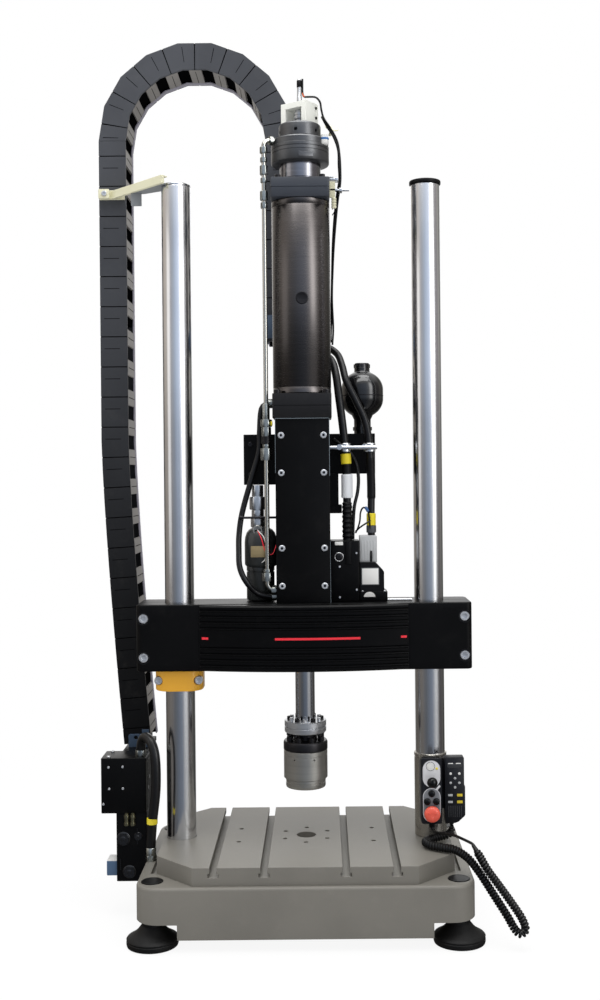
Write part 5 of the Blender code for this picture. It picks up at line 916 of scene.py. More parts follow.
def chainForm(starts, ends, d):
    # a segment runs from one corner of the band to the next, u along it and a across;
    # the links meet halfway, where a dark slab behind the gap paints the shade of the seam
    (m0, c0), (m1, c1) = starts, ends
    form = Form()

    def slab(u0, u1, a0, a1, y0, y1, mark):
        def spot(u, a, y):
            return (1 - u) * (m0 + a * c0) + u * (m1 + a * c1) + np.array((0, y, 0))
        form.boxes(np.stack([spot(u, a, y) for u in (u0, u1) for a, y in ((a0, y0), (a1, y0), (a1, y1), (a0, y1))], 1),
            mark)

    h, p, b = d["half"], d["plate"], d["bar"]
    for outer, inward in ((d["front"], 1), (d["back"], -1)):
        y = lambda depth: outer + inward * depth
        slab(0.0, 0.484, -h, h, y(0), y(p), 0)
        slab(0.516, 1.0, -h, h, y(0), y(p), 0)
        # painted shade: a dark slab under the gap where the links meet
        slab(0.478, 0.522, -h + 0.6, h - 0.6, y(1), y(p - 0.5), 1)
        # painted shade: a short dark strip on the plate stands for the shade in a groove
        slab(0.092, 0.118, -0.72 * h, 0.45 * h, y(-0.2), y(2), 1)
    low, high = d["front"] + p - 1, d["back"] - p + 1
    for side in (-1, 1):
        a0, a1 = sorted((side * h, side * (h - b)))
        slab(0.24, 0.76, a0, a1, low, high - 1, 2)
        # painted light: pale strips along both edges by the back plate, for the light on its inner flange
        slab(0.0, 1.0, *sorted((side * (h + 0.4), side * (h - 2))), high - 15, high + 1.2, 3)
        # painted shade: a narrow dark strip on each edge where the links meet
        slab(0.49, 0.51, *sorted((side * (h + 0.5), side * (h - 1))), low + 10, high - 12, 1)
    return form


def makeChain(d):
    # links along the standing run, then along the half circle and the moving leg, each one pitch long
    foot = d["centre"] - 4 - d["standing"] * d["pitch"]
    z = foot + np.arange(d["standing"] + 1) * d["pitch"]
    m, c = standingLine(z, d)
    form = chainForm((m[:-1], c[:-1]), (m[1:], c[1:]), d)
    finishes = [chainPlastic, chainShade, chainBar, chainLitRim]
    addEdges(makePiece("chainStandingRun", form, finishes, "frame", "chain_run_fixed"), 0.4, 1)

    turnLength = np.pi * d["radius"]
    travel = np.arange(d["arc"] + d["leg"] + 1) * turnLength / d["arc"]
    m, c = loopLine(travel, d)
    m[0, 2] -= 3.7
    form = chainForm((m[:-1], c[:-1]), (m[1:], c[1:]), d)
    # the inner leg slides in the standing run; a dark filler there and along the loop paints the shade seen through the
    # openings
    inner, wide = d["half"] - d["bar"] - 0.8, (d["back"] - d["front"]) / 2 - d["plate"] - 2
    low, top, middle = d["centre"] - 4 - d["hidden"] * d["pitch"], d["centre"] + 6, (d["front"] + d["back"]) / 2
    form.boxes([corners((d["x"] - inner, middle - wide, low), (d["x"] + inner, middle + wide, top))], 1)
    cells = [[(m[k] + a * c[k]) + (0, y, 0) for k in (i, i + 1)
        for a, y in ((-inner, middle - wide), (inner, middle - wide), (inner, middle + wide), (-inner, middle + wide))]
        for i in range(d["arc"] + d["leg"])]
    form.boxes(np.array(cells), 1)
    addEdges(makePiece("chainLoop", form, finishes, "chain_loop", "chain_loop"), 0.4, 1)


makeChain(chainDetails)
print("chain made")

# Crosshead: a rounded block with a bowed, fluted front

crossheadDetails = {"length": 680, "width": 115, "low": 505.5, "high": 640.5, "corner": 12, "edge": 3, "rodOpening": 32,
    "half": 211, "proud": 4, "bulge": 26, "flutePitch": 11.8, "fluteWidth": 6.2, "fluteDepth": 3.4, "firstFlute": 20,
    "flutes": 4, "boltX": 325, "boltRise": 39.5, "boltHead": 10, "redLine": ((-206, -193), (-58, 113), (195, 207)),
    "redHalf": 2.3}


def fasciaFront(x, d):
    # depth of the front: bowed towards the viewer, most in its middle
    return -d["width"] / 2 - d["proud"] - d["bulge"] * (1 - (x / d["half"]) ** 2)


def makeCrosshead(d):
    # a block with openings for columns and rod, and a front made of heights and depths
    middle = (d["low"] + d["high"]) / 2
    form = Form().block(d["length"], d["width"], d["low"], d["high"], d["corner"], d["edge"], 8, 4)
    block = makePiece("crossheadBlock", form, blackPaint, "crosshead", "crosshead")
    cuts = Form()
    sides = [move(s * columnDetails["x"]) for s in (-1, 1)]
    cuts.lathe([(columnBore, 400), (columnBore, 700)], 96, copies=sides)
    cuts.lathe([(d["rodOpening"], 400), (d["rodOpening"], 700)], 64)
    cuts.boxes([corners((min(s * 285.5, s * 360), -1.5, 400), (max(s * 285.5, s * 360), 1.5, 700)) for s in (-1, 1)])
    spots = [front(s * d["boltX"], -d["width"] / 2 + 14, middle + r * d["boltRise"]) for s in (-1, 1) for r in (-1, 1)]
    cuts.lathe([(10.8, 0), (10.8, 30)], 48, copies=spots)
    carve(block, cuts)
    addEdges(block, 0.6, 2)

    # the fluted front: heights up the face, each with its depth, carried across the bow
    h = (d["high"] - d["low"]) / 2 - 1
    z = np.unique(np.concatenate([np.linspace(-h, h, 40)] + [s * (d["firstFlute"] + i * d["flutePitch"]) +
        np.linspace(-0.55, 0.55, 13) * d["fluteWidth"] for i in range(d["flutes"]) for s in (-1, 1)]))
    depth = np.zeros_like(z)
    for i in range(d["flutes"]):
        away = (np.abs(z) - d["firstFlute"] - i * d["flutePitch"]) / (d["fluteWidth"] / 2)
        depth += d["fluteDepth"] * np.sqrt(np.clip(1 - away ** 2, 0, 1))
    rim = np.clip(1 - (h - np.abs(z)) / 4, 0, 1)
    depth = np.maximum(depth, 4 * (1 - np.sqrt(np.clip(1 - rim ** 2, 0, 1))))
    x = np.linspace(-1, 1, 61)
    x = d["half"] * np.concatenate([[-1, -0.9985], x[1:-1], [0.9985, 1]])
    face = np.stack([np.repeat(x[:, None], len(z), 1), fasciaFront(x, d)[:, None] + depth + 0 * x[:, None],
        np.repeat(z[None] + middle, len(x), 0)], -1)
    face[[0, -1], :, 1] += 1
    back = np.repeat(np.stack([x, 0 * x - d["width"] / 2 + 20, 0 * x], -1)[:, None], 2, 1)
    back[:, 0, 2], back[:, 1, 2] = middle + z[-1], middle + z[0]
    makePiece("crossheadFascia", Form().add(np.concatenate([face, back], 1)), fasciaPaint, "crosshead", "crosshead",
        sharp=34)

    # a thin red line let into the middle land
    line = Form()
    for x0, x1 in d["redLine"]:
        x = np.linspace(x0, x1, 24)
        y = fasciaFront(x, d)
        ring = [np.stack([x, y + dy, 0 * x + middle + dz], -1) for dy, dz in ((-0.3, -d["redHalf"]),
            (-0.3, d["redHalf"]), (2, d["redHalf"]), (2, -d["redHalf"]))]
        line.add(np.stack(ring, 1))
    makePiece("crossheadRedLine", line, redPaint, "crosshead")

    screws = Form()
    screws.screw(d["boltHead"], 12, copies=[s @ move(0, 0, 0.2) for s in spots])
    screws.lathe([(6, -90), (6, 1)], 24, copies=spots)
    makePiece("clampBolts", screws, screwSteel, "crosshead", "clamp_bolt_left_lower", "clamp_bolt_left_upper",
        "clamp_bolt_right_lower", "clamp_bolt_right_upper")
    rings = Form().lathe([(11.2, -0.4), (12.8, -0.4), (12.8, 0.5), (11.2, 0.5)], 48,
        copies=[s @ move(0, 0, 14) for s in spots], ring=True)
    makePiece("clampBoltRims", rings, darkSteel, "crosshead")


makeCrosshead(crossheadDetails)
print("crosshead made")


# Stand on the crosshead with its front cover

pedestalDetails = {"half": 55, "low": 640.8, "high": 1015.8, "wall": 14, "cover": 10, "screw": 6, "screwX": 43,
    "screwZ": (676, 752.5, 905, 981)}


def makePedestal(d):
    # a channel open to the front, closed by a plate with eight screws
    h, w, c = d["half"], d["wall"], d["cover"]
    channel = np.array([(-h, -h + c), (-h + w, -h + c), (-h + w, h - w), (h - w, h - w), (h - w, -h + c), (h, -h + c),
        (h, h), (-h, h)])
    form = Form().add(stacked([(channel, d["low"]), (channel, d["high"])]))
    addEdges(makePiece("standHousing", form, blackPaint, "crosshead", "pedestal_housing"), 1, 2)
    tall, middle = d["high"] - d["low"], (d["high"] + d["low"]) / 2
    plate = Form().block(2 * h, tall, 0, c, 1.2, 1, 3, 2, place=front(0, -h + c - 0.3, middle))
    makePiece("standCover", plate, [blackPaint, fittingSteel], "crosshead", "pedestal_cover")
    # bright metal strips along parts of the anodised plate's edges: painted highlights of its chamfers
    rows = [corners((-h - 0.2, -h - 0.5, d["high"] - 1.2), (h + 0.2, -h + 1, d["high"] + 0.1)),
        corners((h - 0.8, -h - 0.5, 898), (h + 0.2, -h + 1, d["high"])),
        corners((h - 0.6, -h - 0.5, d["low"]), (h + 0.2, -h + 1, 766)),
        corners((-h - 0.2, -h - 0.5, 905), (-h + 0.6, -h + 0.8, d["high"]))]
    makePiece("standCoverHighlights", Form().boxes(rows), fittingSteel, "crosshead")
    places = [front(s * d["screwX"], -h - 0.4, z) for s in (-1, 1) for z in d["screwZ"]]
    heads = Form().screw(d["screw"], 3.2, 0.46, copies=places)
    heads.lathe([(d["screw"] + 0.6, 0), (d["screw"] + 0.6, 0.7), (d["screw"], 0.9)], 36, copies=places)
    makePiece("standScrews", heads, screwSteel, "crosshead")
    # painted shade: dark hexagons set into the screws' sockets
    makePiece("standSocketShades", Form().lathe([(2.9, 0.8), (2.9, 3)], 6, copies=places), darkSteel, "crosshead")


makePedestal(pedestalDetails)

# Axial actuator: flange pairs, the tube between them, the neck above

cylinderDetails = {"flangeHalf": 60, "flangeCorner": 4, "lower": (1016.1, 1066.1), "tube": (1066.4, 1462.4),
    "upper": (1462.7, 1502.7), "neck": (1503, 1530), "tubeRadius": 60, "bore": 40, "rodBore": 20.3, "neckRadius": 42.5,
    "badge": (2.3, 1258, 13)}


def flangeGrid(low, high, half, corner):
    # a square plate with rounded corners, parted by a fine groove at half its height
    z = (low + high) / 2
    levels = [(1.2, low), (0.3, low + 0.4), (0, low + 1.2), (0, z - 0.9), (1, z - 0.3), (1, z + 0.3), (0, z + 0.9),
        (0, high - 1.2), (0.3, high - 0.4), (1.2, high)]
    return stacked([(roundedOutline(2 * half - 2 * i, 2 * half - 2 * i, corner, 5), h) for i, h in levels])


def makeCylinder(d):
    # round profiles carried round the axis, with a square flange at both ends of the tube
    for title, node, (low, high) in (("lowerFlange", "lower_flange", d["lower"]),
            ("upperFlange", "upper_flange", d["upper"])):
        # painted light and shade: the lower flange gets the darker copy of the black paint, the upper one the lighter
        finish = shadedFlangePaint if node == "lower_flange" else litFlangePaint
        piece = makePiece(title, Form().add(flangeGrid(low, high, d["flangeHalf"], d["flangeCorner"])), finish,
            "crosshead", node)
        carve(piece, Form().lathe([(d["rodBore"], low - 10), (d["rodBore"], high + 10)], 64))
    low, high = d["tube"]
    r, b = d["tubeRadius"], d["bore"]
    profile = [(b, low), (r - 1.2, low), (r, low + 1.2), (r, low + 12), (r - 0.3, low + 12.4), (r - 0.3, low + 13),
        (r, low + 13.4), (r, (low + high) / 2), (r, high - 13.4), (r - 0.3, high - 13), (r - 0.3, high - 12.4),
        (r, high - 12), (r, high - 1.2), (r - 1.2, high), (b, high)]
    makePiece("cylinderTube", Form().lathe(profile, 128, ring=True), gunmetal, "crosshead", "cylinder_tube")
    x, z, br = d["badge"]
    # a bare disc that follows the tube's round
    a, q = np.linspace(0, 2 * np.pi, 48, endpoint=False), np.array([1.0, 1.0, 0.97, 0.8, 0.76, 0.0])
    lift = np.array([-0.4, 0.4, 0.7, 0.7, 0.5, 0.5])
    px = x + br * q[:, None] * np.cos(a)
    ring = np.stack([px, -np.sqrt(r ** 2 - px ** 2) - lift[:, None], z + br * q[:, None] * np.sin(a)], -1)
    makePiece("tubeBadge", Form().add(ring), darkSteel, "crosshead")
    low, high = d["neck"]
    r, b = d["neckRadius"], d["rodBore"]
    profile = [(b, low), (r, low), (r, low + 4), (r - 0.8, low + 4.8), (r - 0.8, low + 5.6), (r, low + 6.4), (r, high),
        (b, high)]
    makePiece("bearingNeck", Form().lathe(profile, 96, ring=True), neckSteel, "crosshead", "bearing_neck")
    bolts = Form()
    for radius, height, apart, top in ((6.2, 8, 45, d["upper"][1]), (7, 8, 50, d["lower"][1])):
        bolts.screw(radius, height, copies=[move(sx * apart, sy * apart, top - 0.2) for sx in (-1, 1)
            for sy in (-1, 1)])
    makePiece("flangeBolts", bolts, darkSteel, "crosshead")


# Rotary actuator: two stepped rounds with seams, holes for a hook spanner, an ear at the back left

rotaryDetails = {"foot": 1530.3, "height": 46, "outer": 60, "chamber": 46, "bore": 20.3, "hub": 28.3, "floor": 10,
    "cover": (1576.6, 1621.6), "coverRadius": 43.5, "lip": 59, "hole": 3.5}


def makeRotary(d):
    # a cup with the fixed vane in it and a stepped cover over it, both carried round the axis
    z, h, o = d["foot"], d["height"], d["outer"]
    seams = [(o, 30), (o - 1, 30.4), (o - 1, 31), (o, 31.4), (o, 37.5), (o - 1.2, 38), (o - 1.2, 38.8), (o, 39.3),
        (o, h - 1), (o - 1, h)]
    profile = [(d["bore"], 0.4), (41.8, 0.4), (41.8, 8.8), (o - 3.4, 9.4), (o - 1.2, 10.2),
        (o, 12.2)] + seams + [(d["chamber"], h), (d["chamber"], d["floor"]), (d["bore"], d["floor"])]
    form = Form().lathe([(r, z + k) for r, k in profile], 112, ring=True)
    form.boxes([corners((-57, 4, z + h - 4), (-50.5, 26, z + h + 24))])
    form.lathe([(40, z - 0.3), (42.5, z - 0.3), (42.5, z + 9.2), (40, z + 9.2)], 96, mark=1, ring=True)
    # the fixed vane inside, between the chamber's wall and the rotor's hub
    a = np.radians(180 + np.linspace(-21, 21, 8))
    vane = np.concatenate([np.stack([48 * np.cos(a), 48 * np.sin(a)], -1),
        np.stack([d["hub"] * np.cos(a), d["hub"] * np.sin(a)], -1)[::-1]])
    form.add(stacked([(vane, z + k) for k in (d["floor"] - 2, h - 1)]))
    makePiece("rotaryHousing", form, [rotarySteel, neckSteel], "crosshead", "rotary_housing")

    low, high = d["cover"]
    c, inner, roof = d["coverRadius"], d["hub"], high - 12
    profile = [(inner, low), (d["lip"], low), (d["lip"], low + 10.5), (d["lip"] - 2, low + 13), (c, low + 14),
        (c, low + 17), (c - 0.5, low + 17.4), (c - 0.5, low + 18), (c, low + 18.4), (c, high - 4),
        (c - 0.8, high - 1.6), (c - 2.2, high - 0.2), (c - 4, high), (6, high), (6, roof), (inner, roof)]
    cover = makePiece("rotaryCover", Form().lathe(profile, 112, ring=True), rotarySteel, "crosshead", "rotary_cover")
    cuts = Form()
    for i in range(6):
        cuts.lathe([(d["hole"], c - 10), (d["hole"], c + 20)], 24,
            place=turn("z", 20 + 60 * i) @ toRight(0, 0, low + 27.9))
    carve(cover, cuts)
    heads = Form().screw(3.4, 1.6, 0.5, copies=[move(px, py, low + 12.8) for px, py in ringed(0, 0, 52, 12, 15)])
    makePiece("rotaryScrews", heads, darkSteel, "crosshead")
    flat = Form().block(30, 10, 0, 1.2, 1, 0.3, 3, 2, place=turn("z", 12) @ front(0, -o + 0.6, z + 18.5))
    makePiece("rotaryFlat", flat, rotarySteel, "crosshead")


makeCylinder(cylinderDetails)
makeRotary(rotaryDetails)

# Bracket and transducer on top

bracketDetails = {"foot": 1621.9, "halfX": 31.5, "halfY": 22.5, "height": 44, "wall": 12, "turn": -34}


def makeTransducer(d):
    # an arch turned by its angle on the cover, and the sensor standing on its foot
    w, x, h = d["wall"], d["halfX"], d["height"]
    arch = np.array([(-x, 0), (-x + w, 0), (-x + w, h - w), (x - w, h - w), (x - w, 0), (x, 0), (x, h), (-x, h)])
    grid = carriedBack(arch, (-d["halfY"], d["halfY"]))
    seat = turn("z", d["turn"])
    piece = makePiece("sensorBracket", Form().add(grid, place=move(0, 0, d["foot"]) @ seat), bracketWhite, "crosshead",
        "sensor_bracket")
    carve(piece, Form().lathe([(5.6, 1640), (5.6, 1700)], 36))
    addEdges(piece, 0.8, 2)
    screws = Form().screw(2.8, 2.4, copies=[seat @ toRight(x - 0.2, sy, d["foot"] + sz)
        for sy, sz in ((13, 34), (13, 14))])
    makePiece("bracketScrews", screws, darkSteel, "crosshead")
    z, top = d["foot"] - 0.3, d["foot"] + h - w - 0.3
    head = [(12, z + 0.3), (12, z + 6), (10.5, z + 6.5), (8, z + 7), (8, z + 13.5), (12, z + 14), (12.4, z + 16),
        (12.4, z + 19), (10.8, z + 19.5), (10.8, z + 21), (12, z + 21.5), (12, z + 26), (9, z + 26.5), (9, top)]
    rod = [(5.2, top), (5.2, z + 60), (4.7, z + 61), (4.7, z + 90), (4, z + 90.5), (3.6, z + 97), (2.5, z + 98.5)]
    makePiece("positionTransducer", Form().lathe(head + rod, 48), brightSteel, "crosshead", "position_transducer")
    cap = Form().lathe([(5, z + 80), (5.4, z + 80.6), (5.4, z + 93.5), (4.9, z + 94.2)], 32)
    cap.lathe([(8.4, z + 44), (9, z + 44.6), (8.4, z + 48), (6.4, z + 49.5)], 6)
    makePiece("transducerSleeve", cap, blackPlastic, "crosshead")


makeTransducer(bracketDetails)
print("actuator made")


# Load train: polished rod, flange pair, black adapter, load cell

trainDetails = {"rod": 20, "rodLow": 384.5, "rodHigh": 1514.8, "piston": (1234.4, 1294.4, 39.3),
    "coupling": (370.5, 395.5, 43), "adapter": (335.2, 370.2, 45.5, 24), "cell": (257.9, 334.9, 45, 41)}


def makeLoadTrain(d):
    # round profiles one under the other: rod with piston, coupling, adapter, load cell
    r, (p0, p1, pr) = d["rod"], d["piston"]
    outer = [(r - 1, d["rodLow"]), (r, d["rodLow"] + 1), (r, p0), (pr - 1, p0), (pr, p0 + 1), (pr, p0 + 24),
        (pr - 2, p0 + 24.5), (pr - 2, p0 + 28), (pr, p0 + 28.5), (pr, p1 - 1), (pr - 1, p1), (r, p1),
        (r, d["rodHigh"] - 60), (r - 0.5, d["rodHigh"] - 60), (r - 0.5, d["rodHigh"]), (12.7, d["rodHigh"])]
    form = Form().add(np.concatenate([latheGrid(outer, 96), latheGrid([(12.7, d["rodHigh"] - 152)], 96)]))
    makePiece("pistonRod", form, rodChrome, "rod", "piston_rod")

    low, high, c = d["coupling"]
    g = low + 11.5
    profile = [(c - 4, low), (c - 1, low + 0.8), (c, low + 3), (c, g - 0.6), (c - 0.6, g), (c - 4, g), (c - 4, g + 2),
        (c - 0.6, g + 2), (c, g + 2.6), (c, high - 1.2), (c - 1.2, high), (21.5, high), (20.3, high - 1),
        (20.3, high - 11.3)]
    makePiece("rodCoupling", Form().lathe(profile, 96), brightSteel, "rod", "rod_coupling")
    screws = Form().screw(5.2, 7.2, copies=[move(x, y, high - 0.2) for x, y in ringed(0, 0, 32.5, 6, 0)])
    screws.screw(4.6, 6, copies=[below(x, y, low + 0.2) for x, y in ringed(0, 0, 35, 8, 10)])
    makePiece("couplingScrews", screws, darkSteel, "rod")
    studs = Form().lathe([(4, 0), (4, 6.2), (3, 7)], 20, copies=[move(x, y, high - 0.2)
        for x, y in ringed(0, 0, 32.5, 6, 30)])
    makePiece("couplingStuds", studs, screwSteel, "rod")

    low, high, f, n = d["adapter"]
    profile = [(f - 0.8, low), (f, low + 1), (f, low + 14.5), (f - 0.6, low + 16.5), (f - 2, low + 18.6),
        (f - 3.5, low + 19), (n + 1.5, low + 19), (n, low + 20.5), (n, low + 26), (n - 0.8, low + 26.5),
        (n - 0.8, low + 27.5), (n, low + 28), (n, high)]
    makePiece("loadCellAdapter", Form().lathe(profile, 96), darkSteel, "rod", "load_cell_adapter")
    heads = Form().screw(6.6, 9.5, copies=[move(x, y, low + 18.8) for x, y in ringed(0, 0, 34.5, 8, 22.5)])
    makePiece("adapterScrews", heads, darkSteel, "rod")

    low, high, c, s = d["cell"]
    step = low + 19
    profile = [(14.8, low + 24), (15, low + 0.8), (15.8, low), (s - 3, low), (s - 0.8, low + 0.8), (s, low + 3),
        (s, low + 10.5), (s - 0.9, low + 11.2), (s - 0.9, low + 12.4), (s, low + 13.1), (s, step - 0.6),
        (s + 0.8, step), (c - 1.2, step), (c, step + 1.2), (c, high - 10), (c - 0.6, high - 9.6), (c - 0.6, high - 8.8),
        (c, high - 8.4), (c, high - 1), (c - 1, high)]
    piece = makePiece("loadCell", Form().lathe(profile, 112), warmSteel, "rod", "load_cell")
    cuts = Form()
    for angle in (-30, 24):
        cuts.lathe([(1.9, c - 6), (1.9, c + 10)], 20, place=turn("z", angle) @ front(0, 0, high - 15))
    cuts.lathe([(2, -6), (2, 10)], 20, copies=[below(x, y, low) for x, y in ringed(0, 0, 30, 6, 0)])
    carve(piece, cuts)


makeLoadTrain(trainDetails)
print("load train made")

# Hydraulics on the left of the stand: manifold plate behind, filter, pressure pipe, return hose

leftDetails = {"bowl": (-90.5, 18, 29), "head": (-89.3, 12), "pipe": (-73.5, -36, 6.5), "bend": 14}


def hexProfile(radius, low, high):
    # six flats with their corners turned off at both ends
    a = np.linspace(0, 2 * np.pi, 36, endpoint=False)
    flat = radius * math.cos(math.pi / 6) / np.cos(a % (np.pi / 3) - np.pi / 6)
    rings = [(np.minimum(flat, radius * 0.9), low), (flat, low + radius * 0.1), (flat, high - radius * 0.1),
        (np.minimum(flat, radius * 0.9), high)]
    return polarGrid(rings, a)


def bentPath(points, radius, steps=7):
    # straight runs joined by arcs of one radius
    p = np.asarray(points, float)
    path = [p[0]]
    for a, b, c in zip(p, p[1:], p[2:]):
        back, ahead = (a - b) / np.linalg.norm(a - b), (c - b) / np.linalg.norm(c - b)
        bend = math.pi - math.acos(np.clip(back @ ahead, -1, 1))
        centre = b + (back + ahead) / np.linalg.norm(back + ahead) * radius / math.cos(bend / 2)
        out = b + back * radius * math.tan(bend / 2) - centre
        for t in np.linspace(0, bend, steps):
            path.append(centre + math.cos(t) * out - math.sin(t) * radius * back)
    return np.array(path + [p[-1]])


def makeManifold():
    # a plate behind the stand; its right half is cut shorter
    outline = np.array([(-126, 880.5), (-52, 880.5), (-52, 890), (54, 890), (54, 902), (152, 902), (152, 987),
        (-126, 987)])
    form = Form().add(carriedBack(outline, (55.3, 99.3)))
    addEdges(makePiece("valveManifold", form, blackPaint, "crosshead", "valve_manifold"), 1.2, 2)
    step = Form().boxes([corners((54.5, 15, 836), (73.5, 56, 903)), corners((54.5, 15, 820), (80, 54, 838))])
    addEdges(makePiece("manifoldStep", step, blackPaint, "crosshead"), 0.8, 1)
    plugs = Form()
    for x, z in ((-112, 966), (-112, 902), (-75, 966), (139, 972), (139, 918)):
        plugs.screw(5, 3, 0.5, place=front(x, 55.5, z))
    makePiece("manifoldScrews", plugs, darkSteel, "crosshead")


def makeFilter(d):
    # bowl and head are two round profiles side by side; fittings are stacked on the head
    x, y, r = d["bowl"]
    bowl = [(r - 6, 640.9), (r - 1, 642.5), (r, 645), (r, 700), (r - 1.2, 700.8), (r - 1.2, 702.4), (r, 703.2),
        (r, 715), (r - 2, 718)]
    hx, hy = d["head"]
    head = [(30, 712), (32.5, 714.5), (33.5, 718), (33.5, 762), (32.5, 772), (29.5, 781.5), (24.5, 788), (17, 792.5),
        (13.5, 793.8)]
    form = Form().lathe(bowl, 80, place=move(x, y)).lathe(head, 80, place=move(hx, hy))
    makePiece("filterBody", form, filterPaint, "crosshead", "pressure_filter")
    stack = Form()
    sx, sy = hx - 6, hy + 8
    for radius, low, high in ((15, 792.5, 813), (13, 813, 829), (17.2, 829, 856), (12.2, 856, 880)):
        stack.hexagon(radius, low, high, place=move(sx, sy))
    stack.lathe([(10.5, 790), (10.5, 880)], 32, place=move(sx, sy))
    makePiece("filterFittings", stack, clampSteel, "crosshead", "pressure_filter")
    # electric port on the head with its three thin wires
    port = front(hx - 5, hy - 21.5, 788)
    boss = Form().lathe([(10, -12), (10, 4.6), (9.2, 5.5), (7.4, 5.5), (7, 1), (3, 0.4)], 40, place=port)
    makePiece("filterPort", boss, warmSteel, "crosshead")
    plate = Form().block(30, 23, 0, 1.2, 1, 0.3, 3, 2, place=front(hx - 4, hy - 33.2, 744))
    makePiece("filterPlate", plate, bareBrassPlate, "crosshead")
    starts = [(hx - 5, hy - 26, 787.5)]
    red = hoseGrid(starts + [(hx + 4, hy - 42, 770), (hx + 9, hy - 46, 752), (hx + 16, hy - 44, 739),
        (hx + 27, hy - 40, 741), (hx + 33.5, hy - 34, 758)], 2, 3, 8)
    white = hoseGrid(starts + [(hx + 8, hy - 43, 775), (hx + 12, hy - 47, 760), (hx + 13, hy - 46, 742),
        (hx + 10, hy - 42, 728), (hx + 4, hy - 34.5, 722)], 2, 3, 8)
    makePiece("sensorWires", Form().add(red, 0).add(white, 1), [redPaint, labelWhite], "crosshead")


def makePipe(d):
    # a tube with two bends from the rotary actuator down to the stand, nuts along its straight run
    x, y, r = d["pipe"]
    out = np.array((x, y)) / math.hypot(x, y) * 60.6
    up, down = 1584, 666.5
    path = bentPath([(*out, up), (x, y, up), (x, y, down), (-55.3, y, down)], d["bend"], 9)
    form = Form().add(tubeGrid(np.vstack([path[:10], [(x, y, 990)]]), r * 0.72,
        20)).add(tubeGrid(np.vstack([[(x, y, 990)], path[10:]]), r * 0.78, 20))
    makePiece("pressurePipe", form, pipeSteel, "crosshead", "pressure_pipe")
    nuts = Form()
    for low, high, wide in ((1556, 1569, 8), (1538, 1548, 7.2), (1512, 1531, 8.2), (1496, 1506, 7), (1460, 1479, 8.2),
            (1444, 1456, 7.2), (999, 1014, 12), (980, 998.5, 10), (956, 964, 7.6), (931, 955.5, 11.8),
            (685, 701.5, 11.6), (701.5, 709, 8.6)):
        nuts.hexagon(wide, low, high, place=move(x, y))
    nuts.lathe([(7, 1013.5), (7.4, 1015), (7.4, 1044), (6.2, 1047)], 28, place=move(x, y))
    nuts.hexagon(10.2, 0.3, 10, place=toLeft(-55.3, y, down))
    nuts.hexagon(10, 0.4, 9, place=move(*out, up) @ turn("z", math.degrees(math.atan2(y, x))) @ turn("y", 90))
    makePiece("pipeNuts", nuts, fittingSteel, "crosshead", "pressure_pipe")
    dark = Form().lathe([(9, 964), (9.8, 964.8), (9.8, 979.2), (9, 980)], 28, place=move(x, y))
    makePiece("pipeValve", dark, darkSteel, "crosshead")
    spot = Form().lathe([(4, 0), (4.4, 0.6), (4.4, 3), (3.8, 3.6)], 24, place=toRight(x + 9.5, y - 4, 1006))
    makePiece("pipeCap", spot, labelYellow, "crosshead")


hoseDetails = {"return": (12, [(-60.3, 26, 1050.2), (-72, 26, 1050.2), (-86, 25, 1038.2), (-90, 22, 990),
    (-91.5, 20, 950), (-108, 16, 892), (-127, 10, 824), (-133.5, 4, 780), (-133.5, -10, 745), (-131, -22, 712),
    (-118, -30, 684), (-98, -20, 660), (-74, -16, 652), (-55.3, -16, 652)]),
    "front": (16.5, [(-4, 83, 1205.2), (-4, 83, 1189.2), (8, 82, 1170), (36, 74, 1158), (60, 48, 1143), (70, 22, 1110),
    (76, 6, 1060), (82, 0, 1010), (87, 0, 960), (90.55, 0, 900), (90.55, 0, 843.6)]),
    "rear": (15, [(18, 84, 1205.2), (18, 84, 1193.2), (30, 86, 1183), (52, 82, 1174), (74, 64, 1156), (84, 38, 1128),
    (92, 18, 1094), (112, 10, 1052), (130, 8, 1010), (138, 6, 960), (141, 4, 880), (140.1, 0, 820), (140.1, 0, 775.1)])}


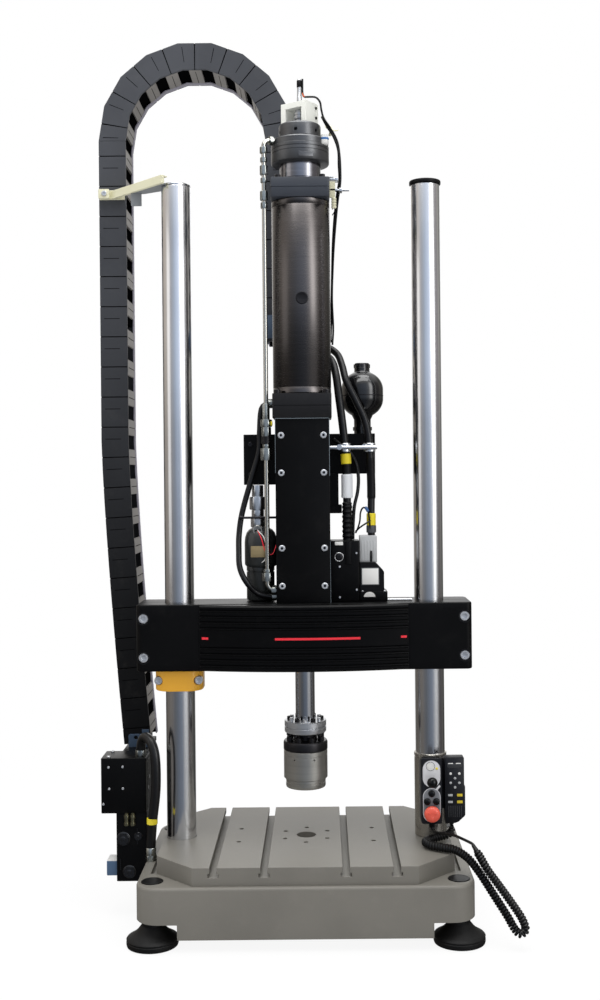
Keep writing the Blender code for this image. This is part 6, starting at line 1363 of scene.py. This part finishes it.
def makeHoses(d):
    # each hose is a tube along its smoothed points; the return hose's ends are six-sided
    diameter, points = d["return"]
    makePiece("returnHose", Form().hose(points, diameter), hoseRubber, "crosshead", "return_hose")
    ends = Form().hexagon(9.8, 0, 12, place=toLeft(-60.3, 26, 1050.2)).hexagon(9, 0, 10, place=toLeft(-55.3, -16, 652))
    makePiece("returnHoseEnds", ends, fittingSteel, "crosshead")
    for title, key, node in (("hoseFront", "front", "hose_front"), ("hoseRear", "rear", "hose_rear")):
        diameter, points = d[key]
        makePiece(title, Form().hose(points, diameter), hoseRubber, "crosshead", node)
    # coverings and bands on the two hoses, each following its hose
    ahead, rear = smoothPath(d["front"][1], 200), smoothPath(d["rear"][1], 200)

    def stretch(path, low, high, radius):
        # the part of a path between two heights, as a tube of its own radius
        part = path[(path[:, 2] >= low) & (path[:, 2] <= high) & (np.arange(len(path)) > 60)]
        part = smoothPath(part, 26)
        r = np.full(26, radius)
        r[[0, -1]] -= 1
        return tubeGrid(part, r, 24)

    makePiece("hoseWhiteSleeve", Form().add(stretch(ahead, 851, 902, 11.8)), sleeveWhite, "crosshead")
    bands = Form().add(stretch(ahead, 921, 944, 10.8)).add(stretch(rear, 795, 822, 9.6))
    makePiece("hoseBands", bands, labelYellow, "crosshead")
    boots = Form().add(stretch(ahead, 900, 921, 9.2)).add(stretch(rear, 848, 935, 8.8))
    makePiece("hoseWraps", boots, blackPlastic, "crosshead")
    makePiece("hoseGreySleeve", Form().add(stretch(rear, 778, 796, 10.2)), panelGrey, "crosshead")
    # a plated bar with two clamps holds both hoses to the stand
    fx, rx = 87, 138
    bar = Form().lathe([(4.2, 0), (4.2, 96), (3.4, 98)], 20, place=toRight(55.2, -10, 956))
    for cx, cy in ((fx, 0), (rx, 6)):
        clamp = [(7.6, -9), (11.8, -9), (12.6, -8), (12.6, 8), (11.8, 9), (7.6, 9)]
        bar.lathe(clamp, 40, place=move(cx, cy, 956), ring=True)
        bar.hexagon(6.2, 0, 6, place=front(cx - 11.5, cy - 10, 957))
        bar.lathe([(2.4, 0), (2.4, 9.2)], 16, place=front(cx - 11.5, cy - 10, 957))
    makePiece("hoseClamps", bar, clampSteel, "crosshead")


makeManifold()
makeFilter(leftDetails)
makePipe(leftDetails)
makeHoses(hoseDetails)
print("left hydraulics and hoses made")


# Hydraulics on the right: accumulator, valve block with its ribbed boot, servo valve

def makeAccumulator():
    # a neck, two quarter ellipses 40 high and the wall between them, carried round
    x, y, z = 126.5, 77.3, 987.3
    r, n = 45, 18
    profile = [(n, z), (n, z + 6), (n + 2.5, z + 6.5), (n + 2.5, z + 14), (n, z + 14.5), (n, z + 30)]
    a = np.linspace(0.06, np.pi / 2, 14)
    profile += [(r * math.sin(t), z + 74 - 40 * math.cos(t)) for t in a if r * math.sin(t) > n + 1]
    profile += [(r, z + 80), (r, z + 80.4), (r, z + 90)]
    profile += [(r * math.cos(t), z + 94 + 40 * math.sin(t)) for t in np.linspace(0.05, 1.15, 12)]
    profile += [(17, z + 132.2), (16.5, z + 134), (16.5, z + 140), (16, z + 140.5), (16, z + 148), (14.8, z + 149.8)]
    makePiece("accumulator", Form().lathe(profile, 96, place=move(x, y)), glossBlack, "crosshead", "accumulator")
    rib = Form().lathe([(45.1, z + 79), (45.1, z + 81.5)], 96, place=move(x, y))
    for k in range(8):
        rib.block(3, 2, z + 140, z + 147.8, 0.8, 0.3, 2, 2, place=move(x, y) @ turn("z", 45 * k) @ move(16))
    makePiece("accumulatorTrim", rib, darkSteel, "crosshead")


valveDetails = {"x": 84.55, "length": 58.5, "depth": 64, "low": 640.8, "high": 765.3, "boot": 90.6, "bootTop": 843.3,
    "servoX": 188.1 - 45.5, "servoLength": 57}


def makeValves(d):
    # a block with a boot whose radius is a rounded wave down its length, and the servo valve beside it
    form = Form().block(d["length"], d["depth"], d["low"], d["high"], 3, 1.5, 4, 3, place=move(d["x"]))
    makePiece("valveBlock", form, blackPaint, "crosshead", "valve_block")
    z = np.linspace(0, 1, 97)
    ridge = 11 - 1.6 * (0.5 - 0.5 * np.cos(z * 2 * np.pi * 8)) ** 0.6
    r = np.where(z < 0.95, ridge, 11 - (z - 0.95) * 50)
    boot = Form().lathe(np.column_stack([r, d["high"] - 2 + z * (d["bootTop"] - d["high"] + 2)]), 40,
        place=move(d["boot"]))
    # the boot's barrel stands half out of the block's front
    boot.lathe([(8.5, d["high"] - 48), (9.5, d["high"] - 46), (9.5, d["high"] - 2)], 40,
        place=move(d["boot"] + 1, -26.2))
    makePiece("valveBoot", boot, blackPlastic, "crosshead", "valve_block")
    y = -d["depth"] / 2
    rim = [(7.8, -1), (9.2, -1), (9.2, 1), (8.6, 1.4), (7.8, 0.8)]
    port = front(72.5, y, 732.5)
    ring = Form().lathe(rim, 44, place=port, ring=True)
    ring.screw(2.1, 1.2, copies=[front(73.5, y - 0.1, 712.5), front(73.5, y - 0.1, 650), front(108, y - 0.1, 740),
        front(108, y - 0.1, 665)])
    makePiece("valvePortRing", ring, screwSteel, "crosshead")
    cap = Form().lathe([(7.6, -1), (7.6, 1), (6.8, 1.6), (3, 1.8), (2.6, 0.4)], 40, place=port)
    makePiece("valvePort", cap, darkSteel, "crosshead")
    tag = Form().block(16.5, 7.2, 0, 0.5, 0.5, 0.2, 2, 2, place=front(72.5, y, 760))
    makePiece("valveTag", tag, labelWhite, "crosshead")

    # servo valve: foot, slanted cover with a bare plate, grey plug housing on top
    sx, wide = d["servoX"], d["servoLength"]
    foot = Form().block(wide, 56, 640.8, 660.8, 2, 1, 4, 3, place=move(sx))
    x0, x1, s = sx - wide / 2 + 0.5, sx + wide / 2 - 6.5, 24
    side = np.array([(x0, 660), (x1, 660), (x1, 701), (x1 - 18, 720.8), (x0, 720.8)])
    cover = Form().add(carriedBack(side, (-s, s)))
    makePiece("servoFoot", foot, blackPaint, "crosshead", "servo_valve")
    addEdges(makePiece("servoCover", cover, blackPlastic, "crosshead", "servo_valve"), 1.6, 3)
    a = np.linspace(0, np.pi, 20)
    half = np.column_stack([11.8 * np.cos(a), 10 * np.sin(a)])
    low = Form().add(prismGrid(half, 0, 3, 0.6), place=front(sx - 8.5, -27.8, 650))
    makePiece("servoPort", low, labelWhite, "crosshead")
    plate = Form().block(37, 36, 0, 0.8, 0.8, 0.3, 3, 2, place=front(sx - 6.5, -s, 691.5))
    plate.block(33.5, 32.5, 0.6, 1.2, 0.6, 0.2, 3, 2, mark=1, place=front(sx - 6.5, -s, 691.5))
    makePiece("servoPlate", plate, [panelGrey, labelWhite], "crosshead")
    screws = Form().screw(3, 2.2, copies=[move(sx + q * 22.5, w * 21.5, 660.6) for q in (-1, 1) for w in (-1, 1)])
    makePiece("servoScrews", screws, screwSteel, "crosshead")
    px = 132.6
    plug = Form().block(36, 38, 719.5, 774.8, 3, 2, 4, 3, place=move(px))
    for k in range(5):
        plug.block(2.6, 1.6, 724, 764, 0.6, 0.3, 2, 2, place=move(px - 12 + 6 * k, -19.2))
    makePiece("servoPlug", plug, plugGrey, "crosshead", "servo_valve")


makeAccumulator()
makeValves(valveDetails)
print("right hydraulics made")


# Guide and clamp of the chain, stay on the left column's top

def makeBrackets():
    # a frame round the chain's moving leg on an arm, a seat with a drilled ear, a bar from the column's top
    cx, cy, low = -47, 161, 1195.5
    form = Form()
    o, i = roundedOutline(72, 122, 4, 4), roundedOutline(60, 110, 1.5, 4)
    rings = [(o, 0.6), (o, 49.4), (o * 0.996, 50), (i, 50), (i, 0), (o * 0.996, 0)]
    form.add(stacked([(q + (cx, cy), low + z) for q, z in rings]), ring=True)
    arm = np.array([(cx + 4, 62.5), (30, 62.5), (30, 103.5), (cx + 4, 103.5)])
    arm[:2, 1] = (61.5, 56)
    form.add(prismGrid(arm[::-1], low + 10, low + 40, 0.8))
    piece = makePiece("chainGuide", form, bluePaint, "crosshead", "chain_guide")
    carve(piece, Form().lathe([(60.3, low - 10), (60.3, low + 60)], 96))

    # seat under the standing run, with a drilled ear in front of the first link
    x = -364
    seat = Form().boxes([corners((x - 26, 34.3, 308.2), (x + 26, 211, 317.9)),
        corners((x - 20, 114.2, 316), (x + 18, 207.8, 340)), corners((x - 26, 34.3, 273), (x + 26, 42.3, 310))])
    addEdges(makePiece("chainSeat", seat, blackPaint, "frame", "chain_end_clamp"), 1, 2)
    ear = np.array([(-19, 315), (25, 315), (25, 355), (10, 355), (10, 345.5), (-16, 345.5), (-19, 342.5)])
    grid = carriedBack(ear + (x, 0), (103, 106.8))
    plate = makePiece("chainEar", Form().add(grid), bluePaint, "frame")
    carve(plate, Form().lathe([(4.2, -20), (4.2, 20)], 32, place=front(x - 3, 105,
        338)).add(latheGrid([(2.8, -20), (2.8, 20)], 32), place=front(x + 12.5, 105, 338)))
    addEdges(plate, 0.6, 2)

    # stay: disc on the column's top, a sloping angle bar, a square washer at its far end
    top = columnDetails["top"] + 0.3
    disc = Form().lathe([(29.8, top), (30.2, top + 0.4), (30.2, top + 3), (29, top + 4.2)], 72, place=move(-columnX))
    makePiece("stayDisc", disc, chrome, "frame", "chain_stay")
    start, end = np.array((-280, -34)), np.array((-403, 99))
    along = (end - start) / np.linalg.norm(end - start)
    side = np.array((-along[1], along[0]))
    a, b = start, end + along * 22
    bar = Form()
    tall = [(side * 4, 1), (side * -4, 1), (side * -4, 18), (side * 4, 18)]
    bar.add(np.array([[(*(p + s), top + z) for s, z in tall] for p in (a, b)]))
    lip = [(side * -12, 15), (side * 3.5, 15), (side * 3.5, 17.9), (side * -12, 17.9)]
    bar.add(np.array([[(*(p + s), top + z) for s, z in lip] for p in (a + along * 1, b - along * 1)]))
    bar.boxes([corners((-434, 100.7, top), (-380, 106.7, top + 20))])
    addEdges(makePiece("chainStay", bar, creamPaint, "frame", "chain_stay"), 0.7, 2)
    washer = Form().block(23, 20, 0, 1.6, 1, 0.4, 3, 2, place=front(-422.5, 88, top + 9.5))
    washer.screw(5.8, 3, 0.45, mark=1, place=front(-421.5, 86.6, top + 10))
    washer.boxes([corners((-432.5, 87.5, top + 1), (-412, 101, top + 18))], 0)
    makePiece("stayWasher", washer, [creamPaint, screwSteel], "frame")
    strap = np.array([(-360, 56), (-283, -26), (-262, -10), (-270, 20), (-330, 56)])
    under = Form().add(stacked([(strap, top + 4.2), (strap, top + 0.2)]))
    under.boxes([corners((-358, 48, top - 26), (-336, 53, top + 1))])
    addEdges(makePiece("stayAngle", under, stayGrey, "frame"), 0.6, 1)


makeBrackets()

# Hydraulic block on the left end of the base, and the big hose from it

sideDetails = {"right": -325.3, "depth": 62, "low": 74, "middle": 213.5, "high": 317.5}


def makeSideBlock(d):
    # two blocks one on the other with plugs, inlet, small fittings and the hose
    r = d["right"]
    lower = Form().block(62.5, d["depth"], d["low"], d["middle"] + 2, 3, 1.5, 4, 3, place=move(r - 31.25))
    upper = Form().block(92.5, 67.8, d["middle"], d["high"] + 8.5, 3, 1.5, 4, 3, place=move(r - 46.25))
    makePiece("sideBlockLower", lower, blackPaint, "frame", "side_manifold")
    makePiece("sideBlockUpper", upper, blackPaint, "frame", "side_manifold")
    y = -d["depth"] / 2
    plugs = Form()
    for x, z, s in ((r - 48, d["middle"] - 52, 12.5), (r - 36, d["low"] + 20, 12), (r - 18, d["low"] + 92, 7.5)):
        plugs.lathe([(s * 1.12, -1), (s * 1.12, 1), (s * 1.05, 1.6)], 48, place=front(x, y, z))
        plugs.hexagon(s, 1.2, 4, place=front(x, y, z))
        plugs.lathe([(s * 0.45, 3), (s * 0.45, 4.3), (s * 0.36, 4.8)], 30, place=front(x, y, z))
    makePiece("sideBlockPlugs", plugs, plugSteel, "frame", "side_manifold")
    inlet = Form().block(24, 40, 82.2, 112.5, 3, 2, 4, 3, place=move(r - 62.5 - 10.5))
    makePiece("sideInlet", inlet, inletBlue, "frame", "side_manifold")
    lid = Form().block(22.5, 38.5, 112, 113.4, 2, 0.4, 4, 2, place=move(r - 62.5 - 10.7))
    makePiece("sideInletSeal", lid, labelWhite, "frame")
    stack = Form()
    for px in (r - 40, r - 27.5):
        place = move(px, y - 6.5, 190)
        stack.hexagon(5.6, 0, 6.5, place=place).lathe([(4.2, 5), (4.2, 14)], 24, place=place)
        stack.hexagon(5.4, 13, 21, place=place).lathe([(3.6, 20), (3.6, 25)], 24, place=place)
        stack.boxes([corners((px - 3, y - 6.5, 193.5), (px + 3, y + 1, 198.5))])
    makePiece("sideFittings", stack, dullBrass, "frame")
    # painted shade: two dark discs on that face, for the shade in its two holes
    spots = Form().lathe([(4, 0), (4, 0.6), (2, 0.8)], 24, copies=[toRight(r + 2.5, -8, 283),
        toRight(r + 2.5, -22, 264)])
    # painted sheen: a grey plate on the upper block's black right face, for the sheen on that face
    side = Form().boxes([corners((r - 1, -32.5, 220), (r + 2.5, 32.5, 320))])
    addEdges(makePiece("sidePlate", side, sideFaceSheen, "frame"), 0.6, 1)
    makePiece("sideHoleShades", spots, glossBlack, "frame")
    places = [(r - 76.5, 308), (r - 48, 308.5), (r - 75.5, 264), (r - 47.5, 264.5), (r - 87.5, 233)]
    screws = Form().screw(2.4, 1.4, copies=[front(x, -33.9, z) for x, z in places])
    screws.screw(4, 3, copies=[move(r - 78, s * 24, d["high"] + 8.3) for s in (-1, 1)])
    makePiece("sideScrews", screws, screwSteel, "frame")
    ribs = Form().boxes([corners((r - 20.5, y - 1.2, 150), (r - 18.5, y + 1, 182)),
        corners((r - 55.5, y - 1.2, 98), (r - 53.5, y + 1, 120))])
    makePiece("sideRibs", ribs, darkSteel, "frame")

    sx, ex, top, rim = r - 14, -314.5, 317.8, 122.3
    route = [(sx, -10, top), (sx, -10, top + 20), (sx + 3, -15, top + 38), (sx + 12, -28, top + 50),
        (sx + 26, -46, top + 44), (sx + 36, -56, top + 14), (sx + 37, -58, 270), (ex + 4, -54, 200),
        (ex, -50, rim + 30), (ex, -50, rim)]
    makePiece("sideHose", Form().hose(route, 19.5, 5, 20), dustyRubber, "frame", "side_hose")
    ends = Form().hexagon(11.8, 0, 12, place=move(sx, -10, top + 8.2)).hexagon(11.6, 0, 12,
        place=move(ex, -50, rim - 0.2))
    ends.lathe([(10.4, 12), (10.4, 26), (9.8, 27)], 32, place=move(ex, -50, rim))
    makePiece("sideHoseEnds", ends, fittingSteel, "frame")
    tag = Form().lathe([(10, -6), (11, -5.5), (11, 5.5), (10, 6)], 32, place=move(ex + 3.7, -54, 204) @ turn("x", 2.5))
    makePiece("sideHoseBand", tag, labelYellow, "frame")


makeSideBlock(sideDetails)
print("side block and brackets made")

# Operator panel and handset on a sleeve round the right column

panelDetails = {"x": 252, "front": -85.3, "depth": 49, "width": 41, "low": 201, "height": 132,
    "pills": ((301.5, 53), (239, 68)), "knobZ": 288, "stopZ": 223.5,
    "buttons": {"Upper": (0, 262), "Left": (-9, 246), "Right": (9, 246)}}


def pillGrid(length, height, low, high, edge=0.3):
    # a rounded bar with half-circle ends, as a thin plate
    return blockGrid(length, height, low, high, min(length, height) / 2 - 0.2, edge, 14, 2)


def makeSleeve():
    # a thin round wall round the column, and the brackets that hold panel and handset
    x, low, high, r = columnDetails["x"], 157.3, 327, 32.8
    profile = [(columnBore, low), (r - 0.5, low), (r, low + 0.6), (r, high - 9.5), (r - 1, high - 9),
        (r - 1, high - 7.5), (r + 0.4, high - 6.8), (r + 0.4, high - 1), (r - 0.6, high), (columnBore, high)]
    form = Form().lathe(profile, 96, place=move(x), ring=True)
    makePiece("panelSleeve", form, sleeveSteel, "frame", "panel_sleeve")
    hold = Form().boxes([corners((236.5, -36, 211), (267.5, -30, 323)), corners((273.1, -44.2, 231), (287.5, -14, 323)),
        corners((275.5, -44.7, 221), (314, -40, 319))])
    addEdges(makePiece("panelBrackets", hold, darkSteel, "frame", "panel_sleeve"), 0.6, 1)


def makePanel(d):
    # a rounded case, lower towards its back, a hole for every control, two faces with round ends
    x, f, low, tall = d["x"], d["front"], d["low"], d["height"]
    middle = low + tall / 2
    grid = blockGrid(d["width"], tall, -d["depth"], 0, 4, 2, 5, 4)
    grid[..., 1] -= np.clip(-grid[..., 2], 0, None) * 0.25 * (grid[..., 1] > 0)
    case = makePiece("panelCase", Form().add(grid, place=front(x, f, middle)), panelPlastic, "frame", "panel_housing")
    cuts = Form().lathe([(5.3, -14), (5.3, 10)], 32, place=front(x, f, d["knobZ"]))
    cuts.lathe([(8.3, -14), (8.3, 10)], 40, place=front(x, f, d["stopZ"]))
    for bx, bz in d["buttons"].values():
        cuts.lathe([(7, -14), (7, 10)], 40, place=front(x + bx, f, bz))
    carve(case, cuts)
    rims, face = Form(), Form()
    for mark, (z, h) in enumerate(d["pills"]):
        outer, inner = roundedOutline(35, h, 17.3, 16), roundedOutline(32.5, h - 2.5, 16, 16)
        rims.add(stacked([(outer, -0.5), (outer, 0.8), (inner, 0.8), (inner, -0.5)]), 0, place=front(x, f, z),
            ring=True)
        face.add(pillGrid(32.7, h - 2.3, -0.5, 0.6), mark, place=front(x, f, z))
    faces = makePiece("panelFaces", face, [whitePaint, pillGrey], "frame", "panel_housing")
    carve(faces, cuts)
    makePiece("panelRims", rims, whitePaint, "frame")
    seat = front(x - 2, f, 316.5)
    dial = Form().lathe([(6.2, 0.4), (8, 0.4), (8, 1.6), (6.2, 1.6)], 48, place=seat, ring=True)
    dial.lathe([(6, 0.4), (6, 1.1), (4, 1.4)], 40, place=seat)
    makePiece("panelDial", dial, labelWhite, "frame", "panel_housing")
    edge = Form().lathe([(8, 0.4), (8.9, 0.4), (8.9, 1.1), (8, 1.1)], 48, place=seat, ring=True)
    makePiece("panelDialEdge", edge, panelGrey, "frame")
    lamps = Form().lathe([(2.4, 0.4), (2.4, 1.4)] + dome(2.2, 1.4, 2.4, 4), 24, place=front(x + 10.5, f, 312))
    lamps.add(pillGrid(4.2, 12, 0, 1), 1, place=front(x + 12.8, f, 273.5) @ turn("z", -42))
    makePiece("panelLamp", lamps, [labelYellow, whitePaint], "frame")
    gland = Form().lathe([(5.2, -12), (5.8, -11.2), (5.8, -6), (5, -5.5), (5, 4)], 32, place=move(x + 2, f + 22, low))
    makePiece("panelGland", gland, blackPlastic, "frame", "panel_housing")
    half = d["width"] / 2
    seams = Form().boxes([corners((x + a * half - 1, f + 9.5, low + 3), (x + a * half + 1, f + 10.3, low + tall - 3))
        for a in (-0.975, 0.975)])
    makePiece("panelSeam", seams, darkSteel, "frame")


def makeControls(d):
    # every control is a round profile on its own axis in the panel's front
    x, f = d["x"], d["front"]
    ball, z = 10.5, d["knobZ"]
    a = np.radians(np.linspace(-50, 84, 20))
    profile = [(5, -11), (5, 5)] + [(ball * math.cos(t), 16.4 + ball * math.sin(t)) for t in a]
    knob = Form().lathe(profile, 56, place=front(x, f, z))
    knob.boxes([corners((x - 0.9, f - 27.6, z + 1), (x + 0.9, f - 20.5, z + 8))])
    makePiece("modeKnob", knob, controlBlack, "mode_knob", "mode_knob")
    r = 6.7
    cap = [(r, -10.5), (r, 3), (r - 0.3, 4), (r - 1.2, 4.8), (r - 2.4, 5.1), (r * 0.45, 5.5), (r * 0.1, 5.5)]
    for title, (bx, bz) in d["buttons"].items():
        makePiece("button" + title, Form().lathe(cap, 44, place=front(x + bx, f, bz)), controlBlack,
            "button_" + title.lower(), "button_" + title.lower())
    stem = [(8, -8.5), (8, 5.5), (4, 5.7), (4, 10.9)]
    makePiece("stopPlunger", Form().lathe(stem, 36, place=front(x, f, d["stopZ"])), blackPlastic, "stop_plunger",
        "stop_plunger")
    h = 16
    head = [(4.3, 11.2), (4.3, 6), (h - 2.2, 6), (h - 0.6, 6.6), (h, 8.2), (h, 11.8), (h - 0.6, 14.2), (h - 2.2, 16.4),
        (h - 4.5, 18), (h - 7.5, 18.8), (4, 19), (3.6, 18.6), (0.4, 18.6)]
    form = Form().lathe(head, 72, place=front(x, f, d["stopZ"]))
    for k in range(3):
        form.add(pillGrid(2.4, 6.6, 18.2, 19.6, 0.3), place=front(x, f, d["stopZ"]) @ turn("z", 120 * k + 60) @ move(0,
            8))
    makePiece("emergencyStop", form, redPlastic, "stop_head", "emergency_stop")


def makeHandset():
    # an outline drawn in at both faces and at its seam, with rows of ribs and keys
    x0, top, back, face = 300, 330.5, -45, -70
    half, length = 20, 134
    outline = np.array([(-half, -length + 4), (-half + 1.2, -length + 1.2), (-half + 4, -length), (0, -length + 1),
        (half * 0.35, -length + 3.5), (half - 3, -length + 12.5), (half - 0.3, -length + 15), (half + 1, -length + 18),
        (half + 1, -60), (half + 0.5, -58), (half - 0.8, -56.5), (half - 0.8, -2.5), (half - 1.6, -0.8),
        (half - 3.5, 0), (-half + 3, 0), (-half + 0.9, -0.9), (-half, -3)])
    middle = np.array((0, -length / 2))
    rings = []
    for y, s in ((back, 2.2), (back - 0.8, 0.9), (back - 2.5, 0), (back - 11, 0), (back - 11.4, 0.6),
            (back - 12.2, 0.6), (back - 12.6, 0), (face + 2.5, 0), (face + 0.8, 0.8), (face, 2.2)):
        q = outline + (middle - outline) * (s / np.maximum(np.linalg.norm(outline - middle, axis=1, keepdims=True),
            1e-6))
        rings.append(np.column_stack([q[:, 0] + x0, np.full(len(q), y), q[:, 1] + top]))
    gland = Form().add(np.array(rings))
    gland.lathe([(3.4, -4.6), (4.5, -3.6), (4.5, 0), (5.2, 2), (5.2, 12)], 28, place=move(x0 - 6, -57.5, top - length))
    makePiece("handset", gland, panelPlastic, "frame", "handset")
    f = face + 0.4
    ribs = Form()
    for k in range(7):
        ribs.add(pillGrid(1.6, 23, 0, 1), place=front(x0 - 12.5 + 4.2 * k, f, top - 109))
    ribs.add(pillGrid(30, 10, 0, 0.8), place=front(x0 - 0.5, f, top - 17))
    makePiece("handsetRibs", ribs, keyDark, "frame")
    keys = Form()
    for dx in (-7.8, 7.8):
        keys.add(pillGrid(9.8, 2, 0.6, 1.3), 0, place=front(x0 - 0.5 + dx, f, top - 12.5))
        keys.lathe([(2.6, 0), (2.6, 0.8), (1.8, 1.3)], 24, place=front(x0 + 0.5 + dx * 1.12, f, top - 33))
        keys.lathe([(2.6, 0), (2.6, 0.8), (1.8, 1.3)], 24, mark=1, place=front(x0 + 0.5 + dx * 1.12, f, top - 51.5))
    for dz in (42.2, 60.5):
        keys.lathe([(2.6, 0), (2.6, 0.8), (1.8, 1.3)], 24, mark=1, place=front(x0 + 0.5, f, top - dz))
    for dz in (76.2, 89.8):
        keys.block(9.2, 4.4, 0, 1.1, 0.8, 0.4, 3, 2, mark=1, place=front(x0 - 9, f, top - dz))
        keys.block(11.2, 5.4, 0, 1.1, 0.8, 0.4, 3, 2, mark=2, place=front(x0 + 9.8, f, top - dz))
    makePiece("handsetKeys", keys, [labelWhite, keyGrey, keyYellow], "frame")


makeSleeve()
makePanel(panelDetails)
makeControls(panelDetails)
makeHandset()
print("panel and handset made")


# Thin cables and small fittings round the actuator

def makeSmallCables():
    # tubes along smoothed points, round profiles and small blocks
    # transducer cable: out of the rod's top, over the bracket and down the tube's right side
    top = [(6.6, -4.5, 1717.5), (6.6, -4.5, 1702), (6.8, -5, 1688), (10, -6, 1680.5), (20, -10, 1679),
        (34, -14, 1676.5), (42.5, -16, 1666), (45, -18, 1650), (50, -18, 1632), (64, -14, 1612), (77, -8, 1588),
        (82, -4, 1560), (83.5, -2, 1530), (83, -2, 1502), (78, 0, 1470), (73.5, 4, 1430), (69, 12, 1380),
        (66, 22, 1330), (64, 34, 1270), (66, 46, 1210), (64, 56, 1175)]
    second = [(46, -10, 1638), (56, -12, 1618), (70, -10, 1596), (79, -6, 1570), (80, -4, 1540), (81, 2, 1510),
        (76, 4, 1480), (70.5, 10, 1435), (66.5, 18, 1380), (64.5, 28, 1320), (62.5, 42, 1250), (60, 56, 1180)]
    form = Form().hose(top, 4.2, 4, 10).hose(second, 5, 4, 10)
    for (ax, az), (bx, bz) in (((65.5, 1448), (76.5, 1462)), ((65.5, 1436), (76, 1450))):
        form.add(tubeGrid(np.array([(ax, -4, az), (bx, -10, bz)]), 1, 8))
    makePiece("transducerCables", form, cordPlastic, "crosshead")
    lead = hoseGrid([(6.6, -6.2, 1688), (7.6, -7.2, 1683), (10.4, -8, 1680)], 3, 2, 8)
    makePiece("transducerLead", Form().add(lead), orangeWire, "crosshead")

    # plastic disc, coloured fitting, plated clips and a stud at the right of the rotary actuator
    tilt = move(66.5, 12, 1621) @ turn("x", 36) @ turn("y", 14)
    disc = Form().lathe([(14, -1), (14.5, -0.5), (14.5, 0.5), (14, 1), (4, 1.2)], 44, place=tilt)
    disc.lathe([(3, -17), (3, 0)], 20, place=tilt)
    makePiece("cableDisc", disc, creamPaint, "crosshead")
    seat = move(51, -33, 1574)
    fit = Form().lathe([(8, 0), (8.6, 0.8), (8.6, 8.5), (8, 9.2)], 32, place=seat)
    fit.lathe([(8.2, 9.2), (8.8, 9.8), (8.8, 12.8), (8.2, 13.4)], 32, mark=1, place=seat)
    fit.lathe([(7.4, 13.4), (7.4, 20), (6, 21.2)], 32, place=seat)
    makePiece("cableFitting", fit, [labelWhite, fittingBlue], "crosshead")
    clips = Form()
    for z, reach in ((1508, 12), (1486, 18)):
        clips.block(reach, 12, -2.2, 2.2, 1, 0.5, 3, 2, place=move(60 + reach / 2, -10, z))
    clips.hexagon(6.2, 0, 6, place=toRight(72, -10, 1508)).hexagon(6.2, 0, 6, place=toRight(80, -10, 1486))
    clips.lathe([(2.4, 0), (2.4, 22), (1.8, 23)], 18, place=toRight(78, -10, 1486))
    clips.lathe([(2.2, 0), (2.2, 8)], 18, place=toRight(60, -34, 1508))
    makePiece("cableClips", clips, clampSteel, "crosshead")
    plate = Form().boxes([corners((60, -16, 1470), (72, -12.5, 1503))])
    makePiece("cableClipPlate", plate, creamPaint, "crosshead")
    nuts = Form()
    for k in range(4):
        nuts.lathe([(4.6, 0), (5.2, 0.8), (5.2, 4.2), (4.6, 5)], 28, place=move(69, -15, 1448 + 5.5 * k))
    makePiece("cableNuts", nuts, creamPaint, "crosshead")

    # thin cables by the servo valve: a loop with a blue tie, and a third one from the valve block's side
    loop = [(107.5, -6, 780), (112, -12, 790), (116, -18, 805), (117.5, -20, 822), (122.5, -20, 832), (130, -18, 830),
        (134.5, -14, 818), (136.5, -10, 800), (138, -8, 786)]
    third = [(63, 20, 975), (75, 24, 966), (95, 24, 950), (110, 22, 925), (115, 18, 895), (113, 14, 865),
        (106, 10, 835), (103, 10, 800), (102, 12, 766)]
    cross = [(107.5, -8, 783), (117, -14, 792), (129, -16, 800), (138, -10, 805)]
    form = Form().hose(loop, 3.6, 3, 10).hose(third, 7.2, 4, 14).hose(cross, 3.4, 3, 10)
    form.hose([(139.2, -2, 776), (138.8, -10, 760), (138.6, -18, 740), (138.4, -18, 720)], 5.8, 3, 12)
    makePiece("valveCables", form, hoseRubber, "crosshead")
    tie = Form().hose([(127, -18.6, 833), (130, -18, 830), (132.5, -16.4, 825)], 6.2, 2, 12)
    makePiece("cableTie", tie, tieBlue, "crosshead")

    # black bar with a round end that keeps the return hose off the stand
    bar = Form().lathe([(2.4, 0), (2.4, 70), (4.2, 70.5), (4.2, 76), (3.4, 77.5)], 24, place=toLeft(-55.2, -10, 813.5))
    makePiece("hoseKeeper", bar, darkSteel, "crosshead")
    shelf = Form().lathe([(2.4, 0), (2.4, 50)], 18, place=toRight(171.6, -20, 643.2))
    makePiece("crossheadLead", shelf, screwSteel, "crosshead")


makeSmallCables()
for slot in frame["nodes"]["vane_rotor"].material_slots:
    slot.material = brightSteel
print("small cables made")

bpy.context.view_layer.update()
json.dump({"cad": cadBox, "visual": [list(corner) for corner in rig.bounds()]}, open("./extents.json", "w"))
